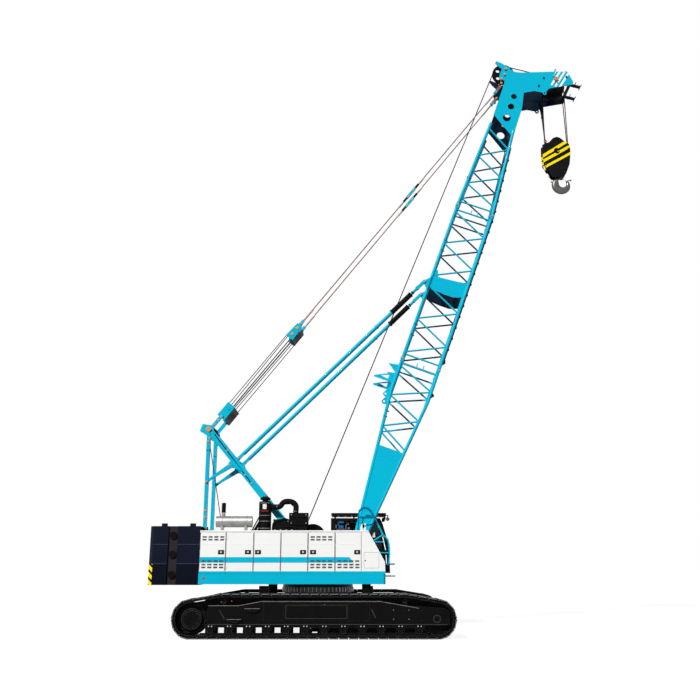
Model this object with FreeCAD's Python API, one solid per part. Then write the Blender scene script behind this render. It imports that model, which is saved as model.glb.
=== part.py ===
"""Crawler machine for dynamic compaction: tracked base, slewing house, gantry and lattice boom.

Frame: origin on the slewing axis at ground level, +X ahead, +Y left, +Z up, millimetres.
"""
import FreeCAD
import Part
import math
import os
from FreeCAD import Vector

# ---------------------------------------------------------------- driving sizes
# Tracks
WHEEL_BASE = 7120.0
TRACK_GAUGE = 4950.0
SHOE_WIDTH = 850.0
BELT_THICKNESS = 100.0
END_RADIUS = 556.0
TOP_RUN_Z = 1260.0
SHOE_COUNT = 62
SHOE_GAP = 22.0
SHOE_DEPTH = 42.0
KNEE_FRONT_X = WHEEL_BASE / 2.0 - 890.0
KNEE_REAR_X = -WHEEL_BASE / 2.0 + 820.0
WHEEL_WIDTH = 300.0
SEAT_GAP = 0.4

# Side frames, rollers and end wheels
FRAME_WIDTH = 650.0
FRAME_REAR_X = -WHEEL_BASE / 2.0 + 460.0
FRAME_BOX_FRONT_X = WHEEL_BASE / 2.0 - 510.0
FRAME_FRONT_X = WHEEL_BASE / 2.0 + 360.0
FRAME_BOTTOM_Z = 390.0
FRAME_REAR_TOP_Z = 920.0
FRAME_CREST_Z = 1040.0
FRAME_CREST_FRONT_X = KNEE_FRONT_X - 760.0
FRAME_CREST_REAR_X = KNEE_REAR_X + 1220.0
FRAME_SLOPE_REAR_X = KNEE_REAR_X + 540.0
FRAME_FRONT_TOP_Z = 845.0
FORK_THICKNESS = 80.0
FRAME_COVERS = ((-1466.0, -880.0), (982.0, 1607.0))
FRAME_COVER_Z = (499.0, 1024.0)
FRAME_COVER_THICKNESS = 14.0
FRAME_STEPS = ((-2016.0, -1572.0, 841.0), (-2521.0, -2098.0, 543.0))
FRAME_STEP_DEPTH = 90.0
RIB_THICKNESS = 16.0
RIB_GAP = 25.0
ROLLER_GUARD_X = (-450.0, 2900.0)
ROLLER_GUARD_Z = 160.0
ROLLER_GUARD_THICKNESS = 20.0
ROLLER_COUNT = 12
ROLLER_FIRST_X = FRAME_REAR_X + 100.0
ROLLER_PITCH = (FRAME_BOX_FRONT_X - ROLLER_FIRST_X) / (ROLLER_COUNT - 1)
ROLLER_RADIUS = 120.0
ROLLER_SHAFT_RADIUS = 45.0
CARRIER_RADIUS = 105.0
DRIVE_COVER_RADIUS = 295.0
DRIVE_MOTOR_RADIUS = 240.0
IDLER_SHAFT_RADIUS = 90.0

# Carbody and slewing ring
HUB_RADIUS = 1080.0
HUB_BORE_RADIUS = 700.0
CARBODY_BOTTOM_Z = 600.0
CARBODY_TOP_Z = 1240.0
CROSS_BEAM_X = 1600.0
CROSS_BEAM_WIDTH = 520.0
CROSS_BEAM_BOTTOM_Z = 560.0
CROSS_BEAM_TOP_Z = 1090.0
JACK_LUG_TOP_Z = 1450.0
JACK_LUG_Y = 1500.0
TOW_EYE_RADIUS = 45.0
TOW_EYE_THICKNESS = 80.0
TOW_EYE_BOSS = 110.0
TOW_EYE_REACH = 130.0
RING_RADIUS = 1130.0
RING_SPLIT_Z = 1400.0
RING_RACE_RADIUS = 1010.0
RING_BORE_RADIUS = 900.0

# Slewing platform
PLATFORM_BOTTOM_Z = 1500.0
DECK_Z = 1820.0
PLATFORM_REAR_X = -3610.0
PLATFORM_FRONT_X = 2130.0
UPPER_WIDTH = 3360.0
DECK_THICKNESS = 25.0
SKIRT_THICKNESS = 50.0
PLATFORM_CORNER = 55.0
GIRDER_WIDTH = 150.0
GIRDER_Y = 690.0
DOOR_GAP = 5.0
SEAM_GAP = 15.0

# Houses
HOUSE_TOP_Z = 3110.0
HOUSE_WALL = 40.0
HOUSE_INNER_Y = 820.0
NOSE_TOP_X = 1600.0
NOSE_KNEE_X = 2117.0
NOSE_KNEE_Z = 2157.0
DOOR_THICKNESS = 35.0
DOOR_HEAD_Z = 3056.0
LOUVRE_SIZE = (130.0, 52.0)
LOUVRE_INSET = 142.0
LOUVRE_PITCH = 182.0
LOUVRE_TOP_ROWS = (2907.0, 2825.0)
LOUVRE_LOW_ROWS = (2184.0, 2080.0, 1996.0)
POST_WIDTH = 60.0
RIGHT_SEAMS = [-3606.0, -2800.0, -1940.0, -1100.0, -260.0, 577.0, 1395.0]
LEFT_HOUSE_FRONT_X = 330.0
DOOR_END_GAP = 6.0
HINGE_INSET = 12.0
ROOF_LUG_INSET = 140.0
HINGE_PIN_RADIUS = 6.0
HINGE_PIN_LENGTH = 30.0
FRONT_HUNG_RIGHT = (2, 4)
FRONT_HUNG_LEFT = (2,)

# Counterweight
WEIGHT_REAR_X = -5170.0
WEIGHT_BOTTOM_Z = 1477.0
WEIGHT_JOINTS_Z = [2107.0, 2687.0]
WEIGHT_TOP_Z = 3241.0
WEIGHT_GROOVE_X = [-4590.0, -4300.0]
WEIGHT_GROOVE_DEPTH = 60.0
WEIGHT_CORNER = 110.0
WEIGHT_SLOT_DEPTH = 140.0

# Cab
CAB_REAR_X = 390.0
CAB_INNER_Y = 800.0
CAB_ROOF_Z = 3630.0
CAB_WALL = 45.0
GLASS_THICKNESS = 8.0
CAB_DOOR_REAR_X = 480.0
CAB_DOOR_FRONT_X = 1330.0
CAB_DOOR_Z0 = 1900.0
CAB_DOOR_Z1 = 3540.0
GUARD_Z = 3710.0
GUARD_THICKNESS = 95.0
CAB_LAMP_X = (2150.0, 2235.0)
CAB_LAMP_RADIUS = 62.0
CAB_LAMP_INSET = 170.0
SIDE_LAMP_X = 2330.0
CAB_LAMP_Z = 3600.0

# Ladder on the nose
LADDER_Y = (-1330.0, -930.0)
LADDER_STEPS_Z = (2790.0, 2460.0, 2105.0)
STEP_THICKNESS = 28.0
STEP_DEPTH = 310.0
RAIL_RADIUS = 19.0
FRONT_STEP_X = 2447.0
FRONT_STEP_Z = 1757.0

# Gantry
SIDE_Y = 700.0
GANTRY_TOP = (-3650.0, 6430.0)
MAST_FOOT = (100.0, 1990.0)
GANTRY_HEAD_RADIUS = 150.0
TAIL_LUG_TOP_Z = 2000.0
MAST_DEPTH = 200.0
MAST_WIDTH = 160.0
LEG_X = -3645.0
LEG_WIDTH = 110.0
LEG_CHEEK = 20.0
GANTRY_EAR = ((50.0, 10.0), (0.0, 140.0), (-205.0, 180.0), (-295.0, -60.0), (-55.0, -190.0),
              (50.0, -190.0))
BRACE_LEG_Z = 4700.0
BRACE_MAST = (-2920.0, 5240.0)
BRACE_WIDTH = 90.0
TOP_SHEAVE_RADIUS = 170.0
GROOVE_DEPTH = 40.0

# Boom: its plane is described by (s, t): s runs along the boom axis, t ahead of it
BOOM_ANGLE = 70.0
BOOM_PIVOT = (1050.0, 2100.0)
BOOM_PIN_RADIUS = 60.0
PIN_FIT = 0.6
FOOT_EYE_RADIUS = 170.0
FOOT_TAPER_START = 65.0
FOOT_TAPER = 0.1
FOOT_TAPER_END = 5850.0
FOOT_COVER_START = 1000.0
FOOT_PLATE_END = 3930.0
LOWER_JOINT = 7000.0
UPPER_JOINT = 13050.0
BOOM_HALF_DEPTH = 650.0
BOOM_HALF_WIDTH = 640.0
CHORD_RADIUS = 55.0
LACE_RADIUS = 30.0
JOINT_LUG_RADIUS = 70.0
JOINT_TONGUE = 40.0
JOINT_GAP = 5.0
LACE_SHIFT = 90.0
FRAME_CROSS = 35.0
FRAME_SIDE = 100.0
FRAME_LACE = 175.0
MID_PLATE = (9800.0, 10330.0)
HEAD_FRONT_S = 16318.0
HEAD_FRONT_T = 390.0
HEAD_REAR_S = 16986.0
HEAD_REAR_T = 490.0
HEAD_TIES = ((16700.0, 330.0), (18250.0, 160.0), (19330.0, 1790.0), (18500.0, -220.0))
HEAD_PLATE_Y = 660.0
HEAD_PLATE_THICKNESS = 40.0
GUIDE_SHEAVE = (18925.0, -690.0)
GUIDE_SHEAVE_RADIUS = 420.0
GUIDE_SHEAVE_Y = -330.0
GUIDE_HOLES = (5, 260.0, 75.0)
HEAD_SPOOL = ((19396.0, 1970.0), (19358.0, 2187.0))
HEAD_SPOOL_RADIUS = 118.0
HEAD_SPOOL_Y = 400.0
STAY_PIN = (18333.0, -650.0)
TIP_AXLE = (19242.0, 1233.0)
TIP_SHEAVE_RADIUS = 450.0
ROPE_RADIUS = 14.0
SHEAVE_WIDTH = 70.0
HEAD_AXLE_RADIUS = 50.0
FALL_Y = 50.0
STRUT_EYE = (9869.0, -836.0)

# Boom stops, hoist tackle and stays
STRUT_FOOT = (-2630.0, 5475.0)
STRUT_TUBE_RADIUS = 65.0
STRUT_ROD_RADIUS = 50.0
STRUT_SLEEVE_RADIUS = 88.0
STRUT_ROD_LAP = 1300.0
STRUT_EYE_RADIUS = 50.0
STRUT_EYE_HALF = 45.0
STRUT_PIN_RADIUS = 25.0
STRUT_Y = 690.0
STRUT_LUG = 58.0
STRUT_FORK = 30.0
STRUT_TUBE_LENGTH = 7190.0
STRUT_SLEEVE_LENGTH = 940.0
TACKLE_HALF_WIDTH = 560.0
TACKLE_LINK_Y = 566.0
TACKLE_START = 560.0
TACKLE_LENGTH = 560.0
TACKLE_DEPTH = 300.0
TACKLE_SHEAVE_RADIUS = 150.0
BRIDLE_PIN = 4810.0
BRIDLE_LENGTH = 640.0
BRIDLE_HALF_WIDTH = 420.0
LUFF_ROPE = 10.0
LUFF_LANES = 5
LUFF_LANE_PITCH = 160.0
LUFF_SHEAVE_WIDTH = 60.0
STAY_Y = 385.0
STAY_RADIUS = 20.0
STAY_LUG = 68.0

# Hoist
DRUM_CENTRE = (-170.0, 2950.0)
DRUM_FLANGE_RADIUS = 420.0
DRUM_ROPE_RADIUS = 360.0
DRUM_HALF_WIDTH = 480.0
LUFF_DRUM_CENTRE = (-2350.0, 2260.0)
LUFF_FLANGE_RADIUS = 330.0
LUFF_ROPE_RADIUS = 260.0
HOOK_SHEAVE_Z = 17040.0
HOOK_SHEAVE_RADIUS = 450.0
HOOK_PLATE_Y = 106.0
HOOK_PLATE_THICKNESS = 32.0
HOOK_EYE_Z = 15670.0
HOOK_BOWL_RADIUS = 347.0
HOOK_THICKNESS = 140.0
HOOK_THROAT = (137.0, 70.0)
HOOK_SHANK_RADIUS = 55.0
CROSSHEAD = (-1050.0, -930.0)
HOOK_THROAT_RADIUS = 137.0

ENGINE_X = (-3200.0, -1650.0)
ENGINE_TOP_Z = 2900.0
ENGINE_DOOR_GAP = 120.0
ENGINE_WALL_GAP = 80.0
DECK_ROW_INSET = 180.0

# ---------------------------------------------------------------- derived places
HALF_UPPER = UPPER_WIDTH / 2.0
WHEEL_RADIUS = END_RADIUS - BELT_THICKNESS - SEAT_GAP
RIGHT, LEFT = -1.0, 1.0
DECK_ROW_Y = -HOUSE_INNER_Y - DECK_ROW_INSET


def box(x0, x1, y0, y1, z0, z1):
    low = Vector(min(x0, x1), min(y0, y1), min(z0, z1))
    return Part.makeBox(abs(x1 - x0), abs(y1 - y0), abs(z1 - z0), low)


def rod(start, end, radius):
    along = end.sub(start)
    return Part.makeCylinder(radius, along.Length, start, along)


def tube(start, end, radius, bore):
    return rod(start, end, radius).cut(rod(start, end, bore))


def disc(x, z, radius, y0, y1):
    return rod(Vector(x, min(y0, y1), z), Vector(x, max(y0, y1), z), radius)


def plate(points, y0, y1):
    """A flat plate with its outline in the XZ plane, from y0 to y1."""
    corners = [Vector(x, y0, z) for x, z in points]
    outline = Part.makePolygon(corners + [corners[0]])
    return Part.Face(outline).extrude(Vector(0, y1 - y0, 0))


def fuse(shapes):
    if len(shapes) == 1:
        return shapes[0]
    return shapes[0].multiFuse(shapes[1:]).removeSplitter()


def save(name, shape):
    if not shape.isValid():
        print("invalid:", name)
    os.makedirs("parts", exist_ok=True)
    shape.exportStep("parts/" + name + ".step")
    print(name, len(shape.Solids), "solids", round(shape.Volume / 1e9, 4), "m3")


def group(shapes):
    return Part.makeCompound(shapes)


def boom_xz(s, t):
    """A point of the boom's plane at rest, as (x, z)."""
    angle = math.radians(BOOM_ANGLE)
    x = BOOM_PIVOT[0] + s * math.cos(angle) + t * math.sin(angle)
    z = BOOM_PIVOT[1] + s * math.sin(angle) - t * math.cos(angle)
    return (x, z)


def boom_point(s, t, y):
    x, z = boom_xz(s, t)
    return Vector(x, y, z)


def line_point(start, end, distance, offset=0.0):
    """The point at a distance along start-end in XZ, moved offset to its upper left."""
    length = math.dist(start, end)
    ux, uz = (end[0] - start[0]) / length, (end[1] - start[1]) / length
    return (start[0] + ux * distance - uz * offset, start[1] + uz * distance + ux * offset)


def bar(start, end, depth, y0, y1):
    """A straight flat bar of one depth between two XZ points."""
    length = math.dist(start, end)
    half = depth / 2.0
    corners = [(0, -half), (length, -half), (length, half), (0, half)]
    return plate([line_point(start, end, a, b) for a, b in corners], y0, y1)


# ---------------------------------------------------------------- tracks
def knee_slope(knee_x, side):
    """Angle of the belt's sloped run from its top knee down to the end wheel."""
    centre_x = side * WHEEL_BASE / 2.0
    dx = (knee_x - centre_x) * side
    dz = TOP_RUN_Z - END_RADIUS
    reach = math.hypot(dx, dz)
    facing = math.atan2(dz, dx)
    touch = facing - math.acos(END_RADIUS / reach)
    return math.pi / 2.0 - touch


def belt_corners(inset):
    """Centre, radius, touch angles and knees of the loop at a depth below its shoes."""
    radius = END_RADIUS - inset
    rows = {}
    for side, knee_x in ((1.0, KNEE_FRONT_X), (-1.0, KNEE_REAR_X)):
        slope = knee_slope(knee_x, side)
        centre_x = side * WHEEL_BASE / 2.0
        touch = (centre_x + side * radius * math.sin(slope), END_RADIUS + radius * math.cos(slope))
        middle = (math.pi - slope) / 2.0
        round_x = centre_x + side * radius * math.sin(slope + middle)
        round_z = END_RADIUS + radius * math.cos(slope + middle)
        knee = (knee_x - side * inset * math.tan(slope / 2.0), TOP_RUN_Z - inset)
        rows[side] = (centre_x, touch, (round_x, round_z), knee)
    return rows


def belt_face(inset, y):
    rows = belt_corners(inset)
    front_x, front_touch, front_round, front_knee = rows[1.0]
    rear_x, rear_touch, rear_round, rear_knee = rows[-1.0]

    def at(point):
        return Vector(point[0], y, point[1])

    front_low = at((front_x, inset))
    rear_low = at((rear_x, inset))
    edges = [
        Part.LineSegment(rear_low, front_low).toShape(),
        Part.Arc(front_low, at(front_round), at(front_touch)).toShape(),
        Part.LineSegment(at(front_touch), at(front_knee)).toShape(),
        Part.LineSegment(at(front_knee), at(rear_knee)).toShape(),
        Part.LineSegment(at(rear_knee), at(rear_touch)).toShape(),
        Part.Arc(at(rear_touch), at(rear_round), rear_low).toShape(),
    ]
    return Part.Face(Part.Wire(edges))


def belt_runs():
    """Runs of the loop's outside from its bottom middle forward: kind, place, heading and length."""
    rows = belt_corners(0.0)
    front_x, front_touch, _, front_knee = rows[1.0]
    rear_x, rear_touch, _, rear_knee = rows[-1.0]
    front_slope, rear_slope = knee_slope(KNEE_FRONT_X, 1.0), knee_slope(KNEE_REAR_X, -1.0)

    def straight(start, end):
        heading = math.atan2(end[1] - start[1], end[0] - start[0])
        return ("straight", start, heading, math.dist(start, end))

    def wheel(centre_x, heading, slope):
        return ("wheel", (centre_x, END_RADIUS), heading, END_RADIUS * (math.pi - slope))

    return [
        straight((0.0, 0.0), (front_x, 0.0)),
        wheel(front_x, 0.0, front_slope),
        straight(front_touch, front_knee),
        straight(front_knee, rear_knee),
        straight(rear_knee, rear_touch),
        wheel(rear_x, math.pi + rear_slope, rear_slope),
        straight((rear_x, 0.0), (0.0, 0.0)),
    ]


def belt_place(distance):
    """Place and heading at a distance around the loop's outside."""
    for kind, place, heading, length in belt_runs():
        if distance > length:
            distance -= length
        elif kind == "straight":
            return (place[0] + distance * math.cos(heading), place[1] + distance * math.sin(heading),
                    heading)
        else:
            turned = heading + distance / END_RADIUS
            x = place[0] + END_RADIUS * math.sin(turned)
            z = place[1] - END_RADIUS * math.cos(turned)
            return (x, z, turned)
    return (0.0, 0.0, 0.0)


def track(side):
    """One closed loop of flat shoes with open gaps between them."""
    middle = side * TRACK_GAUGE / 2.0
    y0 = middle - SHOE_WIDTH / 2.0
    width = Vector(0, SHOE_WIDTH, 0)
    pitch = sum(run[3] for run in belt_runs()) / SHOE_COUNT
    half = (pitch - SHOE_GAP) / 2.0
    corners = []
    for i in range(SHOE_COUNT):
        x, z, heading = belt_place(i * pitch)
        cos, sin = math.cos(heading), math.sin(heading)
        for along, inward in ((-half, SHOE_DEPTH), (-half, 0.0), (half, 0.0), (half, SHOE_DEPTH)):
            corners.append((x + along * cos - inward * sin, z + along * sin + inward * cos))
    loop = plate(corners, y0, y0 + SHOE_WIDTH)
    return loop.cut(belt_face(BELT_THICKNESS, y0).extrude(width))


# ---------------------------------------------------------------- undercarriage
def side_frame(side):
    middle = side * TRACK_GAUGE / 2.0
    y0, y1 = middle - FRAME_WIDTH / 2.0, middle + FRAME_WIDTH / 2.0
    outline = [
        (FRAME_REAR_X, FRAME_BOTTOM_Z),
        (FRAME_FRONT_X, FRAME_BOTTOM_Z),
        (FRAME_FRONT_X, FRAME_FRONT_TOP_Z - 90.0),
        (FRAME_FRONT_X - 120.0, FRAME_FRONT_TOP_Z),
        (KNEE_FRONT_X - 30.0, FRAME_REAR_TOP_Z + 10.0),
        (FRAME_CREST_FRONT_X, FRAME_CREST_Z),
        (FRAME_CREST_REAR_X, FRAME_CREST_Z),
        (FRAME_SLOPE_REAR_X, FRAME_REAR_TOP_Z),
        (FRAME_REAR_X + 70.0, FRAME_REAR_TOP_Z),
        (FRAME_REAR_X, FRAME_REAR_TOP_Z - 90.0),
    ]
    body = plate(outline, y0, y1)
    idler_bay = box(FRAME_BOX_FRONT_X, FRAME_FRONT_X + 1.0, y0 + FORK_THICKNESS, y1 - FORK_THICKNESS,
                    0.0, CARBODY_TOP_Z)
    body = body.cut(idler_bay)
    inner_y = middle - side * FRAME_WIDTH / 2.0
    gear_plate = fuse([
        disc(-WHEEL_BASE / 2.0, END_RADIUS, DRIVE_MOTOR_RADIUS + 95.0, inner_y,
             inner_y + side * FORK_THICKNESS),
        box(-WHEEL_BASE / 2.0, FRAME_REAR_X + 40.0, inner_y, inner_y + side * FORK_THICKNESS,
            FRAME_BOTTOM_Z, FRAME_REAR_TOP_Z - 95.0),
    ])
    rib = belt_face(BELT_THICKNESS + RIB_GAP, inner_y).extrude(Vector(0, side * RIB_THICKNESS, 0))
    belly = box(-WHEEL_BASE, WHEEL_BASE, y0 - 1.0, y1 + 1.0, -1.0, FRAME_BOTTOM_Z)
    guard = box(ROLLER_GUARD_X[0], ROLLER_GUARD_X[1], inner_y, inner_y + side * ROLLER_GUARD_THICKNESS,
                ROLLER_GUARD_Z, FRAME_BOTTOM_Z + 10.0)
    pieces = [body, gear_plate, rib.cut(belly), guard] + frame_covers(side)
    seat_z = TOP_RUN_Z - BELT_THICKNESS - CARRIER_RADIUS - SEAT_GAP
    for x in carrier_places():
        for y in (y0 + 30.0, y1 - 70.0):
            pieces.append(box(x - 60.0, x + 60.0, y, y + 40.0, FRAME_REAR_TOP_Z - 60.0, seat_z + 60.0))
    for x in (-800.0, 1000.0):
        pieces.append(box(x - 300.0, x + 300.0, middle - 150.0, middle + 150.0,
                          FRAME_CREST_Z - 20.0, TOP_RUN_Z - BELT_THICKNESS - SEAT_GAP))
    body = fuse(pieces)
    body = body.cut(disc(-WHEEL_BASE / 2.0, END_RADIUS, DRIVE_MOTOR_RADIUS + SEAT_GAP, y0 - 1.0,
                         y1 + 1.0))
    body = body.cut(disc(WHEEL_BASE / 2.0, END_RADIUS, IDLER_SHAFT_RADIUS + SEAT_GAP, y0 - 1.0, y1 + 1.0))
    for x in carrier_places():
        body = body.cut(disc(x, seat_z, ROLLER_SHAFT_RADIUS + SEAT_GAP, y0 - 1.0, y1 + 1.0))
    return body


def frame_covers(side):
    """Cover plates and wedge-shaped steps on the frame's outer face."""
    outer = side * (TRACK_GAUGE / 2.0 + FRAME_WIDTH / 2.0)
    root = outer - side * 5.0
    pieces = []
    for x0, x1 in FRAME_COVERS:
        pieces.append(box(x0, x1, root, outer + side * FRAME_COVER_THICKNESS, *FRAME_COVER_Z))
    for x0, x1, z in FRAME_STEPS:
        middle = (x0 + x1) / 2.0
        wedge = [(x0, z), (x1, z), (middle + 60.0, z - FRAME_STEP_DEPTH),
                 (middle - 60.0, z - FRAME_STEP_DEPTH)]
        pieces.append(plate(wedge, root, outer + side * FRAME_STEP_DEPTH))
    return pieces


def carrier_places():
    return (KNEE_REAR_X + 120.0, KNEE_FRONT_X - 30.0)


def sprocket(side):
    middle = side * TRACK_GAUGE / 2.0
    x, z = -WHEEL_BASE / 2.0, END_RADIUS
    outer = middle + side * FRAME_WIDTH / 2.0
    inner = middle - side * FRAME_WIDTH / 2.0
    half = WHEEL_WIDTH / 2.0
    return fuse([
        disc(x, z, WHEEL_RADIUS, middle - 70.0, middle + 70.0),
        disc(x, z, WHEEL_RADIUS - 60.0, middle - half, middle + half),
        disc(x, z, DRIVE_COVER_RADIUS, middle, outer - side * 40.0),
        disc(x, z, DRIVE_COVER_RADIUS - 60.0, middle, outer),
        disc(x, z, DRIVE_MOTOR_RADIUS, middle, inner - side * 120.0),
    ])


def idler(side):
    middle = side * TRACK_GAUGE / 2.0
    x, z = WHEEL_BASE / 2.0, END_RADIUS
    half = WHEEL_WIDTH / 2.0
    return fuse([
        disc(x, z, WHEEL_RADIUS, middle - half, middle + half),
        disc(x, z, 190.0, middle - half - 60.0, middle + half + 60.0),
        disc(x, z, IDLER_SHAFT_RADIUS, middle - FRAME_WIDTH / 2.0, middle + FRAME_WIDTH / 2.0),
    ])


def bottom_rollers(side):
    middle = side * TRACK_GAUGE / 2.0
    z = BELT_THICKNESS + ROLLER_RADIUS + SEAT_GAP
    block_y = FRAME_WIDTH / 2.0 - 45.0
    rollers = []
    for i in range(ROLLER_COUNT):
        x = ROLLER_FIRST_X + i * ROLLER_PITCH
        rollers.append(fuse([
            disc(x, z, ROLLER_RADIUS, middle - WHEEL_WIDTH / 2.0, middle + WHEEL_WIDTH / 2.0),
            disc(x, z, ROLLER_SHAFT_RADIUS, middle - block_y, middle + block_y),
            box(x - 70.0, x + 70.0, middle - block_y - 25.0, middle - block_y + 25.0, z - 60.0,
                FRAME_BOTTOM_Z),
            box(x - 70.0, x + 70.0, middle + block_y - 25.0, middle + block_y + 25.0, z - 60.0,
                FRAME_BOTTOM_Z),
        ]))
    return rollers


def carrier_rollers(side):
    middle = side * TRACK_GAUGE / 2.0
    z = TOP_RUN_Z - BELT_THICKNESS - CARRIER_RADIUS - SEAT_GAP
    half = FRAME_WIDTH / 2.0 - 30.0
    rollers = []
    for x in carrier_places():
        rollers.append(fuse([
            disc(x, z, CARRIER_RADIUS, middle - WHEEL_WIDTH / 2.0, middle + WHEEL_WIDTH / 2.0),
            disc(x, z, ROLLER_SHAFT_RADIUS, middle - half, middle + half),
        ]))
    return rollers


def carbody():
    inner_y = TRACK_GAUGE / 2.0 - FRAME_WIDTH / 2.0
    hub_low, hub_high = Vector(0, 0, CARBODY_BOTTOM_Z), Vector(0, 0, CARBODY_TOP_Z)
    bridge_x = CROSS_BEAM_X + CROSS_BEAM_WIDTH / 2.0
    pieces = [
        rod(hub_low, hub_high, HUB_RADIUS),
        box(-bridge_x, bridge_x, -HUB_RADIUS, HUB_RADIUS, CARBODY_BOTTOM_Z, CROSS_BEAM_TOP_Z + 60.0),
    ]
    for side_x in (-CROSS_BEAM_X, CROSS_BEAM_X):
        x0, x1 = side_x - CROSS_BEAM_WIDTH / 2.0, side_x + CROSS_BEAM_WIDTH / 2.0
        pieces.append(box(x0, x1, -inner_y, inner_y, CROSS_BEAM_BOTTOM_Z, CROSS_BEAM_TOP_Z))
        for y in (-JACK_LUG_Y, JACK_LUG_Y):
            pieces.append(box(side_x - 150.0, side_x + 150.0, y - 60.0, y + 60.0,
                              CROSS_BEAM_TOP_Z - 10.0, JACK_LUG_TOP_Z))
    eye_x = bridge_x + TOW_EYE_REACH
    eye_z = (CARBODY_BOTTOM_Z + CROSS_BEAM_TOP_Z) / 2.0
    half = TOW_EYE_THICKNESS / 2.0
    eye_low, eye_high = Vector(eye_x, 0, eye_z - half), Vector(eye_x, 0, eye_z + half)
    pieces.append(box(bridge_x - 10.0, eye_x, -TOW_EYE_BOSS, TOW_EYE_BOSS, eye_z - half, eye_z + half))
    pieces.append(rod(eye_low, eye_high, TOW_EYE_BOSS))
    body = fuse(pieces)
    body = body.cut(rod(Vector(0, 0, 0), Vector(0, 0, PLATFORM_BOTTOM_Z), HUB_BORE_RADIUS))
    return body.cut(rod(eye_low, eye_high, TOW_EYE_RADIUS))


def slew_ring():
    low, split = Vector(0, 0, CARBODY_TOP_Z), Vector(0, 0, RING_SPLIT_Z)
    return tube(low, split, RING_RADIUS, RING_RACE_RADIUS)


# ---------------------------------------------------------------- platform and counterweight
def boom_lug(y0, y1):
    x, z = BOOM_PIVOT
    foot_z = DECK_Z - 10.0
    sides = plate([(x - 330.0, foot_z), (x + 330.0, foot_z), (x + 150.0, z), (x - 150.0, z)], y0, y1)
    return fuse([sides, disc(x, z, 150.0, y0, y1)])


def corner_wedge(x, y, size):
    """The upright wedge that bevels the platform's front corner at (x, y)."""
    inner_y = y - math.copysign(size, y)
    low, high = PLATFORM_BOTTOM_Z - 1.0, DECK_Z - DECK_THICKNESS
    points = [Vector(x - size, y, low), Vector(x + 1.0, y, low), Vector(x + 1.0, inner_y, low),
              Vector(x, inner_y, low)]
    return Part.Face(Part.makePolygon(points + [points[0]])).extrude(Vector(0, 0, high - low))


def platform():
    outer = box(PLATFORM_REAR_X, PLATFORM_FRONT_X, -HALF_UPPER, HALF_UPPER, PLATFORM_BOTTOM_Z, DECK_Z)
    for side in (RIGHT, LEFT):
        outer = outer.cut(corner_wedge(PLATFORM_FRONT_X, side * HALF_UPPER, PLATFORM_CORNER))
    pockets = []
    x_lines = [PLATFORM_REAR_X, -1400.0, 1400.0, PLATFORM_FRONT_X]
    y_lines = [-HALF_UPPER, -GIRDER_Y, GIRDER_Y, HALF_UPPER]
    for i in range(3):
        for j in range(3):
            if i == 1 and j == 1:
                continue
            x0, x1 = x_lines[i] + SKIRT_THICKNESS, x_lines[i + 1] - SKIRT_THICKNESS
            y0 = y_lines[j] + (SKIRT_THICKNESS if j == 0 else GIRDER_WIDTH / 2.0)
            y1 = y_lines[j + 1] - (SKIRT_THICKNESS if j == 2 else GIRDER_WIDTH / 2.0)
            pockets.append(box(x0, x1, y0, y1, PLATFORM_BOTTOM_Z - 1.0, DECK_Z - DECK_THICKNESS))
    body = outer.cut(group(pockets))
    race_top, race_low = Vector(0, 0, PLATFORM_BOTTOM_Z + 30.0), Vector(0, 0, RING_SPLIT_Z + SEAT_GAP)
    pieces = [body, tube(race_low, race_top, RING_RADIUS, RING_BORE_RADIUS)]
    pieces.append(tube(Vector(0, 0, CARBODY_TOP_Z + 20.0), race_top, RING_RACE_RADIUS - 0.8,
                       RING_BORE_RADIUS))
    pieces.append(box(PLATFORM_FRONT_X - 5.0, FRONT_STEP_X, *LADDER_Y, FRONT_STEP_Z - STEP_THICKNESS,
                      FRONT_STEP_Z))
    for side in (RIGHT, LEFT):
        for place in hinge_lines(side):
            pieces.append(upright(place, HINGE_PIN_RADIUS, DECK_Z - 10.0,
                                  DECK_Z + DOOR_END_GAP + HINGE_PIN_LENGTH))
        near, far = side * (BOOM_HALF_WIDTH - 105.0), side * (BOOM_HALF_WIDTH - 65.0)
        pieces.append(boom_lug(near, far))
        near, far = side * (BOOM_HALF_WIDTH + 65.0), side * (BOOM_HALF_WIDTH + 105.0)
        pieces.append(boom_lug(near, far))
        pieces.append(disc(*BOOM_PIVOT, BOOM_PIN_RADIUS, side * (BOOM_HALF_WIDTH - 110.0),
                           side * (BOOM_HALF_WIDTH + 110.0)))
        pieces.append(box(LEG_X - LEG_WIDTH / 2.0 - 20.0, PLATFORM_REAR_X + 60.0,
                          side * (SIDE_Y - MAST_WIDTH / 2.0),
                          side * (SIDE_Y + MAST_WIDTH / 2.0), PLATFORM_BOTTOM_Z + 20.0, TAIL_LUG_TOP_Z))
        x, z = MAST_FOOT
        pieces.append(plate([(x - 260.0, DECK_Z - 10.0), (x + 260.0, DECK_Z - 10.0),
                             (x + 90.0, z + 60.0), (x - 90.0, z + 60.0)],
                            side * (SIDE_Y - MAST_WIDTH / 2.0 - 35.0),
                            side * (SIDE_Y - MAST_WIDTH / 2.0 - 0.3)))
    return fuse(pieces)


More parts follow.
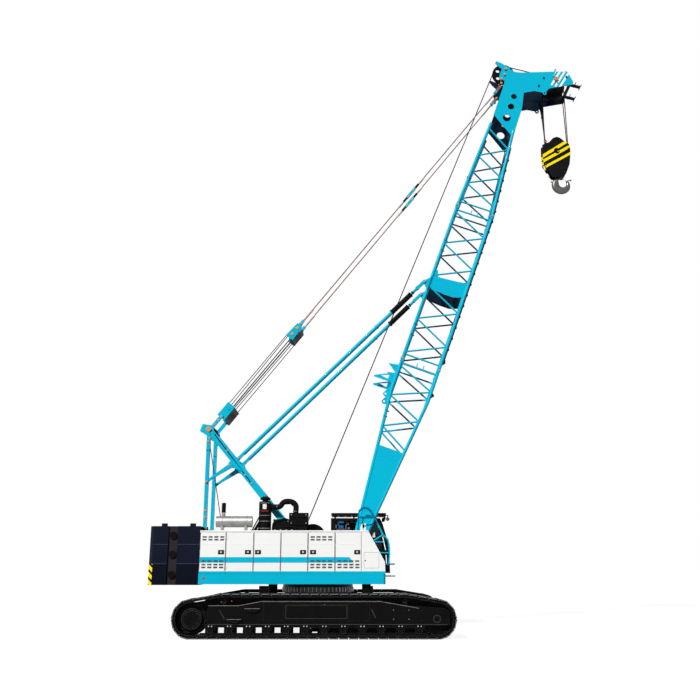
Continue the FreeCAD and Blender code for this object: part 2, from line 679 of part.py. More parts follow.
def counterweight(z0, z1, top):
    corner = WEIGHT_CORNER
    rear, front = WEIGHT_REAR_X, PLATFORM_REAR_X - SEAT_GAP
    corners = [
        (front, -HALF_UPPER), (front, HALF_UPPER), (rear + corner, HALF_UPPER),
        (rear, HALF_UPPER - corner),
        (rear, -HALF_UPPER + corner), (rear + corner, -HALF_UPPER),
    ]
    points = [Vector(x, y, z0) for x, y in corners]
    slab = Part.Face(Part.makePolygon(points + [points[0]])).extrude(Vector(0, 0, z1 - z0))
    g0, g1 = WEIGHT_GROOVE_X
    for side in (RIGHT, LEFT):
        slab = slab.cut(box(g0, g1, side * (HALF_UPPER - WEIGHT_GROOVE_DEPTH),
                            side * (HALF_UPPER + 1.0), z0 - 1.0, z1 + 1.0))
    slab = slab.cut(box(front - WEIGHT_SLOT_DEPTH, front + 1.0, -SIDE_Y - 110.0, SIDE_Y + 110.0,
                        z0 - 1.0, z1 + 1.0))
    pieces = [slab]
    z = (z0 + z1) / 2.0
    for side in (RIGHT, LEFT):
        face = side * (HALF_UPPER - WEIGHT_GROOVE_DEPTH)
        pieces.append(disc((g0 + g1) / 2.0, z, 75.0, face - side * 5.0, side * HALF_UPPER))
    if top:
        for x in (rear + 330.0, front - 330.0):
            for y in (-1150.0, 1150.0):
                pieces.append(box(x - 90.0, x + 90.0, y - 25.0, y + 25.0, z1 - 5.0, z1 + 110.0))
    return fuse(pieces)


# ---------------------------------------------------------------- houses and doors
def door_span(seams, i):
    return (seams[i] + SEAM_GAP / 2.0, seams[i + 1] - SEAM_GAP / 2.0)


def left_seams():
    return [x for x in RIGHT_SEAMS if x < LEFT_HOUSE_FRONT_X]


def hinge_lines(side):
    """Places (x, y) of the doors' upright hinge lines on one side."""
    seams, front_hung = (RIGHT_SEAMS, FRONT_HUNG_RIGHT) if side == RIGHT else (left_seams(),
                                                                               FRONT_HUNG_LEFT)
    places = []
    for i in range(len(seams) - 1):
        x0, x1 = door_span(seams, i)
        x = x1 - HINGE_INSET if i in front_hung else x0 + HINGE_INSET
        places.append((x, side * (HALF_UPPER - HINGE_INSET)))
    return places


def upright(place, radius, z0, z1):
    return rod(Vector(place[0], place[1], z0), Vector(place[0], place[1], z1), radius)


def house(side, outline, inner_outline, seams):
    """A hollow hood with an open floor, door openings in its outer wall and posts between."""
    outer_y, inner_y = side * HALF_UPPER, side * HOUSE_INNER_Y
    wall_y = outer_y - side * (DOOR_THICKNESS + DOOR_GAP + HOUSE_WALL)
    shell = plate(outline, inner_y, outer_y)
    shell = shell.cut(plate(inner_outline, inner_y + side * HOUSE_WALL, wall_y))
    recess_y = outer_y - side * (DOOR_THICKNESS + DOOR_GAP)
    shell = shell.cut(box(PLATFORM_REAR_X - 1.0, seams[-1], recess_y, outer_y + side, DECK_Z - 1.0,
                          DOOR_HEAD_Z))
    for i in range(len(seams) - 1):
        x0, x1 = seams[i] + POST_WIDTH, seams[i + 1] - POST_WIDTH
        shell = shell.cut(box(x0, x1, wall_y - side, recess_y + side, DECK_Z + POST_WIDTH,
                              DOOR_HEAD_Z - POST_WIDTH))
    head_z = DOOR_HEAD_Z - DOOR_END_GAP - HINGE_PIN_LENGTH
    pins = [upright(place, HINGE_PIN_RADIUS, head_z, DOOR_HEAD_Z + 20.0) for place in hinge_lines(side)]
    return fuse([shell] + pins)


def house_right():
    w = HOUSE_WALL
    outline = [
        (PLATFORM_REAR_X, DECK_Z), (PLATFORM_REAR_X, HOUSE_TOP_Z), (NOSE_TOP_X, HOUSE_TOP_Z),
        (NOSE_KNEE_X, NOSE_KNEE_Z), (PLATFORM_FRONT_X, DECK_Z),
    ]
    inner = [
        (PLATFORM_REAR_X + w, DECK_Z - 1.0), (PLATFORM_REAR_X + w, HOUSE_TOP_Z - w),
        (NOSE_TOP_X - w * 0.6, HOUSE_TOP_Z - w),
        (NOSE_KNEE_X - w * 1.1, NOSE_KNEE_Z), (PLATFORM_FRONT_X - w * 1.1, DECK_Z - 1.0),
    ]
    shell = house(RIGHT, outline, inner, RIGHT_SEAMS)
    lug_x = NOSE_TOP_X - ROOF_LUG_INSET
    foot_z = HOUSE_TOP_Z - 10.0
    lug = [
        (lug_x - 80.0, foot_z), (lug_x - 80.0, foot_z + 180.0), (lug_x - 20.0, foot_z + 250.0),
        (lug_x + 80.0, foot_z + 250.0),
        (lug_x + 80.0, foot_z + 60.0), (lug_x + 40.0, foot_z),
    ]
    pieces = [shell]
    for y in (DECK_ROW_Y - 60.0, DECK_ROW_Y + 45.0):
        pieces.append(plate(lug, y, y + 15.0))
    pieces.append(disc(lug_x + 30.0, foot_z + 190.0, 22.0, DECK_ROW_Y - 55.0, DECK_ROW_Y + 50.0))
    return fuse(pieces)


def house_left():
    w = HOUSE_WALL
    front = LEFT_HOUSE_FRONT_X
    outline = [(PLATFORM_REAR_X, DECK_Z), (PLATFORM_REAR_X, HOUSE_TOP_Z), (front, HOUSE_TOP_Z),
               (front, DECK_Z)]
    inner = [
        (PLATFORM_REAR_X + w, DECK_Z - 1.0), (PLATFORM_REAR_X + w, HOUSE_TOP_Z - w),
        (front - w, HOUSE_TOP_Z - w), (front - w, DECK_Z - 1.0),
    ]
    return house(LEFT, outline, inner, left_seams())


def louvres(side, seams, i):
    """Slots of the vented doors: four columns, with upper rows on the first and fifth door."""
    rows = {0: LOUVRE_TOP_ROWS + LOUVRE_LOW_ROWS, 4: LOUVRE_TOP_ROWS + LOUVRE_LOW_ROWS,
            5: LOUVRE_LOW_ROWS}
    wide, high = LOUVRE_SIZE
    far = side * (HALF_UPPER + 1.0)
    near = side * (HALF_UPPER - DOOR_THICKNESS - 1.0)
    slots = []
    for z in rows.get(i, ()):
        for column in range(4):
            x = seams[i] + LOUVRE_INSET + column * LOUVRE_PITCH
            slots.append(box(x - wide / 2.0, x + wide / 2.0, near, far, z - high / 2.0, z + high / 2.0))
    return slots


def house_door(side, seams, i):
    x0, x1 = door_span(seams, i)
    outer_y = side * HALF_UPPER
    z0, z1 = DECK_Z + DOOR_END_GAP, DOOR_HEAD_Z - DOOR_END_GAP
    door = box(x0, x1, outer_y - side * DOOR_THICKNESS, outer_y, z0, z1)
    slots = louvres(side, seams, i)
    if slots:
        door = door.cut(group(slots))
    place = hinge_lines(side)[i]
    depth = HINGE_PIN_LENGTH + 2.0
    door = door.cut(upright(place, HINGE_PIN_RADIUS + SEAT_GAP, z0 - 1.0, z0 + depth))
    return door.cut(upright(place, HINGE_PIN_RADIUS + SEAT_GAP, z1 - depth, z1 + 1.0))


# ---------------------------------------------------------------- deck equipment
def engine():
    near, far = -HALF_UPPER + ENGINE_DOOR_GAP, -HOUSE_INNER_Y - ENGINE_WALL_GAP
    return box(ENGINE_X[0], ENGINE_X[1], near, far, DECK_Z, ENGINE_TOP_Z)


def exhaust_silencer():
    x0, x1, y, z, r = -3230.0, -2080.0, DECK_ROW_Y, 3410.0, 175.0
    pieces = [rod(Vector(x0, y, z), Vector(x1, y, z), r)]
    pieces.append(rod(Vector(-3010.0, y, z), Vector(-3010.0, y, 4000.0), 60.0))
    for x in (x0 + 200.0, x1 - 200.0):
        pieces.append(box(x - 40.0, x + 40.0, y - 120.0, y + 120.0, HOUSE_TOP_Z, z - 60.0))
    return fuse(pieces)


def air_cleaner():
    x, y, r = -1680.0, DECK_ROW_Y, 200.0
    pieces = [
        rod(Vector(x, y, HOUSE_TOP_Z), Vector(x, y, 4040.0), r),
        rod(Vector(x, y, 4000.0), Vector(x, y, 4120.0), 90.0),
        rod(Vector(x, y, 4100.0), Vector(x, y, 4150.0), 165.0),
        Part.makeCone(165.0, 90.0, 55.0, Vector(x, y, 4150.0)),
        bar((-1831.0, 3628.0), (-2077.0, HOUSE_TOP_Z + 40.0), 36.0, y - 18.0, y + 18.0),
        bar((-1823.0, 3371.0), (-1962.0, HOUSE_TOP_Z + 40.0), 36.0, y - 18.0, y + 18.0),
        box(-2130.0, x, y - 60.0, y + 60.0, HOUSE_TOP_Z, HOUSE_TOP_Z + 50.0),
    ]
    route = [(x, 3880.0), (-1230.0, 3880.0), (-1080.0, 4030.0), (-850.0, 4040.0), (-700.0, 3920.0),
             (-700.0, 3680.4)]
    for start, end in zip(route[:-1], route[1:]):
        pieces.append(rod(Vector(start[0], y, start[1]), Vector(end[0], y, end[1]), 80.0))
    for x, z in route[1:-1]:
        pieces.append(Part.makeSphere(80.0, Vector(x, y, z)))
    return fuse(pieces)


def hydraulic_unit():
    y = DECK_ROW_Y
    return fuse([
        box(-900.0, -290.0, y - 170.0, y + 170.0, 3300.0, 3680.0),
        box(-1400.0, -850.0, y - 150.0, y + 150.0, HOUSE_TOP_Z, 3480.0),
        box(-850.0, -330.0, y - 130.0, y + 130.0, HOUSE_TOP_Z, 3310.0),
    ])


def drum(centre, flange, wound, half):
    x, z = centre
    return fuse([
        disc(x, z, wound, -half + 20.0, half - 20.0),
        disc(x, z, flange, -half, -half + 30.0),
        disc(x, z, flange, half - 30.0, half),
        disc(x, z, 70.0, -half - 50.0, half + 50.0),
    ])


def winch_frames():
    """Cheek plates that carry both drums, joined by tie bars across the deck."""
    pieces = []
    for centre, flange in ((DRUM_CENTRE, DRUM_FLANGE_RADIUS), (LUFF_DRUM_CENTRE, LUFF_FLANGE_RADIUS)):
        x, z = centre
        low, high = DRUM_HALF_WIDTH + 12.0, DRUM_HALF_WIDTH + 46.0
        cheeks = []
        for side in (RIGHT, LEFT):
            outline = [(x - 420.0, DECK_Z), (x + 420.0, DECK_Z), (x + 170.0, z), (x - 170.0, z)]
            cheek = fuse([plate(outline, side * low, side * high),
                          disc(x, z, 170.0, side * low, side * high)])
            cheeks.append(cheek.cut(disc(x, z, 70.0 + PIN_FIT, side * (low - 1.0), side * (high + 1.0))))
        for tie_x in (x - 330.0, x + 330.0):
            cheeks.append(box(tie_x - 50.0, tie_x + 50.0, -low - 5.0, low + 5.0, DECK_Z, DECK_Z + 60.0))
        pieces.append(fuse(cheeks))
    return group(pieces)


def nose_x(z):
    """X of the right-hand house's front face at a height."""
    if z >= NOSE_KNEE_Z:
        return NOSE_TOP_X + (HOUSE_TOP_Z - z) / (HOUSE_TOP_Z - NOSE_KNEE_Z) * (NOSE_KNEE_X - NOSE_TOP_X)
    return NOSE_KNEE_X + (NOSE_KNEE_Z - z) / (NOSE_KNEE_Z - DECK_Z) * (PLATFORM_FRONT_X - NOSE_KNEE_X)


def bent_rail(points, y, radius):
    pieces = []
    for start, end in zip(points[:-1], points[1:]):
        pieces.append(rod(Vector(start[0], y, start[1]), Vector(end[0], y, end[1]), radius))
    for x, z in points[1:-1]:
        pieces.append(Part.makeSphere(radius, Vector(x, y, z)))
    return pieces


def front_ladder():
    """Steps on the sloped nose of the right-hand house between two bent hand rails."""
    y0, y1 = LADDER_Y
    pieces = []
    for z in LADDER_STEPS_Z:
        x = nose_x(z - STEP_THICKNESS) + SEAT_GAP
        pieces.append(box(x, x + STEP_DEPTH, y0, y1, z - STEP_THICKNESS, z))
    foot_z = LADDER_STEPS_Z[-1]
    hoop = [
        (1300.0, HOUSE_TOP_Z + SEAT_GAP), (1300.0, 3560.0), (1330.0, 3740.0), (1460.0, 3840.0),
        (1610.0, 3820.0),
        (1720.0, 3720.0), (1820.0, 3530.0), (2080.0, 3000.0), (2230.0, 2850.0), (2275.0, 2640.0),
        (2280.0, 2410.0),
        (2250.0, foot_z - 10.0),
    ]
    for y in (y0 - RAIL_RADIUS + 2.0, y1 + RAIL_RADIUS - 2.0):
        pieces += bent_rail(hoop, y, RAIL_RADIUS)
        pieces.append(rod(Vector(1300.0, y, 3540.0), Vector(1815.0, y, 3540.0), RAIL_RADIUS))
        brace_x = nose_x(2810.0) + RAIL_RADIUS
        pieces.append(rod(Vector(brace_x, y, 2810.0), Vector(2070.0, y, 2990.0), RAIL_RADIUS))
    return fuse(pieces)


# ---------------------------------------------------------------- cab
def cab_outline(inset):
    rear, low, roof = CAB_REAR_X + inset, DECK_Z + SEAT_GAP + inset, CAB_ROOF_Z - inset
    return [
        (rear, low), (2390.0 - inset, low), (2375.0 - inset, 2450.0), (2310.0 - inset, 2910.0),
        (2150.0 - inset, 3450.0), (2060.0 - inset, roof), (rear, roof),
    ]


def cab_shell():
    w = CAB_WALL
    y0, y1 = CAB_INNER_Y, HALF_UPPER
    shell = plate(cab_outline(0.0), y0, y1).cut(plate(cab_outline(w), y0 + w, y1 - w))
    front = [(2000.0, 2050.0), (2600.0, 2050.0), (2600.0, 3500.0), (2000.0, 3500.0)]
    shell = shell.cut(plate(front, y0 + 70.0, y1 - 70.0))
    side_window = plate([(CAB_REAR_X + 90.0, 2600.0), (2180.0, 2600.0), (2010.0, 3540.0),
                         (CAB_REAR_X + 90.0, 3540.0)],
                        y0 - 1.0, y0 + w + 1.0)
    shell = shell.cut(side_window)
    shell = shell.cut(box(CAB_REAR_X - 1.0, CAB_REAR_X + w + 1.0, y0 + 120.0, y1 - 120.0, 2700.0, 3500.0))
    shell = shell.cut(box(CAB_DOOR_REAR_X, CAB_DOOR_FRONT_X, y1 - w - 1.0, y1 + 1.0,
                          CAB_DOOR_Z0, CAB_DOOR_Z1))
    shell = shell.cut(plate([(CAB_DOOR_FRONT_X + 60.0, 2600.0), (2180.0, 2600.0), (2010.0, 3540.0),
                             (CAB_DOOR_FRONT_X + 60.0, 3540.0)],
                            y1 - w - 1.0, y1 + 1.0))
    shell = shell.cut(box(900.0, 1700.0, y0 + 200.0, y1 - 200.0, CAB_ROOF_Z - w - 1.0, CAB_ROOF_Z + 1.0))
    pins = []
    for low, high in ((CAB_DOOR_Z0 - 15.0, CAB_DOOR_Z0 + DOOR_GAP + HINGE_PIN_LENGTH),
                      (CAB_DOOR_Z1 - DOOR_GAP - HINGE_PIN_LENGTH, CAB_DOOR_Z1 + 15.0)):
        pins.append(upright(cab_hinge_line(), HINGE_PIN_RADIUS, low, high))
    return fuse([shell] + pins)


def cab_glass():
    w, g, fit = CAB_WALL, GLASS_THICKNESS, SEAT_GAP
    y0, y1 = CAB_INNER_Y, HALF_UPPER
    middle = w / 2.0
    front = plate(cab_outline(middle), y0 + 70.0 + fit, y1 - 70.0 - fit)
    front = front.cut(plate(cab_outline(middle + g), y0 + 60.0, y1 - 60.0))
    front = front.common(box(2000.0, 2600.0, y0, y1, 2050.0 + fit, 3500.0 - fit))
    low, high = 2600.0 + fit, 3540.0 - fit
    panes = [front]
    for rear, near in ((CAB_REAR_X + 90.0, y0 + middle), (CAB_DOOR_FRONT_X + 60.0, y1 - middle - g)):
        outline = [(rear + fit, low), (2180.0 - 1.4 * fit, low), (2010.0 - 1.4 * fit, high),
                   (rear + fit, high)]
        panes.append(plate(outline, near, near + g))
    panes.append(box(CAB_REAR_X + middle, CAB_REAR_X + middle + g, y0 + 120.0 + fit, y1 - 120.0 - fit,
                     2700.0 + fit, 3500.0 - fit))
    panes.append(box(900.0 + fit, 1700.0 - fit, y0 + 200.0 + fit, y1 - 200.0 - fit,
                     CAB_ROOF_Z - middle - g, CAB_ROOF_Z - middle))
    return group(panes)


def cab_hinge_line():
    return (CAB_DOOR_REAR_X + DOOR_GAP + HINGE_INSET, HALF_UPPER - HINGE_INSET)


def cab_door():
    x0, x1 = CAB_DOOR_REAR_X + DOOR_GAP, CAB_DOOR_FRONT_X - DOOR_GAP
    z0, z1 = CAB_DOOR_Z0 + DOOR_GAP, CAB_DOOR_Z1 - DOOR_GAP
    panel = box(x0, x1, HALF_UPPER - CAB_WALL, HALF_UPPER, z0, z1)
    window = box(x0 + 70.0, x1 - 70.0, HALF_UPPER - CAB_WALL - 1.0, HALF_UPPER + 1.0, 2400.0, z1 - 70.0)
    pane = box(x0 + 70.0, x1 - 70.0, HALF_UPPER - 26.0, HALF_UPPER - 18.0, 2400.0, z1 - 70.0)
    door = fuse([panel.cut(window), pane])
    for low, high in ((z0 - 1.0, z0 + HINGE_PIN_LENGTH + 2.0), (z1 - HINGE_PIN_LENGTH - 2.0, z1 + 1.0)):
        door = door.cut(upright(cab_hinge_line(), HINGE_PIN_RADIUS + SEAT_GAP, low, high))
    return door


def cab_seat():
    y = (CAB_INNER_Y + HALF_UPPER) / 2.0
    floor = DECK_Z + SEAT_GAP + CAB_WALL
    return fuse([
        box(800.0, 1150.0, y - 150.0, y + 150.0, floor, floor + 420.0),
        box(730.0, 1260.0, y - 240.0, y + 240.0, floor + 400.0, floor + 520.0),
        plate([(730.0, floor + 480.0), (860.0, floor + 480.0), (760.0, floor + 1150.0),
               (640.0, floor + 1150.0)], y - 230.0, y + 230.0),
    ])


def cab_roof_guard():
    """Bars over the cab's roof, with two work lamps ahead and a round one turned to the side."""
    y0, y1 = CAB_INNER_Y + 40.0, HALF_UPPER - 40.0
    z = GUARD_Z
    bar_width = 50.0
    pieces = [
        box(400.0, 2270.0, y0, y0 + bar_width, z, z + GUARD_THICKNESS),
        box(400.0, 2270.0, y1 - bar_width, y1, z, z + GUARD_THICKNESS),
    ]
    for i in range(9):
        x = 400.0 + i * 227.5
        pieces.append(box(x, x + bar_width, y0, y1, z, z + GUARD_THICKNESS))
    for x in (500.0, 1150.0, 1900.0):
        for y in (y0, y1 - bar_width):
            pieces.append(box(x, x + bar_width, y, y + bar_width, CAB_ROOF_Z, z + 5.0))
    for y in (y0 + CAB_LAMP_INSET, y1 - CAB_LAMP_INSET):
        pieces.append(box(2225.0, 2265.0, y - 20.0, y + 20.0, CAB_LAMP_Z, z + 5.0))
        pieces.append(rod(Vector(CAB_LAMP_X[0], y, CAB_LAMP_Z), Vector(CAB_LAMP_X[1], y, CAB_LAMP_Z),
                          CAB_LAMP_RADIUS))
    pieces.append(box(2260.0, SIDE_LAMP_X + 15.0, y0, y0 + 30.0, z, z + 30.0))
    pieces.append(box(SIDE_LAMP_X - 15.0, SIDE_LAMP_X + 15.0, y0, y0 + 30.0, CAB_LAMP_Z, z + 10.0))
    pieces.append(disc(SIDE_LAMP_X, CAB_LAMP_Z, CAB_LAMP_RADIUS, y0 - 20.0, y0 + 30.0))
    return fuse(pieces)


# ---------------------------------------------------------------- gantry
def gantry_mast():
    pieces = []
    for side in (RIGHT, LEFT):
        y0, y1 = side * (SIDE_Y - MAST_WIDTH / 2.0), side * (SIDE_Y + MAST_WIDTH / 2.0)
        pieces.append(bar(GANTRY_TOP, MAST_FOOT, MAST_DEPTH, y0, y1))
        pieces.append(disc(*MAST_FOOT, MAST_DEPTH / 2.0, y0, y1))
        pieces.append(disc(*GANTRY_TOP, GANTRY_HEAD_RADIUS, y0, y1))
        bracket = [STRUT_FOOT, line_point(GANTRY_TOP, MAST_FOOT, 1150.0, 60.0),
                   line_point(GANTRY_TOP, MAST_FOOT, 1700.0, 60.0)]
        for cheek in (STRUT_Y - STRUT_EYE_HALF - 20.5, STRUT_Y + STRUT_EYE_HALF + 0.5):
            pieces.append(plate(bracket, side * cheek, side * (cheek + 20.0)))
            pieces.append(disc(*STRUT_FOOT, STRUT_EYE_RADIUS, side * cheek, side * (cheek + 20.0)))
        pin_half = STRUT_EYE_HALF + 25.0
        pieces.append(disc(*STRUT_FOOT, STRUT_PIN_RADIUS, side * (STRUT_Y - pin_half),
                           side * (STRUT_Y + pin_half)))
    for distance in (1150.0, 4300.0):
        x, z = line_point(GANTRY_TOP, MAST_FOOT, distance)
        pieces.append(rod(Vector(x, -SIDE_Y, z), Vector(x, SIDE_Y, z), 60.0))
    return fuse(pieces)


def gantry_legs():
    """Upright boxes on the platform's tail lugs, forked over the mast's head."""
    legs = []
    half = LEG_WIDTH / 2.0
    top_z = GANTRY_TOP[1] - 300.0
    for side in (RIGHT, LEFT):
        inner, outer = SIDE_Y - MAST_WIDTH / 2.0, SIDE_Y + MAST_WIDTH / 2.0
        leg = [box(LEG_X - half, LEG_X + half, side * inner, side * outer, TAIL_LUG_TOP_Z + SEAT_GAP,
                   top_z)]
        for low, high in ((inner - LEG_CHEEK, inner - SEAT_GAP), (outer + SEAT_GAP, outer + LEG_CHEEK)):
            leg.append(box(LEG_X - half, LEG_X + half, side * low, side * high, top_z - 400.0,
                           GANTRY_TOP[1]))
            leg.append(disc(LEG_X, GANTRY_TOP[1], half, side * low, side * high))
        leg.append(box(LEG_X - half, LEG_X + half, side * (inner - LEG_CHEEK), side * (outer + LEG_CHEEK),
                       top_z - 400.0, top_z))
        ear = [(LEG_X + x, GANTRY_TOP[1] + z) for x, z in GANTRY_EAR]
        for low, high in ((inner - LEG_CHEEK, inner - SEAT_GAP), (outer + SEAT_GAP, outer + LEG_CHEEK)):
            leg.append(plate(ear, side * low, side * high))
        leg.append(disc(LEG_X, GANTRY_TOP[1], 42.0, side * (outer + LEG_CHEEK - 1.0),
                        side * (outer + LEG_CHEEK + 14.0)))
        legs.append(fuse(leg))
    return group(legs)


def gantry_braces():
    braces = []
    for side in (RIGHT, LEFT):
        y_outer = side * (SIDE_Y + MAST_WIDTH / 2.0)
        y0, y1 = y_outer + side * 0.3, y_outer + side * 22.0
        start = (LEG_X, BRACE_LEG_Z)
        brace = [bar(start, BRACE_MAST, BRACE_WIDTH, y0, y1)]
        for end in (start, BRACE_MAST):
            brace.append(disc(*end, BRACE_WIDTH / 2.0, y0, y1 + side * 12.0))
        braces.append(fuse(brace))
    return group(braces)


def sheave(x, z, radius, y, width):
    groove = radius - GROOVE_DEPTH
    return fuse([
        disc(x, z, groove, y - width / 2.0, y + width / 2.0),
        disc(x, z, radius, y - width / 2.0, y - width / 2.0 + 10.0),
        disc(x, z, radius, y + width / 2.0 - 10.0, y + width / 2.0),
    ])


def gantry_sheaves():
    x, z = GANTRY_TOP
    half = SIDE_Y - MAST_WIDTH / 2.0 - LEG_CHEEK - SEAT_GAP
    pieces = [disc(x, z, 50.0, -half, half)]
    for y in (-120.0, 120.0):
        pieces.append(sheave(x, z, TOP_SHEAVE_RADIUS, y, 60.0))
    return fuse(pieces)


# ---------------------------------------------------------------- boom
def chord_t(s, sign):
    """Signed t of a chord: tapered foot, even middle, head tapered more at its front."""
    if s <= LOWER_JOINT:
        return sign * min(BOOM_HALF_DEPTH, FOOT_TAPER_START + FOOT_TAPER * s)
    if s <= UPPER_JOINT:
        return sign * BOOM_HALF_DEPTH
    end_s, end_t = (HEAD_FRONT_S, HEAD_FRONT_T) if sign > 0 else (HEAD_REAR_S, HEAD_REAR_T)
    share = (s - UPPER_JOINT) / (end_s - UPPER_JOINT)
    return sign * (BOOM_HALF_DEPTH + (end_t - BOOM_HALF_DEPTH) * share)


def chord_set_back():
    return JOINT_LUG_RADIUS + JOINT_GAP


def chords(*stations):
    """The four chord tubes, bent at the stations along the boom."""
    pieces = []
    for y in (-BOOM_HALF_WIDTH, BOOM_HALF_WIDTH):
        for sign in (-1.0, 1.0):
            for s0, s1 in zip(stations[:-1], stations[1:]):
                pieces.append(rod(boom_point(s0, chord_t(s0, sign), y),
                                  boom_point(s1, chord_t(s1, sign), y), CHORD_RADIUS))
            for s in stations[1:-1]:
                pieces.append(Part.makeSphere(CHORD_RADIUS, boom_point(s, chord_t(s, sign), y)))
    return pieces


def end_frame(end, inward):
    """Square frame of tubes at a section's end: cross tubes first, side tubes further in."""
    pieces = []
    cross_s, side_s = end + inward * FRAME_CROSS, end + inward * FRAME_SIDE
    for y in (-BOOM_HALF_WIDTH, BOOM_HALF_WIDTH):
        start = boom_point(side_s, chord_t(side_s, -1.0), y)
        stop = boom_point(side_s, chord_t(side_s, 1.0), y)
        pieces.append(rod(start, stop, LACE_RADIUS))
    for sign in (-1.0, 1.0):
        t = chord_t(cross_s, sign)
        start, stop = boom_point(cross_s, t, -BOOM_HALF_WIDTH), boom_point(cross_s, t, BOOM_HALF_WIDTH)
        pieces.append(rod(start, stop, LACE_RADIUS))
    return pieces


def zigzag(s0, s1, legs, first_sign, shift=LACE_SHIFT):
    """Single lacing on all four faces: each leg runs from one chord to the next one across."""
    step = (s1 - s0) / legs
    half = BOOM_HALF_WIDTH
    pieces = []
    for i in range(legs):
        sign = first_sign * (-1.0) ** i
        a, b = s0 + i * step, s0 + (i + 1) * step
        for y in (-half, half):
            pieces.append(rod(boom_point(a, chord_t(a, sign), y), boom_point(b, chord_t(b, -sign), y),
                              LACE_RADIUS))
        a, b = a + shift, b + shift
        for face in (-1.0, 1.0):
            start = boom_point(a, chord_t(a, face), sign * half)
            end = boom_point(b, chord_t(b, face), -sign * half)
            pieces.append(rod(start, end, LACE_RADIUS))
    return pieces


def joint_lugs(s, y_half, toward, forked):
    """Pin lugs at a section's end: forked pairs on one section, single tongues on the next."""
    pieces = []
    tongue, cheek = JOINT_TONGUE / 2.0, CHORD_RADIUS + 5.0
    spans = ((-cheek, -tongue - 0.3), (tongue + 0.3, cheek)) if forked else ((-tongue, tongue),)
    for y in (-y_half, y_half):
        for sign_t in (-1.0, 1.0):
            pin = boom_xz(s, chord_t(s, sign_t))
            root_s = s + toward * (JOINT_LUG_RADIUS + 45.0)
            root = boom_xz(root_s, chord_t(root_s, sign_t))
            for low, high in spans:
                pieces.append(disc(*pin, JOINT_LUG_RADIUS, y + low, y + high))
                pieces.append(bar(pin, root, 2.0 * CHORD_RADIUS, y + low, y + high))
    return pieces


def boom_plate(points, y0, y1):
    return plate([boom_xz(s, t) for s, t in points], y0, y1)


def boom_foot():
    """Plated box at the pivot, then open lacing up to the lower joint."""
    top = LOWER_JOINT - chord_set_back()
    pieces = chords(FOOT_COVER_START, FOOT_TAPER_END, top)
    for side in (RIGHT, LEFT):
        y0, y1 = side * (BOOM_HALF_WIDTH - 55.0), side * (BOOM_HALF_WIDTH + 40.0)
        web = [(0.0, -FOOT_EYE_RADIUS)]
        web += [(s, chord_t(s, -1.0)) for s in (FOOT_COVER_START, FOOT_PLATE_END)]
        web += [(s, chord_t(s, 1.0)) for s in (FOOT_PLATE_END, FOOT_COVER_START)]
        web.append((0.0, FOOT_EYE_RADIUS))
        pieces.append(boom_plate(web, y0, y1))
        pieces.append(disc(*BOOM_PIVOT, FOOT_EYE_RADIUS, y0, y1))
        pieces += rear_guides(side)
    for sign in (-1.0, 1.0):
        s0, s1 = FOOT_COVER_START + 900.0, FOOT_PLATE_END
        t0, t1 = chord_t(s0, sign), chord_t(s1, sign)
        cover = [(s0, t0), (s1, t1), (s1, t1 - sign * 25.0), (s0, t0 - sign * 25.0)]
        pieces.append(boom_plate(cover, -BOOM_HALF_WIDTH, BOOM_HALF_WIDTH))
    pieces += zigzag(FOOT_PLATE_END + 100.0, top - FRAME_LACE, 5, 1.0, -LACE_SHIFT)
    pieces += end_frame(top, -1.0)
    pieces += joint_lugs(LOWER_JOINT, BOOM_HALF_WIDTH, -1.0, True)
    body = fuse(pieces)
    bore = disc(*BOOM_PIVOT, BOOM_PIN_RADIUS + PIN_FIT, -BOOM_HALF_WIDTH - 120.0, BOOM_HALF_WIDTH + 120.0)
    return body.cut(bore)


def rear_guides(side):
    """Pointed rope guides and an eye behind the foot section's top."""
    y0, y1 = side * (BOOM_HALF_WIDTH - 12.0), side * (BOOM_HALF_WIDTH + 12.0)
    fin = boom_plate([(6750.0, -BOOM_HALF_DEPTH), (6680.0, -1040.0), (6400.0, -BOOM_HALF_DEPTH)], y0, y1)
    horn = boom_plate([(6480.0, -BOOM_HALF_DEPTH), (6120.0, -1370.0), (6070.0, -1350.0),
                       (6080.0, -BOOM_HALF_DEPTH)], y0, y1)
    window = boom_plate([(6300.0, -880.0), (6190.0, -1150.0), (6150.0, -880.0)], y0 - side, y1 + side)
    eye = boom_plate([(6080.0, -BOOM_HALF_DEPTH), (5620.0, -880.0), (5540.0, -800.0),
                      (5560.0, -BOOM_HALF_DEPTH + 60.0)], y0, y1)
    hole = disc(*boom_xz(5640.0, -790.0), 35.0, y0 - side, y1 + side)
    return [fin, horn.cut(window), eye.cut(hole)]


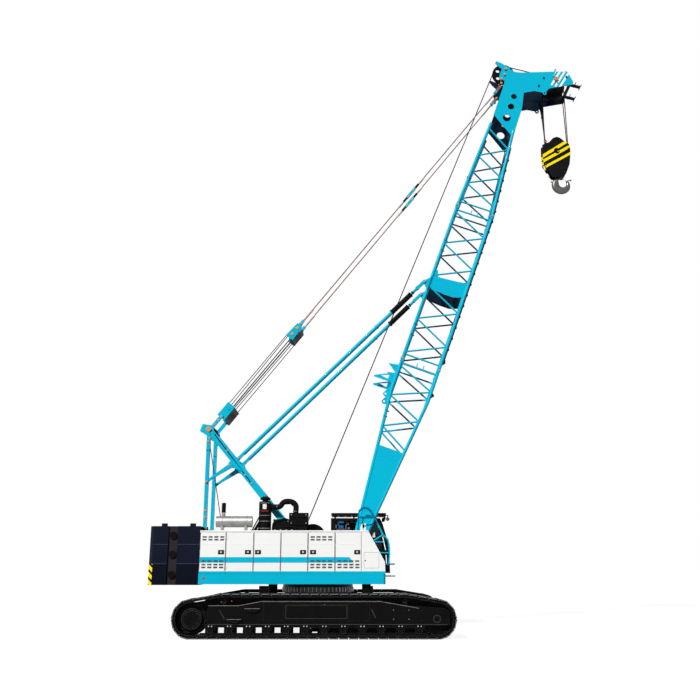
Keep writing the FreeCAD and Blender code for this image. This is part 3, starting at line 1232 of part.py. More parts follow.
def boom_insert():
    """Even middle section; a deep plate on each side carries the boom stops' lugs."""
    low, high = LOWER_JOINT + chord_set_back(), UPPER_JOINT - chord_set_back()
    pieces = chords(low, high)
    pieces += end_frame(low, 1.0)
    pieces += zigzag(low + FRAME_LACE, MID_PLATE[0], 4, -1.0)
    pieces += zigzag(MID_PLATE[1] - 130.0, high - FRAME_LACE, 4, -1.0, -LACE_SHIFT)
    pieces += end_frame(high, -1.0)
    pieces += joint_lugs(LOWER_JOINT, BOOM_HALF_WIDTH, 1.0, False)
    pieces += joint_lugs(UPPER_JOINT, BOOM_HALF_WIDTH, -1.0, True)
    s, t = STRUT_EYE
    s0, s1 = MID_PLATE
    edge = BOOM_HALF_DEPTH
    for side in (RIGHT, LEFT):
        web = [
            (s0, -edge), (s1 + 120.0, -edge), (s1 + 120.0, -520.0), (s1 - 120.0, -430.0),
            (s1 - 60.0, 250.0), (s1, edge),
            (s0, edge), (s0 - 130.0, 300.0), (s0 - 130.0, -60.0), (s0 - 90.0, -480.0),
        ]
        pieces.append(boom_plate(web, side * (BOOM_HALF_WIDTH - 15.0), side * (BOOM_HALF_WIDTH + 15.0)))
        y0, y1 = side * (STRUT_Y - STRUT_LUG / 2.0), side * (STRUT_Y + STRUT_LUG / 2.0)
        lug = [(s, t - 50.0), (s + 250.0, -edge), (s - 250.0, -edge)]
        pieces.append(boom_plate(lug, y0, y1))
        pieces.append(disc(*boom_xz(s, t), 60.0, y0, y1))
    return fuse(pieces)


def boom_eye(root, tip, radius, y0, y1):
    """A tapered lug from two root points to a drilled round end, in the boom's plane."""
    x, z = boom_xz(*tip)
    lug = fuse([boom_plate([root[0], tip, root[1]], y0, y1), disc(x, z, radius, y0, y1)])
    return lug.cut(disc(x, z, radius * 0.45, min(y0, y1) - 1.0, max(y0, y1) + 1.0))


def head_fittings(side):
    """Eyes along the head plate's edges and a spool on an arm ahead of its front tie."""
    y0, y1 = side * (HEAD_PLATE_Y - HEAD_PLATE_THICKNESS), side * HEAD_PLATE_Y
    pieces = [
        boom_eye(((19420.0, 1040.0), (19480.0, 1250.0)), (19580.0, 1110.0), 42.0, y0, y1),
        boom_eye(((19560.0, 1400.0), (19500.0, 1600.0)), (19640.0, 1480.0), 42.0, y0, y1),
        boom_eye(((18440.0, 560.0), (18760.0, 1120.0)), (18500.0, 1000.0), 75.0, y0, y1),
    ]
    y = side * HEAD_SPOOL_Y
    near, far = HEAD_SPOOL
    tie_s, tie_t = HEAD_TIES[2]
    pieces.append(rod(boom_point(tie_s, tie_t, y), boom_point(far[0], far[1], y),
                      HEAD_SPOOL_RADIUS * 0.5))
    for s, t in (near, far):
        pieces.append(rod(boom_point(s, t, y), boom_point(s - 4.0, t + 26.0, y), HEAD_SPOOL_RADIUS))
    return pieces


def boom_head():
    """Tapered lacing, then two plates that carry the guide sheave and the tip sheaves."""
    low = UPPER_JOINT + chord_set_back()
    pieces = chords(low, HEAD_FRONT_S + 300.0)
    pieces += end_frame(low, 1.0)
    pieces += zigzag(low + FRAME_LACE + 110.0, HEAD_FRONT_S + 60.0, 5, 1.0)
    pieces += joint_lugs(UPPER_JOINT, BOOM_HALF_WIDTH, 1.0, False)
    web = [
        (16986.0, -521.0), (18356.0, -537.0), (18485.0, -565.0), (18490.0, -614.0), (18433.0, -709.0),
        (18542.0, -791.0),
        (18739.0, -824.0), (18912.0, -797.0), (18992.0, -963.0), (19100.0, -1118.0),
        (19182.0, -1111.0), (19165.0, -876.0),
        (19099.0, -694.0), (19110.0, -576.0), (19024.0, -490.0), (18978.0, -295.0),
        (19039.0, -55.0), (19477.0, 1031.0), (19665.0, 1547.0),
        (19311.0, 1889.0), (19200.0, 1876.0), (18241.0, 267.0), (17549.0, 400.0), (16318.0, 430.0),
    ]
    windows = ((17961.0, -35.0, 110.0), (17522.0, -14.0, 120.0), (17019.0, -22.0, 150.0))
    for side in (RIGHT, LEFT):
        y0, y1 = side * (HEAD_PLATE_Y - HEAD_PLATE_THICKNESS), side * HEAD_PLATE_Y
        sheet = boom_plate(web, y0, y1)
        for s, t, r in windows:
            sheet = sheet.cut(disc(*boom_xz(s, t), r, side * (HEAD_PLATE_Y - 100.0),
                                   side * (HEAD_PLATE_Y + 100.0)))
        pieces.append(sheet)
        pieces += head_fittings(side)
        lug_y0, lug_y1 = side * (STAY_Y - STAY_LUG / 2.0), side * (STAY_Y + STAY_LUG / 2.0)
        s, t = STAY_PIN
        lug = [(s - 60.0, t), (s + 60.0, t), (18560.0, -220.0), (18420.0, -220.0)]
        pieces.append(boom_plate(lug, lug_y0, lug_y1))
        pieces.append(disc(*boom_xz(s, t), 60.0, lug_y0, lug_y1))
    for s, t in HEAD_TIES:
        x, z = boom_xz(s, t)
        pieces.append(rod(Vector(x, -HEAD_PLATE_Y + 5.0, z), Vector(x, HEAD_PLATE_Y - 5.0, z), 60.0))
    for axle in (TIP_AXLE, GUIDE_SHEAVE):
        x, z = boom_xz(*axle)
        pieces.append(rod(Vector(x, -HEAD_PLATE_Y, z), Vector(x, HEAD_PLATE_Y, z), HEAD_AXLE_RADIUS))
    return fuse(pieces)


def with_bore(shape, axle, radius):
    x, z = boom_xz(*axle)
    return shape.cut(disc(x, z, radius, -HEAD_PLATE_Y - 1.0, HEAD_PLATE_Y + 1.0))


def head_sheaves():
    """The guide sheave, with round holes in its web, beside the near plate."""
    x, z = boom_xz(*GUIDE_SHEAVE)
    wheel = sheave(x, z, GUIDE_SHEAVE_RADIUS, GUIDE_SHEAVE_Y, SHEAVE_WIDTH)
    count, ring, hole = GUIDE_HOLES
    for i in range(count):
        angle = 2.0 * math.pi * i / count
        wheel = wheel.cut(disc(x + ring * math.cos(angle), z + ring * math.sin(angle), hole,
                               -HEAD_PLATE_Y, 0.0))
    return with_bore(wheel, GUIDE_SHEAVE, HEAD_AXLE_RADIUS + SEAT_GAP)


def fall_places():
    """Y places of the hoist rope's falls, one pair of sheaves."""
    return (-FALL_Y, FALL_Y)


def tip_sheaves():
    x, z = boom_xz(*TIP_AXLE)
    bore = HEAD_AXLE_RADIUS + PIN_FIT
    wheels = [with_bore(sheave(x, z, TIP_SHEAVE_RADIUS, y, SHEAVE_WIDTH), TIP_AXLE,
                        bore) for y in fall_places()]
    hub = tube(Vector(x, -FALL_Y, z), Vector(x, FALL_Y, z), 90.0, bore)
    return fuse(wheels + [hub])


def hoist_falls():
    x, z = boom_xz(*TIP_AXLE)
    falls = []
    lead = TIP_SHEAVE_RADIUS - GROOVE_DEPTH + ROPE_RADIUS + SEAT_GAP
    for dx in (-lead, lead):
        for y in fall_places():
            falls.append(rod(Vector(x + dx, y, HOOK_SHEAVE_Z), Vector(x + dx, y, z), ROPE_RADIUS))
    return group(falls)


# ---------------------------------------------------------------- hook block
def hook_x():
    return boom_xz(*TIP_AXLE)[0]


def hook_block():
    """Two cheek plates with side straps, a pin for the sheaves and a crosshead for the hook."""
    x, z = hook_x(), HOOK_SHEAVE_Z
    outline = [
        (-553, 240), (-564, -100), (-542, -566), (-479, -677), (-353, -920), (-230, -1080),
        (170, -1080), (269, -920),
        (415, -544), (475, -120), (479, 216), (395, 330), (278, 385), (125, 532), (6, 577),
        (-140, 521), (-293, 351),
    ]
    slots = (
        [(-500, -470), (-470, -480), (-440, -600), (-460, -640), (-505, -570)],
        [(-400, -790), (-370, -800), (-290, -945), (-325, -955), (-395, -860)],
        [(285, -715), (300, -760), (225, -880), (195, -865)],
    )
    pieces = []
    for side in (RIGHT, LEFT):
        y0, y1 = side * HOOK_PLATE_Y, side * (HOOK_PLATE_Y + HOOK_PLATE_THICKNESS)
        cheek = plate([(x + a, z + b) for a, b in outline], y0, y1)
        for slot in slots:
            cheek = cheek.cut(plate([(x + a, z + b) for a, b in slot], y0 - side, y1 + side))
        pieces.append(cheek)
    pieces.append(disc(x, z, 60.0, -HOOK_PLATE_Y - 70.0, HOOK_PLATE_Y + 70.0))
    low, high = z + CROSSHEAD[0], z + CROSSHEAD[1]
    pieces.append(box(x - 130.0, x + 130.0, -HOOK_PLATE_Y - 10.0, HOOK_PLATE_Y + 10.0, low, high))
    body = fuse(pieces)
    return body.cut(rod(Vector(x, 0, low - 50.0), Vector(x, 0, high + 50.0), HOOK_SHANK_RADIUS + PIN_FIT))


def hook_sheaves():
    x, z = hook_x(), HOOK_SHEAVE_Z
    wheels = [sheave(x, z, HOOK_SHEAVE_RADIUS, y, SHEAVE_WIDTH) for y in fall_places()]
    return group([w.cut(disc(x, z, 60.0 + SEAT_GAP, -HOOK_PLATE_Y, HOOK_PLATE_Y)) for w in wheels])


def hook():
    """Single hook: round bowl, open mouth with a raised point, shank and nut above the crosshead."""
    x, z = hook_x(), HOOK_EYE_Z
    half = HOOK_THICKNESS / 2.0
    neck = [(-262, 90), (-325, 154), (-200, 220), (-100, 262), (100, 262), (120, 150), (60, 60)]
    point = [(380, 90), (473, 188), (440, 225), (362, 262), (300, 215), (270, 120), (330, 60)]
    mouth = [(137, 90), (262, 90), (279, 154), (314, 221), (352, 264), (430, 500), (120, 500),
             (122, 262), (62, 190)]
    body = fuse([
        disc(x + 70.0, z, HOOK_BOWL_RADIUS, -half, half),
        plate([(x + a, z + b) for a, b in neck], -half, half),
    ])
    body = body.cut(disc(x + HOOK_THROAT[0], z + HOOK_THROAT[1], HOOK_THROAT_RADIUS, -half - 1.0,
                         half + 1.0))
    body = body.cut(plate([(x + a, z + b) for a, b in mouth], -half - 1.0, half + 1.0))
    body = body.cut(box(x - 400.0, x + 430.0, -half - 1.0, half + 1.0, z + 262.0, z + 500.0))
    tip = plate([(x + a, z + b) for a, b in point], -half + 15.0, half - 15.0)
    seat = HOOK_SHEAVE_Z + CROSSHEAD[1] + SEAT_GAP
    shank = rod(Vector(x, 0, z + 150.0), Vector(x, 0, seat + 80.0), HOOK_SHANK_RADIUS)
    nut = rod(Vector(x, 0, seat), Vector(x, 0, seat + 70.0), HOOK_PLATE_Y - 12.0)
    return fuse([body, tip, shank, nut])


# ---------------------------------------------------------------- boom stops
def strut_xz(distance, offset=0.0):
    return line_point(STRUT_FOOT, boom_xz(*STRUT_EYE), distance, offset)


def strut_point(distance, y):
    x, z = strut_xz(distance)
    return Vector(x, y, z)


def strut_tubes():
    pieces = []
    for y in (-STRUT_Y, STRUT_Y):
        body = fuse([
            rod(strut_point(220.0, y), strut_point(STRUT_TUBE_LENGTH, y), STRUT_TUBE_RADIUS),
            disc(*STRUT_FOOT, STRUT_EYE_RADIUS, y - STRUT_EYE_HALF, y + STRUT_EYE_HALF),
            bar(STRUT_FOOT, strut_xz(240.0), 2.0 * STRUT_EYE_RADIUS, y - STRUT_EYE_HALF,
                y + STRUT_EYE_HALF),
        ])
        bore = rod(strut_point(400.0, y), strut_point(STRUT_TUBE_LENGTH + 1.0, y),
                   STRUT_ROD_RADIUS + SEAT_GAP)
        pin_hole = disc(*STRUT_FOOT, STRUT_PIN_RADIUS + PIN_FIT, y - STRUT_EYE_HALF - 1.0,
                        y + STRUT_EYE_HALF + 1.0)
        pieces.append(body.cut(bore).cut(pin_hole))
    return group(pieces)


def strut_rods():
    """Rod inside the tube, a buffer sleeve over the tube's end and a fork at the boom's lug."""
    reach = math.dist(STRUT_FOOT, boom_xz(*STRUT_EYE))
    neck = reach - 330.0
    sleeve_end = STRUT_TUBE_LENGTH + STRUT_SLEEVE_LENGTH
    pieces = []
    for side in (RIGHT, LEFT):
        y = side * STRUT_Y
        sleeve = tube(strut_point(STRUT_TUBE_LENGTH - 20.0, y), strut_point(sleeve_end, y),
                      STRUT_SLEEVE_RADIUS, STRUT_TUBE_RADIUS + 5.0)
        fork = [
            sleeve,
            rod(strut_point(STRUT_TUBE_LENGTH - STRUT_ROD_LAP, y), strut_point(neck, y),
                STRUT_ROD_RADIUS),
            rod(strut_point(sleeve_end - 30.0, y), strut_point(sleeve_end, y), STRUT_SLEEVE_RADIUS),
            bar(strut_xz(neck - 60.0), strut_xz(neck + 40.0), 120.0, y - 59.5, y + 59.5),
        ]
        inner = STRUT_LUG / 2.0 + 0.5
        for low in (y - inner - STRUT_FORK, y + inner):
            fork.append(bar(strut_xz(neck), strut_xz(reach), 100.0, low, low + STRUT_FORK))
            fork.append(disc(*strut_xz(reach), 55.0, low, low + STRUT_FORK))
        pieces.append(fuse(fork))
    return group(pieces)


# ---------------------------------------------------------------- boom hoist tackle and stays
def tackle_xz(distance, offset=0.0):
    return line_point(GANTRY_TOP, boom_xz(*STAY_PIN), distance, offset)


def tackle_point(distance, offset, y):
    x, z = tackle_xz(distance, offset)
    return Vector(x, y, z)


def luffing_lanes():
    """Y places of the sheaves and rope falls between the two spreaders."""
    return [(i - (LUFF_LANES - 1) / 2.0) * LUFF_LANE_PITCH for i in range(LUFF_LANES)]


def tackle_head():
    """Lower spreader: two links from the gantry's top pin carry a box of sheaves."""
    start, end = TACKLE_START, TACKLE_START + TACKLE_LENGTH
    pieces = []
    for side in (RIGHT, LEFT):
        link_y = side * TACKLE_LINK_Y
        pieces.append(bar(tackle_xz(0.0), tackle_xz(start + 60.0), 130.0, link_y, link_y + side * 28.0))
        pieces.append(disc(*GANTRY_TOP, 90.0, link_y, link_y + side * 28.0))
        cheek = [tackle_xz(start, -TACKLE_DEPTH / 2.0), tackle_xz(end, -TACKLE_DEPTH / 2.0),
                 tackle_xz(end, TACKLE_DEPTH / 2.0), tackle_xz(start, TACKLE_DEPTH / 2.0)]
        pieces.append(plate(cheek, side * (TACKLE_HALF_WIDTH - 30.0), side * TACKLE_HALF_WIDTH))
    x, z = tackle_xz(end - 160.0)
    pieces.append(rod(Vector(x, -TACKLE_HALF_WIDTH, z), Vector(x, TACKLE_HALF_WIDTH, z), 45.0))
    x, z = tackle_xz(start + 60.0)
    link_end = TACKLE_LINK_Y + 28.0
    pieces.append(rod(Vector(x, -link_end, z), Vector(x, link_end, z), 45.0))
    x, z = tackle_xz(end - 160.0)
    for y in luffing_lanes():
        pieces.append(sheave(x, z, TACKLE_SHEAVE_RADIUS, y, LUFF_SHEAVE_WIDTH))
    body = fuse(pieces)
    return body.cut(disc(*GANTRY_TOP, 50.0 + PIN_FIT, -SIDE_Y, SIDE_Y))


def bridle():
    """Upper spreader: the sheave box that the stays pull on."""
    end, start = BRIDLE_PIN, BRIDLE_PIN - BRIDLE_LENGTH
    pieces = []
    for side in (RIGHT, LEFT):
        cheek = [tackle_xz(start, -150.0), tackle_xz(end - 60.0, -110.0), tackle_xz(end - 60.0, 110.0),
                 tackle_xz(start, 150.0)]
        pieces.append(plate(cheek, side * (BRIDLE_HALF_WIDTH - 30.0), side * BRIDLE_HALF_WIDTH))
        ear = side * STAY_Y
        pieces.append(bar(tackle_xz(end - 260.0), tackle_xz(end), 120.0, ear - 40.0, ear - 15.0))
        pieces.append(bar(tackle_xz(end - 260.0), tackle_xz(end), 120.0, ear + 15.0, ear + 40.0))
        x, z = tackle_xz(end)
        pieces.append(disc(x, z, 28.0, ear - 50.0, ear + 50.0))
        pieces.append(disc(x, z, 60.0, ear - 40.0, ear - 15.0))
        pieces.append(disc(x, z, 60.0, ear + 15.0, ear + 40.0))
    x, z = tackle_xz(start + 160.0)
    pieces.append(rod(Vector(x, -BRIDLE_HALF_WIDTH, z), Vector(x, BRIDLE_HALF_WIDTH, z), 45.0))
    for y in luffing_lanes():
        pieces.append(sheave(x, z, TACKLE_SHEAVE_RADIUS, y, LUFF_SHEAVE_WIDTH))
    x, z = tackle_xz(end - 200.0)
    pieces.append(rod(Vector(x, -BRIDLE_HALF_WIDTH - 5.0, z), Vector(x, BRIDLE_HALF_WIDTH + 5.0, z),
                      40.0))
    return fuse(pieces)


def stays():
    """Two pendants from the bridle to the boom head, each of two lengths with a link between."""
    reach = math.dist(GANTRY_TOP, boom_xz(*STAY_PIN))
    link_at = 11000.0
    pieces = []
    for side in (RIGHT, LEFT):
        y = side * STAY_Y
        line = [
            rod(tackle_point(BRIDLE_PIN + 100.0, 0.0, y), tackle_point(link_at, 0.0, y), STAY_RADIUS),
            rod(tackle_point(link_at + 300.0, 0.0, y), tackle_point(reach - 280.0, 0.0, y), STAY_RADIUS),
            bar(tackle_xz(BRIDLE_PIN), tackle_xz(BRIDLE_PIN + 160.0), 90.0, y - 14.0, y + 14.0),
            disc(*tackle_xz(BRIDLE_PIN), 55.0, y - 14.0, y + 14.0),
            bar(tackle_xz(link_at - 40.0), tackle_xz(link_at + 340.0), 90.0, y - 30.0, y + 30.0),
            bar(tackle_xz(reach - 330.0), tackle_xz(reach - 230.0), 100.0, y - 60.0, y + 60.0),
        ]
        inner = STAY_LUG / 2.0 + 0.5
        for low in (y - inner - 25.0, y + inner):
            line.append(bar(tackle_xz(reach - 300.0), tackle_xz(reach), 100.0, low, low + 25.0))
            line.append(disc(*tackle_xz(reach), 55.0, low, low + 25.0))
        body = fuse(line)
        pieces.append(body.cut(disc(*tackle_xz(BRIDLE_PIN), 28.0 + SEAT_GAP, y - 60.0, y + 60.0)))
    return group(pieces)


def luffing_falls():
    start, end = TACKLE_START + TACKLE_LENGTH - 160.0, BRIDLE_PIN - BRIDLE_LENGTH + 160.0
    falls = []
    lead = TACKLE_SHEAVE_RADIUS - GROOVE_DEPTH + LUFF_ROPE + SEAT_GAP
    for offset in (-lead, lead):
        for y in luffing_lanes():
            falls.append(rod(tackle_point(start, offset, y), tackle_point(end, offset, y), LUFF_ROPE))
    return group(falls)


# ---------------------------------------------------------------- build
def build():
    save("carbody", carbody())
    save("slew_ring", slew_ring())
    for side, word in ((RIGHT, "right"), (LEFT, "left")):
        save("track_" + word, track(side))
        save("side_frame_" + word, side_frame(side))
        save("bottom_rollers_" + word, group(bottom_rollers(side)))
    save("sprockets", group([sprocket(RIGHT), sprocket(LEFT)]))
    save("idlers", group([idler(RIGHT), idler(LEFT)]))
    save("carrier_rollers", group(carrier_rollers(RIGHT) + carrier_rollers(LEFT)))
    save("platform", platform())
    levels = [WEIGHT_BOTTOM_Z] + WEIGHT_JOINTS_Z + [WEIGHT_TOP_Z]
    for i, word in enumerate(("lower", "middle", "upper")):
        save("counterweight_" + word, counterweight(levels[i], levels[i + 1], i == 2))
    save("house_right", house_right())
    save("house_left", house_left())
    for i in range(len(RIGHT_SEAMS) - 1):
        save("door_right_%d" % (i + 1), house_door(RIGHT, RIGHT_SEAMS, i))
    for i in range(len(left_seams()) - 1):
        save("door_left_%d" % (i + 1), house_door(LEFT, left_seams(), i))
    save("engine", engine())
    save("exhaust_silencer", exhaust_silencer())
    save("air_cleaner", air_cleaner())
    save("hydraulic_unit", hydraulic_unit())
    save("winch_frames", winch_frames())
    save("hoist_drum", drum(DRUM_CENTRE, DRUM_FLANGE_RADIUS, DRUM_ROPE_RADIUS, DRUM_HALF_WIDTH))
    save("luffing_drum", drum(LUFF_DRUM_CENTRE, LUFF_FLANGE_RADIUS, LUFF_ROPE_RADIUS, DRUM_HALF_WIDTH))
    save("front_ladder", front_ladder())
    save("cab_shell", cab_shell())
    save("cab_glass", cab_glass())
    save("cab_door", cab_door())
    save("cab_seat", cab_seat())
    save("cab_roof_guard", cab_roof_guard())
    save("gantry_mast", gantry_mast())
    save("gantry_legs", gantry_legs())
    save("gantry_braces", gantry_braces())
    save("gantry_sheaves", gantry_sheaves())
    save("boom_foot", boom_foot())
    save("boom_insert", boom_insert())
    save("boom_head", boom_head())
    save("head_sheaves", head_sheaves())
    save("tip_sheaves", tip_sheaves())
    save("hoist_falls", hoist_falls())
    save("hook_block", hook_block())
    save("hook_sheaves", hook_sheaves())
    save("hook", hook())
    save("strut_tubes", strut_tubes())
    save("strut_rods", strut_rods())
    save("tackle_head", tackle_head())
    save("luffing_falls", luffing_falls())
    save("bridle", bridle())
    save("stays", stays())


build()
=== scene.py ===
# %% [markdown]
# # A crawler machine for dynamic compaction
# The machine lifts a heavy tamper on its hook and lets it fall, again and again, to pack the ground.
# Its construction comes from the CAD frame: every solid is already at its real size and place.
# This lesson gives those solids their finish and adds what a CAD model leaves out, such as ropes,
# latches, bolts, lamps and stripes. Everything is in metres, with X ahead, Y to the left and Z up.

# %% Load the frame
import math

import bmesh
import bpy
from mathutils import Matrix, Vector


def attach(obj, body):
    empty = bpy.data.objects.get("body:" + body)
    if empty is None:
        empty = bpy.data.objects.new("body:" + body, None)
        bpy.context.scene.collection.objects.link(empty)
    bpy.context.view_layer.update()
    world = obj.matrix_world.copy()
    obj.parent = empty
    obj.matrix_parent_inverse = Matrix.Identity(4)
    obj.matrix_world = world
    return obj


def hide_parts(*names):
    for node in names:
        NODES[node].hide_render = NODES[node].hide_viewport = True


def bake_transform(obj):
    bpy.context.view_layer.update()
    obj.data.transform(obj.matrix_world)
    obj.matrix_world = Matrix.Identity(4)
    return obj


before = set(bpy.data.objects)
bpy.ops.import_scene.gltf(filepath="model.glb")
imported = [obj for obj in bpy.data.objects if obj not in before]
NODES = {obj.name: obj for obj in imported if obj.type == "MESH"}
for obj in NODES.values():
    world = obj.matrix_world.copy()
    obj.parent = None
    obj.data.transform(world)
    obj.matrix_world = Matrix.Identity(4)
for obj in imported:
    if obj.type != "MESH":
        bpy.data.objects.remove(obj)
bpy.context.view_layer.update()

# %% [markdown]
# ## Camera
# A machine of this height is shown whole from a low stand, with the camera tipped up a little. The lens
# then leans the tall boom inwards, which is how such a machine looks to a person standing beside it.
# Shifting the lens instead would keep the boom's lines upright, but it would look like a drawing.

# %% Camera
CAMERA_PLACE = (1.04, -27.58, 1.949)
CAMERA_PITCH = 15.05
CAMERA_SENSOR, CAMERA_LENS = 36.0, 41.9

camera = bpy.data.objects.new("camera", bpy.data.cameras.new("camera"))
bpy.context.scene.collection.objects.link(camera)
camera.location = CAMERA_PLACE
camera.rotation_euler = (math.radians(90.0 + CAMERA_PITCH), 0.0, 0.0)
camera.data.sensor_width = CAMERA_SENSOR
camera.data.lens = CAMERA_LENS
bpy.context.scene.camera = camera
print("camera at", CAMERA_PLACE, "lens", CAMERA_LENS, "mm")

# %% [markdown]
# ## Light and floor
# A low sky lights every side, and one sun from behind the tail, above the viewer's shoulder, shapes the
# tubes, so that the faces that look ahead or down fall into shade. The backdrop and the floor are white
# only to the camera, to mirrors and to glass: with Light Path the object isn't lit any stronger by them.

# %% White to the lens
WHITE_RAYS = ("Is Camera Ray", "Is Glossy Ray", "Is Transmission Ray")


def white_to_lens(tree, to_objects, to_lens):
    """A strength that is one value to camera, glossy and transmitted rays and another to the rest."""
    path = tree.nodes.new("ShaderNodeLightPath")
    last = path.outputs[WHITE_RAYS[0]]
    for ray in WHITE_RAYS[1:]:
        either = tree.nodes.new("ShaderNodeMath")
        either.operation = "MAXIMUM"
        tree.links.new(last, either.inputs[0])
        tree.links.new(path.outputs[ray], either.inputs[1])
        last = either.outputs[0]
    span = tree.nodes.new("ShaderNodeMapRange")
    span.inputs["To Min"].default_value = to_objects
    span.inputs["To Max"].default_value = to_lens
    tree.links.new(last, span.inputs["Value"])
    return span.outputs["Result"]


print("rays that see white:", WHITE_RAYS)

# %% [markdown]
# ### Sky and sun
# An even sky alone would leave the lattice flat, and a sun alone would leave its shaded side black. A
# dim sky with one slightly soft sun keeps both the form of the tubes and the colour of the paint.

# %% Sky and sun
SKY_STRENGTH = 0.20
SUN_STRENGTH = 4.0
SUN_FROM = (-0.38, -0.68, 0.63)
SUN_WIDTH = math.radians(4.0)
PURE_WHITE = (1.0, 1.0, 1.0, 1.0)

world = bpy.data.worlds.new("studio")
bpy.context.scene.world = world
world.use_nodes = True
background = world.node_tree.nodes["Background"]
background.inputs["Color"].default_value = PURE_WHITE
sky_light = white_to_lens(world.node_tree, SKY_STRENGTH, 1.0)
world.node_tree.links.new(sky_light, background.inputs["Strength"])

sun = bpy.data.objects.new("sun", bpy.data.lights.new("sun", "SUN"))
bpy.context.scene.collection.objects.link(sun)
sun.data.energy = SUN_STRENGTH
sun.data.angle = SUN_WIDTH
sun.rotation_euler = Vector(SUN_FROM).to_track_quat("Z", "Y").to_euler()
print("sun", SUN_STRENGTH, "sky", SKY_STRENGTH)

# %% [markdown]
# ### Floor
# One wide square is the ground. It is dull, so that it only takes the shadow, and a glow of its own makes
# it as white to the camera as the sky behind it.

# %% Floor
FLOOR_HALF = 400.0
FLOOR_ALBEDO = 0.14
FLOOR_GLOW = 0.90

floor_mesh = bpy.data.meshes.new("floor")
floor_corners = [(x * FLOOR_HALF, y * FLOOR_HALF, 0.0) for x, y in ((-1, -1), (1, -1), (1, 1), (-1, 1))]
floor_mesh.from_pydata(floor_corners, [], [(0, 1, 2, 3)])
floor = bpy.data.objects.new("floor", floor_mesh)
bpy.context.scene.collection.objects.link(floor)

floor_finish = bpy.data.materials.new("floor_white")
floor_finish.use_nodes = True
floor_surface = floor_finish.node_tree.nodes["Principled BSDF"]
floor_surface.inputs["Base Color"].default_value = (FLOOR_ALBEDO, FLOOR_ALBEDO, FLOOR_ALBEDO, 1.0)
floor_surface.inputs["Roughness"].default_value = 1.0
floor_surface.inputs["Specular IOR Level"].default_value = 0.0
floor_surface.inputs["Emission Color"].default_value = PURE_WHITE
floor_light = white_to_lens(floor_finish.node_tree, 0.0, FLOOR_GLOW)
floor_finish.node_tree.links.new(floor_light, floor_surface.inputs["Emission Strength"])
floor_mesh.materials.append(floor_finish)

bpy.context.scene.view_settings.view_transform = "Standard"
print("floor", 2.0 * FLOOR_HALF, "m wide")

# %% [markdown]
# ## Shared surface effects
# Real paint is never one flat colour. Three node groups give what all finishes here share: a slow
# mottle that shifts the colour, the fine orange peel of sprayed paint, and wear that shows bare metal
# along edges. A fourth group is a stripe: it says which points lie between two parallel planes. Each is
# built once and placed in a material with that material's own values.

# %% Node group helpers


def new_group(name, inputs, outputs):
    """A shader node group with named sockets; returns it with its input and output nodes."""
    tree = bpy.data.node_groups.new(name, "ShaderNodeTree")
    for label, kind, value in inputs:
        made = tree.interface.new_socket(label, in_out="INPUT", socket_type=kind)
        made.default_value = value
    for label, kind in outputs:
        tree.interface.new_socket(label, in_out="OUTPUT", socket_type=kind)
    return tree, tree.nodes.new("NodeGroupInput"), tree.nodes.new("NodeGroupOutput")


def node(tree, kind, **settings):
    """A node with its properties set by name."""
    made = tree.nodes.new(kind)
    for key, value in settings.items():
        setattr(made, key, value)
    return made


print("node groups before any is made:", len(bpy.data.node_groups))

# %% [markdown]
# ### Mottle
# Paint fades and gathers dust in slow patches. A picture could hold them, but noise on Object coordinates
# has no seam and no end, so this group drifts any colour towards a tint by it.

# %% Mottle


def mottle_group():
    """Slow noise that drifts a colour towards a tint."""
    tree, given, made = new_group(
        "Mottle",
        [("Color", "NodeSocketColor", (1, 1, 1, 1)), ("Tint", "NodeSocketColor", (0, 0, 0, 1)),
         ("Amount", "NodeSocketFloat", 0.2), ("Scale", "NodeSocketFloat", 1.0)],
        [("Color", "NodeSocketColor"), ("Mask", "NodeSocketFloat")])
    place = node(tree, "ShaderNodeTexCoord")
    slow = node(tree, "ShaderNodeTexNoise")
    slow.inputs["Detail"].default_value = 5.0
    slow.inputs["Roughness"].default_value = 0.62
    spread = node(tree, "ShaderNodeMapRange")
    spread.inputs["From Min"].default_value = 0.35
    spread.inputs["From Max"].default_value = 0.75
    share = node(tree, "ShaderNodeMath", operation="MULTIPLY")
    mix = node(tree, "ShaderNodeMix", data_type="RGBA")
    link = tree.links.new
    link(place.outputs["Object"], slow.inputs["Vector"])
    link(given.outputs["Scale"], slow.inputs["Scale"])
    link(slow.outputs["Fac"], spread.inputs["Value"])
    link(spread.outputs["Result"], share.inputs[0])
    link(given.outputs["Amount"], share.inputs[1])
    link(share.outputs[0], mix.inputs["Factor"])
    link(given.outputs["Color"], mix.inputs["A"])
    link(given.outputs["Tint"], mix.inputs["B"])
    link(mix.outputs["Result"], made.inputs["Color"])
    link(share.outputs[0], made.inputs["Mask"])
    return tree


MOTTLE = mottle_group()
print("group", MOTTLE.name)

# %% [markdown]
# ### Orange peel
# Sprayed paint and cast iron both ripple finely. Real relief would cost millions of faces, so the
# group gives a height that each material feeds to a Bump node.

# %% Orange peel


def peel_group():
    """The fine waviness of sprayed paint or of cast iron, as a height."""
    tree, given, made = new_group(
        "Orange Peel", [("Scale", "NodeSocketFloat", 120.0)], [("Height", "NodeSocketFloat")])
    place = node(tree, "ShaderNodeTexCoord")
    fine = node(tree, "ShaderNodeTexNoise")
    fine.inputs["Detail"].default_value = 2.0
    tree.links.new(place.outputs["Object"], fine.inputs["Vector"])
    tree.links.new(given.outputs["Scale"], fine.inputs["Scale"])
    tree.links.new(fine.outputs["Fac"], made.inputs["Height"])
    return tree


PEEL = peel_group()
print("group", PEEL.name)

# %% [markdown]
# ### Edge wear
# Boots, mats and gravel rub paint off outer edges first. The Bevel node rounds the normal near an edge,
# so where it turns away from the true one there is an edge, and noise breaks the rubbed line up.

# %% Edge wear


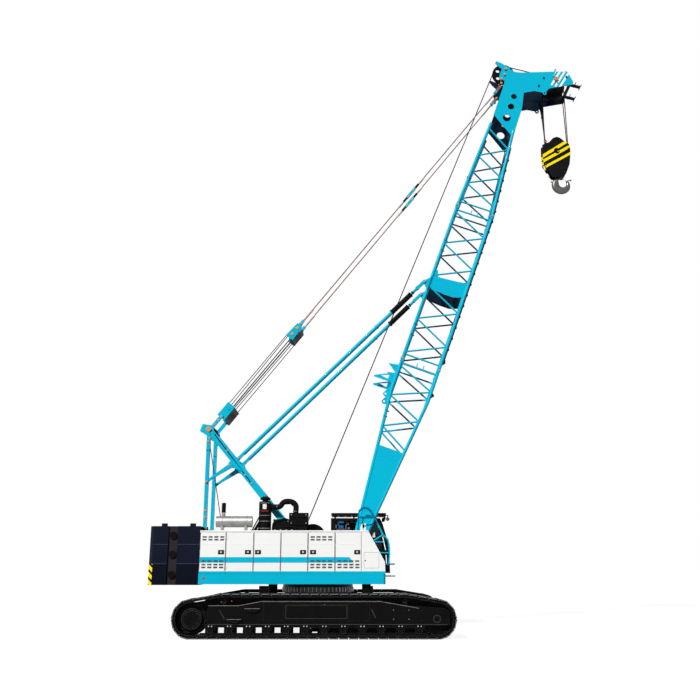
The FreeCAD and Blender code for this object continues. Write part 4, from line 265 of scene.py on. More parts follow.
def wear_group():
    """A mask along outer edges, broken up by noise, where paint or rust is rubbed away."""
    tree, given, made = new_group(
        "Edge Wear",
        [("Radius", "NodeSocketFloat", 0.01), ("Amount", "NodeSocketFloat", 0.5)],
        [("Mask", "NodeSocketFloat")])
    rounded = node(tree, "ShaderNodeBevel", samples=4)
    true_face = node(tree, "ShaderNodeNewGeometry")
    match = node(tree, "ShaderNodeVectorMath", operation="DOT_PRODUCT")
    edge = node(tree, "ShaderNodeMapRange")
    edge.inputs["From Min"].default_value = 0.995
    edge.inputs["From Max"].default_value = 0.85
    place = node(tree, "ShaderNodeTexCoord")
    broken = node(tree, "ShaderNodeTexNoise")
    broken.inputs["Scale"].default_value = 14.0
    broken.inputs["Detail"].default_value = 6.0
    share = node(tree, "ShaderNodeMath", operation="MULTIPLY")
    final = node(tree, "ShaderNodeMath", operation="MULTIPLY", use_clamp=True)
    link = tree.links.new
    link(given.outputs["Radius"], rounded.inputs["Radius"])
    link(rounded.outputs["Normal"], match.inputs[0])
    link(true_face.outputs["Normal"], match.inputs[1])
    link(match.outputs["Value"], edge.inputs["Value"])
    link(place.outputs["Object"], broken.inputs["Vector"])
    link(broken.outputs["Fac"], share.inputs[0])
    link(given.outputs["Amount"], share.inputs[1])
    link(edge.outputs["Result"], final.inputs[0])
    link(share.outputs[0], final.inputs[1])
    link(final.outputs[0], made.inputs["Mask"])
    return tree


WEAR = wear_group()
print("group", WEAR.name)

# %% [markdown]
# ### Band
# Stripes could be thin plates laid on the steel, but they would show an edge. A band is where the place
# along a direction lies near a middle value, and two bands that overlap give a stripe with an end.

# %% Band


def band_group():
    """1 between two parallel planes: where the place along a direction is near a middle value."""
    tree, given, made = new_group(
        "Band",
        [("Along", "NodeSocketVector", (1, 0, 0)), ("Middle", "NodeSocketFloat", 0.0),
         ("Half Width", "NodeSocketFloat", 0.1)],
        [("Mask", "NodeSocketFloat")])
    place = node(tree, "ShaderNodeTexCoord")
    reach = node(tree, "ShaderNodeVectorMath", operation="DOT_PRODUCT")
    near = node(tree, "ShaderNodeMath", operation="COMPARE")
    link = tree.links.new
    link(place.outputs["Object"], reach.inputs[0])
    link(given.outputs["Along"], reach.inputs[1])
    link(reach.outputs["Value"], near.inputs[0])
    link(given.outputs["Middle"], near.inputs[1])
    link(given.outputs["Half Width"], near.inputs[2])
    link(near.outputs[0], made.inputs["Mask"])
    return tree


BAND = band_group()
print("group", BAND.name)

# %% [markdown]
# ## Directions of the boom
# The boom is drawn in its own plane: S runs along it from the foot pin and T across it, positive on the
# front side. Stripes and fittings on the boom use the same two numbers, turned here into X, Y and Z.

# %% The boom's own directions
BOOM_PIVOT = Vector((1.05, 0.0, 2.10))
BOOM_ANGLE = math.radians(70.0)
BOOM_ALONG = Vector((math.cos(BOOM_ANGLE), 0.0, math.sin(BOOM_ANGLE)))
BOOM_ACROSS = Vector((math.sin(BOOM_ANGLE), 0.0, -math.cos(BOOM_ANGLE)))


def boom_place(s, t, y=0.0):
    """A place counted from the boom's foot pin: S along it, T across it and Y aside."""
    return BOOM_PIVOT + BOOM_ALONG * s + BOOM_ACROSS * t + Vector((0.0, y, 0.0))


TIP_AXLE = boom_place(19.242, 1.233)
GUIDE_AXLE = boom_place(18.925, -0.690, -0.330)
STAY_PIN = boom_place(18.333, -0.650)
STRUT_EYE = boom_place(9.869, -0.836)
STRUT_FOOT = Vector((-2.630, 0.0, 5.475))
GANTRY_TOP = Vector((-3.650, 0.0, 6.430))
STAY_ALONG = (STAY_PIN - GANTRY_TOP).normalized()
STRUT_ALONG = (STRUT_EYE - STRUT_FOOT).normalized()
print("tip axle", [round(v, 3) for v in TIP_AXLE])

# %% [markdown]
# ## Colour values
# Most of the machine is sprayed: a glossy sky-blue on the boom and frames, white on the hoods and
# near-black on the undercarriage. A paint card gives a colour as it looks, but shaders add light, so they
# need linear values. One function turns the first into the second.

# %% Colour values


def srgb(r, g, b):
    """A colour given as on a paint card, from 0 to 255, in the linear values that shaders use."""
    def linear(c):
        c = c / 255.0
        return c / 12.92 if c <= 0.04045 else ((c + 0.055) / 1.055) ** 2.4
    return (linear(r), linear(g), linear(b), 1.0)


print("middle grey in linear values:", [round(c, 3) for c in srgb(128, 128, 128)])

# %% [markdown]
# ## Bands over a colour
# A paint can carry bands of a second colour. Each area is an overlap of stripes between planes, and a
# layer is any of its areas. The planes are set in the piece's own coordinates, so the stripes stay put
# when a door or the boom moves.

# %% Bands over a colour


def band_mask(tree, along, low, high):
    """Where the place along a direction lies between two values."""
    made = node(tree, "ShaderNodeGroup", node_tree=BAND)
    made.inputs["Along"].default_value = along
    made.inputs["Middle"].default_value = (low + high) / 2.0
    made.inputs["Half Width"].default_value = (high - low) / 2.0
    return made.outputs["Mask"]


def overlap(tree, masks, operation="MULTIPLY"):
    """Masks joined: all of them with MULTIPLY, any of them with MAXIMUM."""
    last = masks[0]
    for mask in masks[1:]:
        both = node(tree, "ShaderNodeMath", operation=operation)
        tree.links.new(last, both.inputs[0])
        tree.links.new(mask, both.inputs[1])
        last = both.outputs[0]
    return last


def painted(tree, base, layers):
    """The base colour with layers over it, each a colour and a list of areas made of bands."""
    last = base
    for colour, areas in layers:
        masks = [overlap(tree, [band_mask(tree, *band) for band in area]) for area in areas]
        over = node(tree, "ShaderNodeMix", data_type="RGBA")
        tree.links.new(overlap(tree, masks, "MAXIMUM"), over.inputs["Factor"])
        if isinstance(last, tuple):
            over.inputs["A"].default_value = last
        else:
            tree.links.new(last, over.inputs["A"])
        over.inputs["B"].default_value = colour
        last = over.outputs["Result"]
    return last


print("stripes use the group", BAND.name)

# %% [markdown]
# ## One maker for every finish
# Paints and metals differ in their values, not in how they are built, so one function joins the shared
# effects and the Principled shader. Only finishes that ask for wear get its nodes, which are slow.

# %% Finish maker


def finish(name, colour, tint, amount=0.25, scale=0.8, rough=0.35, metallic=0.0, coat=0.0, gloss=0.06,
           peel=90.0, bump=0.05, wear=0.0, wear_colour=(0.35, 0.34, 0.33, 1.0), wear_radius=0.012, layers=()):
    """A painted or metal surface: mottled colour, uneven gloss, fine bump, worn edges and stripes."""
    material = bpy.data.materials.new(name)
    material.use_nodes = True
    tree = material.node_tree
    link = tree.links.new
    surface = tree.nodes["Principled BSDF"]
    surface.inputs["Metallic"].default_value = metallic
    surface.inputs["Coat Weight"].default_value = coat
    surface.inputs["Specular IOR Level"].default_value = gloss
    mottle = node(tree, "ShaderNodeGroup", node_tree=MOTTLE)
    mottle.inputs["Color"].default_value = colour
    mottle.inputs["Tint"].default_value = tint
    mottle.inputs["Amount"].default_value = amount
    mottle.inputs["Scale"].default_value = scale
    last = painted(tree, mottle.outputs["Color"], layers)
    if wear > 0.0:
        worn = node(tree, "ShaderNodeGroup", node_tree=WEAR)
        worn.inputs["Radius"].default_value = wear_radius
        worn.inputs["Amount"].default_value = wear
        bare = node(tree, "ShaderNodeMix", data_type="RGBA")
        bare.inputs["B"].default_value = wear_colour
        link(worn.outputs["Mask"], bare.inputs["Factor"])
        link(last, bare.inputs["A"])
        last = bare.outputs["Result"]
    link(last, surface.inputs["Base Color"])
    uneven = node(tree, "ShaderNodeMapRange")
    uneven.inputs["To Min"].default_value = rough
    uneven.inputs["To Max"].default_value = min(1.0, rough + 0.35)
    link(mottle.outputs["Mask"], uneven.inputs["Value"])
    link(uneven.outputs["Result"], surface.inputs["Roughness"])
    skin = node(tree, "ShaderNodeGroup", node_tree=PEEL)
    skin.inputs["Scale"].default_value = peel
    relief = node(tree, "ShaderNodeBump")
    relief.inputs["Strength"].default_value = bump
    relief.inputs["Distance"].default_value = 0.002
    link(skin.outputs["Height"], relief.inputs["Height"])
    link(relief.outputs["Normal"], surface.inputs["Normal"])
    return material


print("shared effects:", [group.name for group in (MOTTLE, PEEL, WEAR, BAND)])

# %% [markdown]
# ## The colours of this machine
# A colour that covers several pieces is named once, and so are the main directions. The three painted shades
# are darker paint that stands in for the shade in places that little light reaches: inside the boom, under
# the platform and behind the front rail.

# %% Colours and directions
CYAN = srgb(0, 183, 214)
DEEP_CYAN = srgb(0, 150, 190)
WHITE = srgb(244, 244, 242)
NAVY = srgb(12, 17, 34)
# Painted shade: darker navy, teal and blue for places in shade.
PAINTED_SHADE_NAVY, PAINTED_SHADE_TEAL, PAINTED_SHADE_BLUE = srgb(10, 26, 44), srgb(0, 74, 98), srgb(0, 112, 146)
YELLOW = srgb(255, 224, 8)
UP, AHEAD, ASIDE = (0.0, 0.0, 1.0), (1.0, 0.0, 0.0), (0.0, 1.0, 0.0)
print("sky-blue in linear values:", [round(c, 3) for c in CYAN])

# %% [markdown]
# ### Planes of a stripe
# A band needs the direction across it and its two limits. These helpers find them from what a painter
# would measure: an angle and a point of the edge, or distances along and across the boom.

# %% Planes of a stripe


def slant(degrees):
    """The direction square to lines that rise at an angle in the side view."""
    turn = math.radians(degrees + 90.0)
    return (math.cos(turn), 0.0, math.sin(turn))


def boom_band(along, low, high):
    """A band along or across the boom, with its limits counted from the foot pin."""
    root = BOOM_PIVOT.dot(along)
    return (tuple(along), root + low, root + high)


def slant_band(degrees, x, z, width):
    """A slanted band whose lower edge passes through a point."""
    along = slant(degrees)
    reach = Vector(along).dot(Vector((x, 0.0, z)))
    return (along, reach, reach + width)


def inside_boom(half, along, across):
    """The room between the chords, from half its width and its limits along and across the boom."""
    return [(ASIDE, -half, half), boom_band(BOOM_ALONG, *along), boom_band(BOOM_ACROSS, *across)]


print("lines that rise at 45 degrees are square to", [round(v, 2) for v in slant(45.0)])

# %% [markdown]
# ### Stripes
# The house carries one sky-blue stripe that ends in a slant before the nose. The tail's bottom weight has
# yellow and black warning slants at its rear corners, the hook block has three broad yellow slants, and the
# boom head shows white ones beside its tip. Each is written as bands between planes, and so is the painted
# shade inside the boom, because planes can part the inside of a chord from its outside.

# %% Stripes
FAR = 90.0
STRIPE_LOW, STRIPE_HIGH, STRIPE_END, SILL_TOP = 2.136, 2.306, 1.02, 1.884
WEIGHT_SIDES = ((-1.80, -1.50), (1.50, 1.80))
WEIGHT_SLANTS_Z = (1.52, 1.74, 1.96, 2.18)

stripe_slant, stripe_reach, _ = slant_band(-52.0, STRIPE_END, STRIPE_HIGH, 0.0)
house_stripe = [[(UP, STRIPE_LOW, STRIPE_HIGH), (stripe_slant, -FAR, stripe_reach)]]
weight_corner = [(UP, 1.40, 2.10), (AHEAD, -5.30, -5.035)]
weight_slants = [weight_corner + [(ASIDE, *side), slant_band(-38.0, -5.17, z, 0.105)]
                 for z in WEIGHT_SLANTS_Z for side in WEIGHT_SIDES]
block_slants = [[slant_band(33.0, TIP_AXLE.x - 0.080, 17.060, 0.113)],
                [slant_band(30.8, TIP_AXLE.x + 0.004, 16.881, 0.107)],
                [slant_band(29.8, TIP_AXLE.x + 0.053, 16.636, 0.092)]]
# Painted shade: the inside of the mid plates, the lacing between the chords and the inside of the head are
# darkened where shade falls.
boom_inside_painted_shade = [inside_boom(0.627, (9.62, 10.42), (-0.60, 0.592))]
lacing_painted_shade = [inside_boom(0.638, (6.9, 13.1), (-0.590, 0.590)),
                 inside_boom(0.638, (4.9, 6.9), (-0.47, 0.47)),
                 inside_boom(0.638, (13.1, 16.4), (-0.49, 0.44))]
head_inside_painted_shade = [[(ASIDE, -0.655, 0.655), boom_band(BOOM_ALONG, 16.3, 30.0)]]
head_slants = [[boom_band(BOOM_ACROSS, 1.12, 1.66), boom_band(BOOM_ALONG, 18.9, 19.7), (ASIDE, -0.662, 0.662),
                slant_band(58.0, TIP_AXLE.x + x, TIP_AXLE.z, 0.075)] for x in (-0.16, 0.02, 0.20, 0.38)]
print("slants", len(weight_slants), "on the weight,", len(block_slants), "on the block,", len(head_slants),
      "on the head")

# %% [markdown]
# ## Paints of the steelwork
# All sky-blue steel is sprayed from one can, so one function holds its values and only the bands over it
# change; some of those bands are painted shade. White, navy and black parts each have their own gloss: the
# hoods shine, the cast weights are dull.

# %% Paints


def sky_paint(name, layers=()):
    """The sky-blue enamel of the boom, the gantry and the platform, with bands of other paint and of painted
    shade over it.
    """
    return finish(name, CYAN, DEEP_CYAN, 0.22, 0.6, rough=0.30, coat=0.06, layers=layers)


# Painted shade: the platform's underside, the rear of the front rail and the inside of the boom are darker
# where shade falls.
platform_paint_and_shade = sky_paint("platform_paint_and_shade", [(PAINTED_SHADE_NAVY, [[(UP, 1.0, 1.503)]])])
rail_paint_and_shade = sky_paint("rail_paint_and_shade", [(PAINTED_SHADE_BLUE, [[(AHEAD, 0.0, 1.93), (UP, 3.1, 6.0)]])])
foot_paint_and_shade = sky_paint("foot_paint_and_shade", [(PAINTED_SHADE_TEAL, lacing_painted_shade)])
cyan_paint = sky_paint("cyan_paint")
head_paint_and_shade = sky_paint("head_paint_and_shade", [(WHITE, head_slants), (PAINTED_SHADE_TEAL, lacing_painted_shade),
                                      (PAINTED_SHADE_NAVY, head_inside_painted_shade)])
boom_paint_and_shade = sky_paint("boom_paint_and_shade", [(PAINTED_SHADE_TEAL, lacing_painted_shade), (PAINTED_SHADE_NAVY, boom_inside_painted_shade)])
white_paint = finish("white_paint", WHITE, srgb(232, 232, 228), 0.35, 0.7, rough=0.28, coat=0.12,
                     layers=[(CYAN, house_stripe + [[(UP, 1.80, SILL_TOP)]])])
navy_paint = finish("navy_paint", NAVY, srgb(24, 30, 42), 0.45, 1.4, rough=0.42, bump=0.25, peel=45.0)
weight_paint = finish("weight_paint", srgb(2, 6, 20), srgb(8, 14, 28), 0.35, 1.4, rough=0.42, bump=0.25,
                      peel=45.0, layers=[(YELLOW, weight_slants)])
block_paint = finish("block_paint", srgb(10, 11, 14), srgb(24, 24, 28), 0.45, 3.0, rough=0.36, bump=0.15,
                     layers=[(YELLOW, block_slants)])
base_black = finish("base_black", srgb(3, 3, 4), srgb(16, 15, 15), 0.4, 2.5, rough=0.42, bump=0.2,
                    wear=0.55, wear_colour=srgb(120, 118, 114))
deck_black = finish("deck_black", srgb(4, 4, 5), srgb(16, 15, 15), 0.45, 3.0, rough=0.38, bump=0.15)
cab_black = finish("cab_black", srgb(9, 9, 11), srgb(24, 24, 28), 0.45, 2.0, rough=0.3, coat=0.05)
stripe_yellow = finish("stripe_yellow", YELLOW, srgb(214, 160, 10), 0.4, 4.0, rough=0.4)
step_blue = finish("step_blue", srgb(0, 98, 178), srgb(0, 70, 140), 0.4, 9.0, rough=0.4)
signal_red = finish("signal_red", srgb(196, 30, 26), srgb(130, 16, 14), 0.4, 8.0, rough=0.2, coat=0.5)
print("materials with the paints:", len(bpy.data.materials))

# %% [markdown]
# ## Bare metal, rope and rubber
# Shoes and hook are bare iron, so they are metallic and their tint is rust or dirt. Thin marks, such as a
# seam, a rubbed edge or a painted highlight along an edge, get a flat grey of their own, because wear that a
# node finds would be too faint.

# %% Metals
track_iron = finish("track_iron", srgb(4, 4, 5), srgb(22, 21, 20), 0.45, 5.0, rough=0.42, metallic=0.3,
                    bump=0.5, peel=60.0, wear=1.0, wear_colour=srgb(128, 126, 122))
ring_steel = finish("ring_steel", srgb(58, 58, 60), srgb(120, 118, 114), 0.8, 6.0, rough=0.3, metallic=0.8,
                    bump=0.3)
silencer_steel = finish("silencer_steel", srgb(168, 166, 164), srgb(104, 100, 96), 0.7, 2.0, rough=0.30,
                        metallic=0.9, bump=0.12, peel=30.0)
hook_iron = finish("hook_iron", srgb(104, 101, 98), srgb(50, 47, 45), 0.8, 3.0, rough=0.22, metallic=0.85,
                   bump=0.35, peel=50.0)
bolt_orange = finish("bolt_orange", srgb(208, 140, 92), srgb(150, 84, 50), 0.6, 9.0, rough=0.4, metallic=0.35)
bolt_bright = finish("bolt_bright", srgb(188, 188, 186), srgb(110, 108, 104), 0.6, 9.0, rough=0.32,
                     metallic=0.8)
rope_dark = finish("rope_dark", srgb(26, 25, 25), srgb(44, 42, 41), 0.5, 20.0, rough=0.5, metallic=0.2)
rope_wire = finish("rope_wire", srgb(58, 56, 55), srgb(28, 27, 27), 0.6, 20.0, rough=0.5, metallic=0.5)
stay_rust = finish("stay_rust", srgb(118, 84, 82), srgb(176, 150, 150), 0.7, 1.6, rough=0.5, metallic=0.2)
sleeve_pink = finish("sleeve_pink", srgb(214, 190, 188), srgb(160, 120, 116), 0.6, 4.0, rough=0.5)
# The two edge greys are rubbed metal and painted highlights along edges.
edge_wear_and_dim_highlight = finish("edge_wear_and_dim_highlight", srgb(62, 62, 60), srgb(36, 36, 35), 0.6, 9.0, rough=0.4, metallic=0.3)
edge_wear_and_highlight = finish("edge_wear_and_highlight", srgb(138, 138, 135), srgb(70, 70, 68), 0.6, 9.0, rough=0.4, metallic=0.4)
# The vent blades are white; their grey is painted shade from behind the slots.
vent_blade_grey_shade = finish("vent_blade_grey_shade", srgb(168, 164, 163), srgb(140, 136, 135), 0.4, 6.0, rough=0.45)
seam_grey = finish("seam_grey", srgb(120, 124, 118), srgb(90, 92, 88), 0.5, 9.0, rough=0.6)
weight_joint_highlight = finish("weight_joint_highlight", srgb(70, 78, 92), srgb(46, 52, 64), 0.5, 3.0, rough=0.5)
groove_brown = finish("groove_brown", srgb(44, 40, 42), srgb(30, 28, 30), 0.5, 3.0, rough=0.55)
spreader_grey = finish("spreader_grey", srgb(74, 76, 78), srgb(52, 53, 55), 0.5, 4.0, rough=0.5)
rubber = finish("rubber", srgb(12, 12, 12), srgb(26, 26, 26), 0.4, 8.0, rough=0.7)
seat_cloth = finish("seat_cloth", srgb(40, 42, 48), srgb(70, 72, 80), 0.6, 60.0, rough=0.8, bump=0.6,
                    peel=500.0)
print("materials with the metals:", len(bpy.data.materials))

# %% [markdown]
# ## Glass, lenses and screens
# The panes are clear but dim, so the glass lets light through and only its tint darkens what is behind it.
# The screen and the levers stand in the cab's shadow, and a painted glow, which is no lamp, lifts them out of
# it.

# %% Glass and lights
CAB_PAINTED_GLOW = 2.5

lamp_white = finish("lamp_white", srgb(228, 228, 226), srgb(190, 190, 190), 0.3, 6.0, rough=0.12, coat=0.6)
screen_blue_painted_glow = finish("screen_blue_painted_glow", srgb(40, 128, 190), srgb(20, 80, 140), 0.4, 9.0, rough=0.3)
panel_grey_painted_glow = finish("panel_grey_painted_glow", srgb(150, 156, 156), srgb(96, 100, 100), 0.5, 9.0, rough=0.4)
# Painted light: the screen, the levers and the pillar strips glow so that they show in the cab's shadow.
for lit, glow in ((screen_blue_painted_glow, (0.05, 0.32, 0.70, 1.0)), (panel_grey_painted_glow, (0.42, 0.44, 0.44, 1.0))):
    lit_surface = lit.node_tree.nodes["Principled BSDF"]
    lit_surface.inputs["Emission Color"].default_value = glow
    lit_surface.inputs["Emission Strength"].default_value = CAB_PAINTED_GLOW
cab_glass = bpy.data.materials.new("cab_glass")
cab_glass.use_nodes = True
glass_surface = cab_glass.node_tree.nodes["Principled BSDF"]
glass_surface.inputs["Base Color"].default_value = (0.13, 0.14, 0.15, 1.0)
glass_surface.inputs["Roughness"].default_value = 0.03
glass_surface.inputs["Transmission Weight"].default_value = 1.0
glass_surface.inputs["IOR"].default_value = 1.1
print("materials in all:", len(bpy.data.materials))

# %% [markdown]
# ## Dressing the CAD solids
# Each solid takes the finish of what it is made of. The frame's own meshes are never changed: only the
# material in their slots is.

# %% Dress the solids
DRESS = {
    track_iron: ["track_right", "track_left", "sprockets", "idlers", "bottom_rollers_right",
                 "bottom_rollers_left", "carrier_rollers"],
    base_black: ["carbody", "side_frame_right", "side_frame_left"],
    ring_steel: ["slew_ring"],
    navy_paint: ["counterweight_middle", "counterweight_upper"],
    weight_paint: ["counterweight_lower"],
    platform_paint_and_shade: ["platform"],
    boom_paint_and_shade: ["boom_insert"],
    rail_paint_and_shade: ["front_ladder"],
    foot_paint_and_shade: ["boom_foot"],
    cyan_paint: ["gantry_mast", "gantry_legs", "gantry_braces",
                 "strut_tubes", "strut_rods", "tackle_head", "bridle"],
    head_paint_and_shade: ["boom_head"],
    block_paint: ["hook_block"],
    deck_black: ["engine", "air_cleaner", "hydraulic_unit", "winch_frames", "hoist_drum", "luffing_drum",
                 "gantry_sheaves", "head_sheaves", "tip_sheaves", "hook_sheaves"],
    silencer_steel: ["exhaust_silencer"],
    cab_black: ["cab_shell", "cab_door", "cab_roof_guard"],
    cab_glass: ["cab_glass"],
    seat_cloth: ["cab_seat"],
    rope_wire: ["hoist_falls", "luffing_falls"],
    stay_rust: ["stays"],
    hook_iron: ["hook"],
    white_paint: ["house_right", "house_left"] + sorted(n for n in NODES if n.startswith("door_")),
}


def dress(name, material):
    """Gives every material slot of a CAD solid one finish."""
    for place in NODES[name].material_slots:
        place.material = material


for material, names in DRESS.items():
    for name in names:
        dress(name, material)
print("dressed", sum(len(names) for names in DRESS.values()), "of", len(NODES), "solids")

# %% [markdown]
# ## Tools for small parts
# Fittings are built as joined meshes: boxes, rods, plates and rings are added to one mesh for each
# finish and each body that they move with. BMesh is used rather than ready-made objects, because
# every part can then be written at its real place, with no object to move, turn and join afterwards.

# %% Circles of points


def frame_across(direction):
    """Two unit vectors square to a direction and to each other."""
    along = Vector(direction).normalized()
    helper = Vector((0.0, 1.0, 0.0)) if abs(along.y) < 0.9 else Vector((1.0, 0.0, 0.0))
    first = along.cross(helper).normalized()
    return first, along.cross(first).normalized()


def ring_points(centre, direction, radius, sides):
    """Points evenly round a circle square to a direction."""
    first, second = frame_across(direction)
    angles = [2.0 * math.pi * i / sides for i in range(sides)]
    return [Vector(centre) + first * radius * math.cos(a) + second * radius * math.sin(a) for a in angles]


print("a ring of four:", [tuple(round(c, 2) for c in p) for p in ring_points((0, 0, 0), UP, 1.0, 4)])

# %% [markdown]
# ### Round bars and rings
# Ropes, pins, pipes and hoops are all a circle carried along a line. The circle turns only as much as
# the line does, so a bent pipe isn't twisted, and a closed line gives a ring.

# %% Round bars and rings


def add_tube(mesh, points, radii, sides=16, closed=False):
    """A round bar through points, each with its radius; its ends are capped unless it is closed."""
    points = [Vector(p) for p in points]
    if isinstance(radii, (int, float)):
        radii = [radii] * len(points)
    count = len(points)
    loops = []
    first = None
    for i, point in enumerate(points):
        if closed:
            heading = points[(i + 1) % count] - points[i - 1]
        else:
            heading = points[min(i + 1, count - 1)] - points[max(i - 1, 0)]
        heading.normalize()
        if first is None:
            first, second = frame_across(heading)
        else:
            first = (first - heading * first.dot(heading)).normalized()
            second = heading.cross(first).normalized()
        loops.append([mesh.verts.new(point + first * radii[i] * math.cos(2.0 * math.pi * k / sides)
                                     + second * radii[i] * math.sin(2.0 * math.pi * k / sides))
                      for k in range(sides)])
    spans = range(count) if closed else range(count - 1)
    for i in spans:
        here, there = loops[i], loops[(i + 1) % count]
        for k in range(sides):
            mesh.faces.new((here[k], here[(k + 1) % sides], there[(k + 1) % sides], there[k]))
    if not closed:
        mesh.faces.new(loops[0][::-1])
        mesh.faces.new(loops[-1])


def add_rod(mesh, start, end, radius, sides=16, end_radius=None):
    """A straight round bar, which tapers where its end has a radius of its own."""
    add_tube(mesh, [start, end], [radius, radius if end_radius is None else end_radius], sides)


def add_ring(mesh, centre, direction, ring_radius, wire_radius, steps=32, sides=8):
    """A closed ring of round wire."""
    add_tube(mesh, ring_points(centre, direction, ring_radius, steps), wire_radius, sides, closed=True)


trial = bmesh.new()
add_rod(trial, (0.0, 0.0, 0.0), UP, 0.1)
print("a rod has", len(trial.verts), "corners and", len(trial.faces), "faces")
trial.free()

# %% [markdown]
# ### Boxes and plates
# Most brackets are cut from plate. An outline pushed along a vector gives any of them, and a box is only
# the plainest outline, so all flat parts share one function.

# %% Boxes and plates


def add_prism(mesh, corners, depth):
    """A flat outline pushed along a vector into a solid."""
    near = [mesh.verts.new(Vector(c)) for c in corners]
    far = [mesh.verts.new(Vector(c) + Vector(depth)) for c in corners]
    mesh.faces.new(near)
    mesh.faces.new(far[::-1])
    for i in range(len(near)):
        j = (i + 1) % len(near)
        mesh.faces.new((near[j], near[i], far[i], far[j]))


def add_plate(mesh, outline, y0, y1):
    """A flat plate from its side-view outline of (x, z) points."""
    add_prism(mesh, [(x, y0, z) for x, z in outline], (0.0, y1 - y0, 0.0))


def add_box(mesh, low, high):
    """An upright box between two opposite corners."""
    x0, y0, z0 = (min(a, b) for a, b in zip(low, high))
    x1, y1, z1 = (max(a, b) for a, b in zip(low, high))
    add_plate(mesh, [(x0, z0), (x1, z0), (x1, z1), (x0, z1)], y0, y1)


trial = bmesh.new()
add_box(trial, (0.0, 0.0, 0.0), (1.0, 1.0, 1.0))
print("a box has", len(trial.verts), "corners and", len(trial.faces), "faces")
trial.free()

# %% [markdown]
# ## Paint slots
# One paint covers both solids and added pieces. The same material fills the slots of all of them, so that one
# new colour later changes them together.

# %% [markdown]
# ## From mesh to piece
# A finished mesh becomes an object that rides on its CAD body. A rope whose ends sit on bodies that move
# apart rides on neither, and its place is baked into its mesh. A count is kept of what each step adds.

# %% Pieces
SMOOTH_BELOW = math.radians(40.0)
new_pieces = []


def piece(name, mesh, material, body, smooth=False, blend=None, bevel=0.0):
    """The object of a finished mesh, riding on its body, or riding on none with its place baked in when a
    blend is given.
    """
    if isinstance(mesh, bmesh.types.BMesh):
        bmesh.ops.recalc_face_normals(mesh, faces=mesh.faces)
        data = bpy.data.meshes.new(name)
        mesh.to_mesh(data)
        mesh.free()
    else:
        data = mesh
    data.materials.clear()
    data.materials.append(material)
    for face in data.polygons:
        face.use_smooth = smooth
    made = bpy.data.objects.new(name, data)
    bpy.context.scene.collection.objects.link(made)
    if smooth:
        data.set_sharp_from_angle(angle=SMOOTH_BELOW)
    if bevel > 0.0:
        edge = made.modifiers.new("edge", "BEVEL")
        edge.width = bevel
        edge.segments = 2
        edge.limit_method = "ANGLE"
    if blend:
        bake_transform(made)
    else:
        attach(made, body)
    new_pieces.append(sum(len(face.vertices) - 2 for face in data.polygons))
    return made


def tell(what):
    """Prints how many pieces and triangles a cell has made."""
    print(what + ":", len(new_pieces), "pieces,", sum(new_pieces), "triangles")
    new_pieces.clear()


tell("before the first fitting")

# %% [markdown]
# ## Bolts, rivets and blades by Geometry Nodes
# A machine this size has hundreds of like fasteners. One tree sets a many-sided head on every point of
# a cloud, turned to a given direction; another sets a flat blade there. The instances are realized and
# the result is read back as a plain mesh.

# %% Repeat trees


def repeat_tree(name, shape):
    """A Geometry Nodes tree that sets a round head or a blade on each point of a mesh."""
    tree = bpy.data.node_groups.new(name, "GeometryNodeTree")
    sockets = [("Geometry", "NodeSocketGeometry", None), ("Size", "NodeSocketVector", (0.02, 0.02, 0.02)),
               ("Direction", "NodeSocketVector", (0.0, -1.0, 0.0)), ("Sides", "NodeSocketInt", 6),
               ("Finish", "NodeSocketMaterial", None)]
    for label, kind, value in sockets:
        made = tree.interface.new_socket(label, in_out="INPUT", socket_type=kind)
        if value is not None:
            made.default_value = value
    tree.interface.new_socket("Geometry", in_out="OUTPUT", socket_type="NodeSocketGeometry")
    given, result = tree.nodes.new("NodeGroupInput"), tree.nodes.new("NodeGroupOutput")
    link = tree.links.new
    if shape == "head":
        part = tree.nodes.new("GeometryNodeMeshCylinder")
        split = tree.nodes.new("ShaderNodeSeparateXYZ")
        link(given.outputs["Size"], split.inputs[0])
        link(given.outputs["Sides"], part.inputs["Vertices"])
        link(split.outputs["X"], part.inputs["Radius"])
        link(split.outputs["Z"], part.inputs["Depth"])
    else:
        part = tree.nodes.new("GeometryNodeMeshCube")
        link(given.outputs["Size"], part.inputs["Size"])
    turn = tree.nodes.new("FunctionNodeAlignEulerToVector")
    turn.axis = "Z"
    link(given.outputs["Direction"], turn.inputs["Vector"])
    put = tree.nodes.new("GeometryNodeInstanceOnPoints")
    link(given.outputs["Geometry"], put.inputs["Points"])
    link(part.outputs["Mesh"], put.inputs["Instance"])
    link(turn.outputs["Rotation"], put.inputs["Rotation"])
    real = tree.nodes.new("GeometryNodeRealizeInstances")
    link(put.outputs["Instances"], real.inputs["Geometry"])
    paint = tree.nodes.new("GeometryNodeSetMaterial")
    link(real.outputs["Geometry"], paint.inputs["Geometry"])
    link(given.outputs["Finish"], paint.inputs["Material"])
    link(paint.outputs["Geometry"], result.inputs["Geometry"])
    return tree


HEADS, BLADES = repeat_tree("Bolt Heads", "head"), repeat_tree("Blades", "blade")
print("trees", HEADS.name, "and", BLADES.name)

# %% [markdown]
# ## A piece from a tree
# The tree works on a cloud of points, one for each bolt or blade. Its inputs are set by their identifiers
# before the holder is first evaluated, the result is read back as a plain mesh, and the holder goes.

# %% Repeated pieces


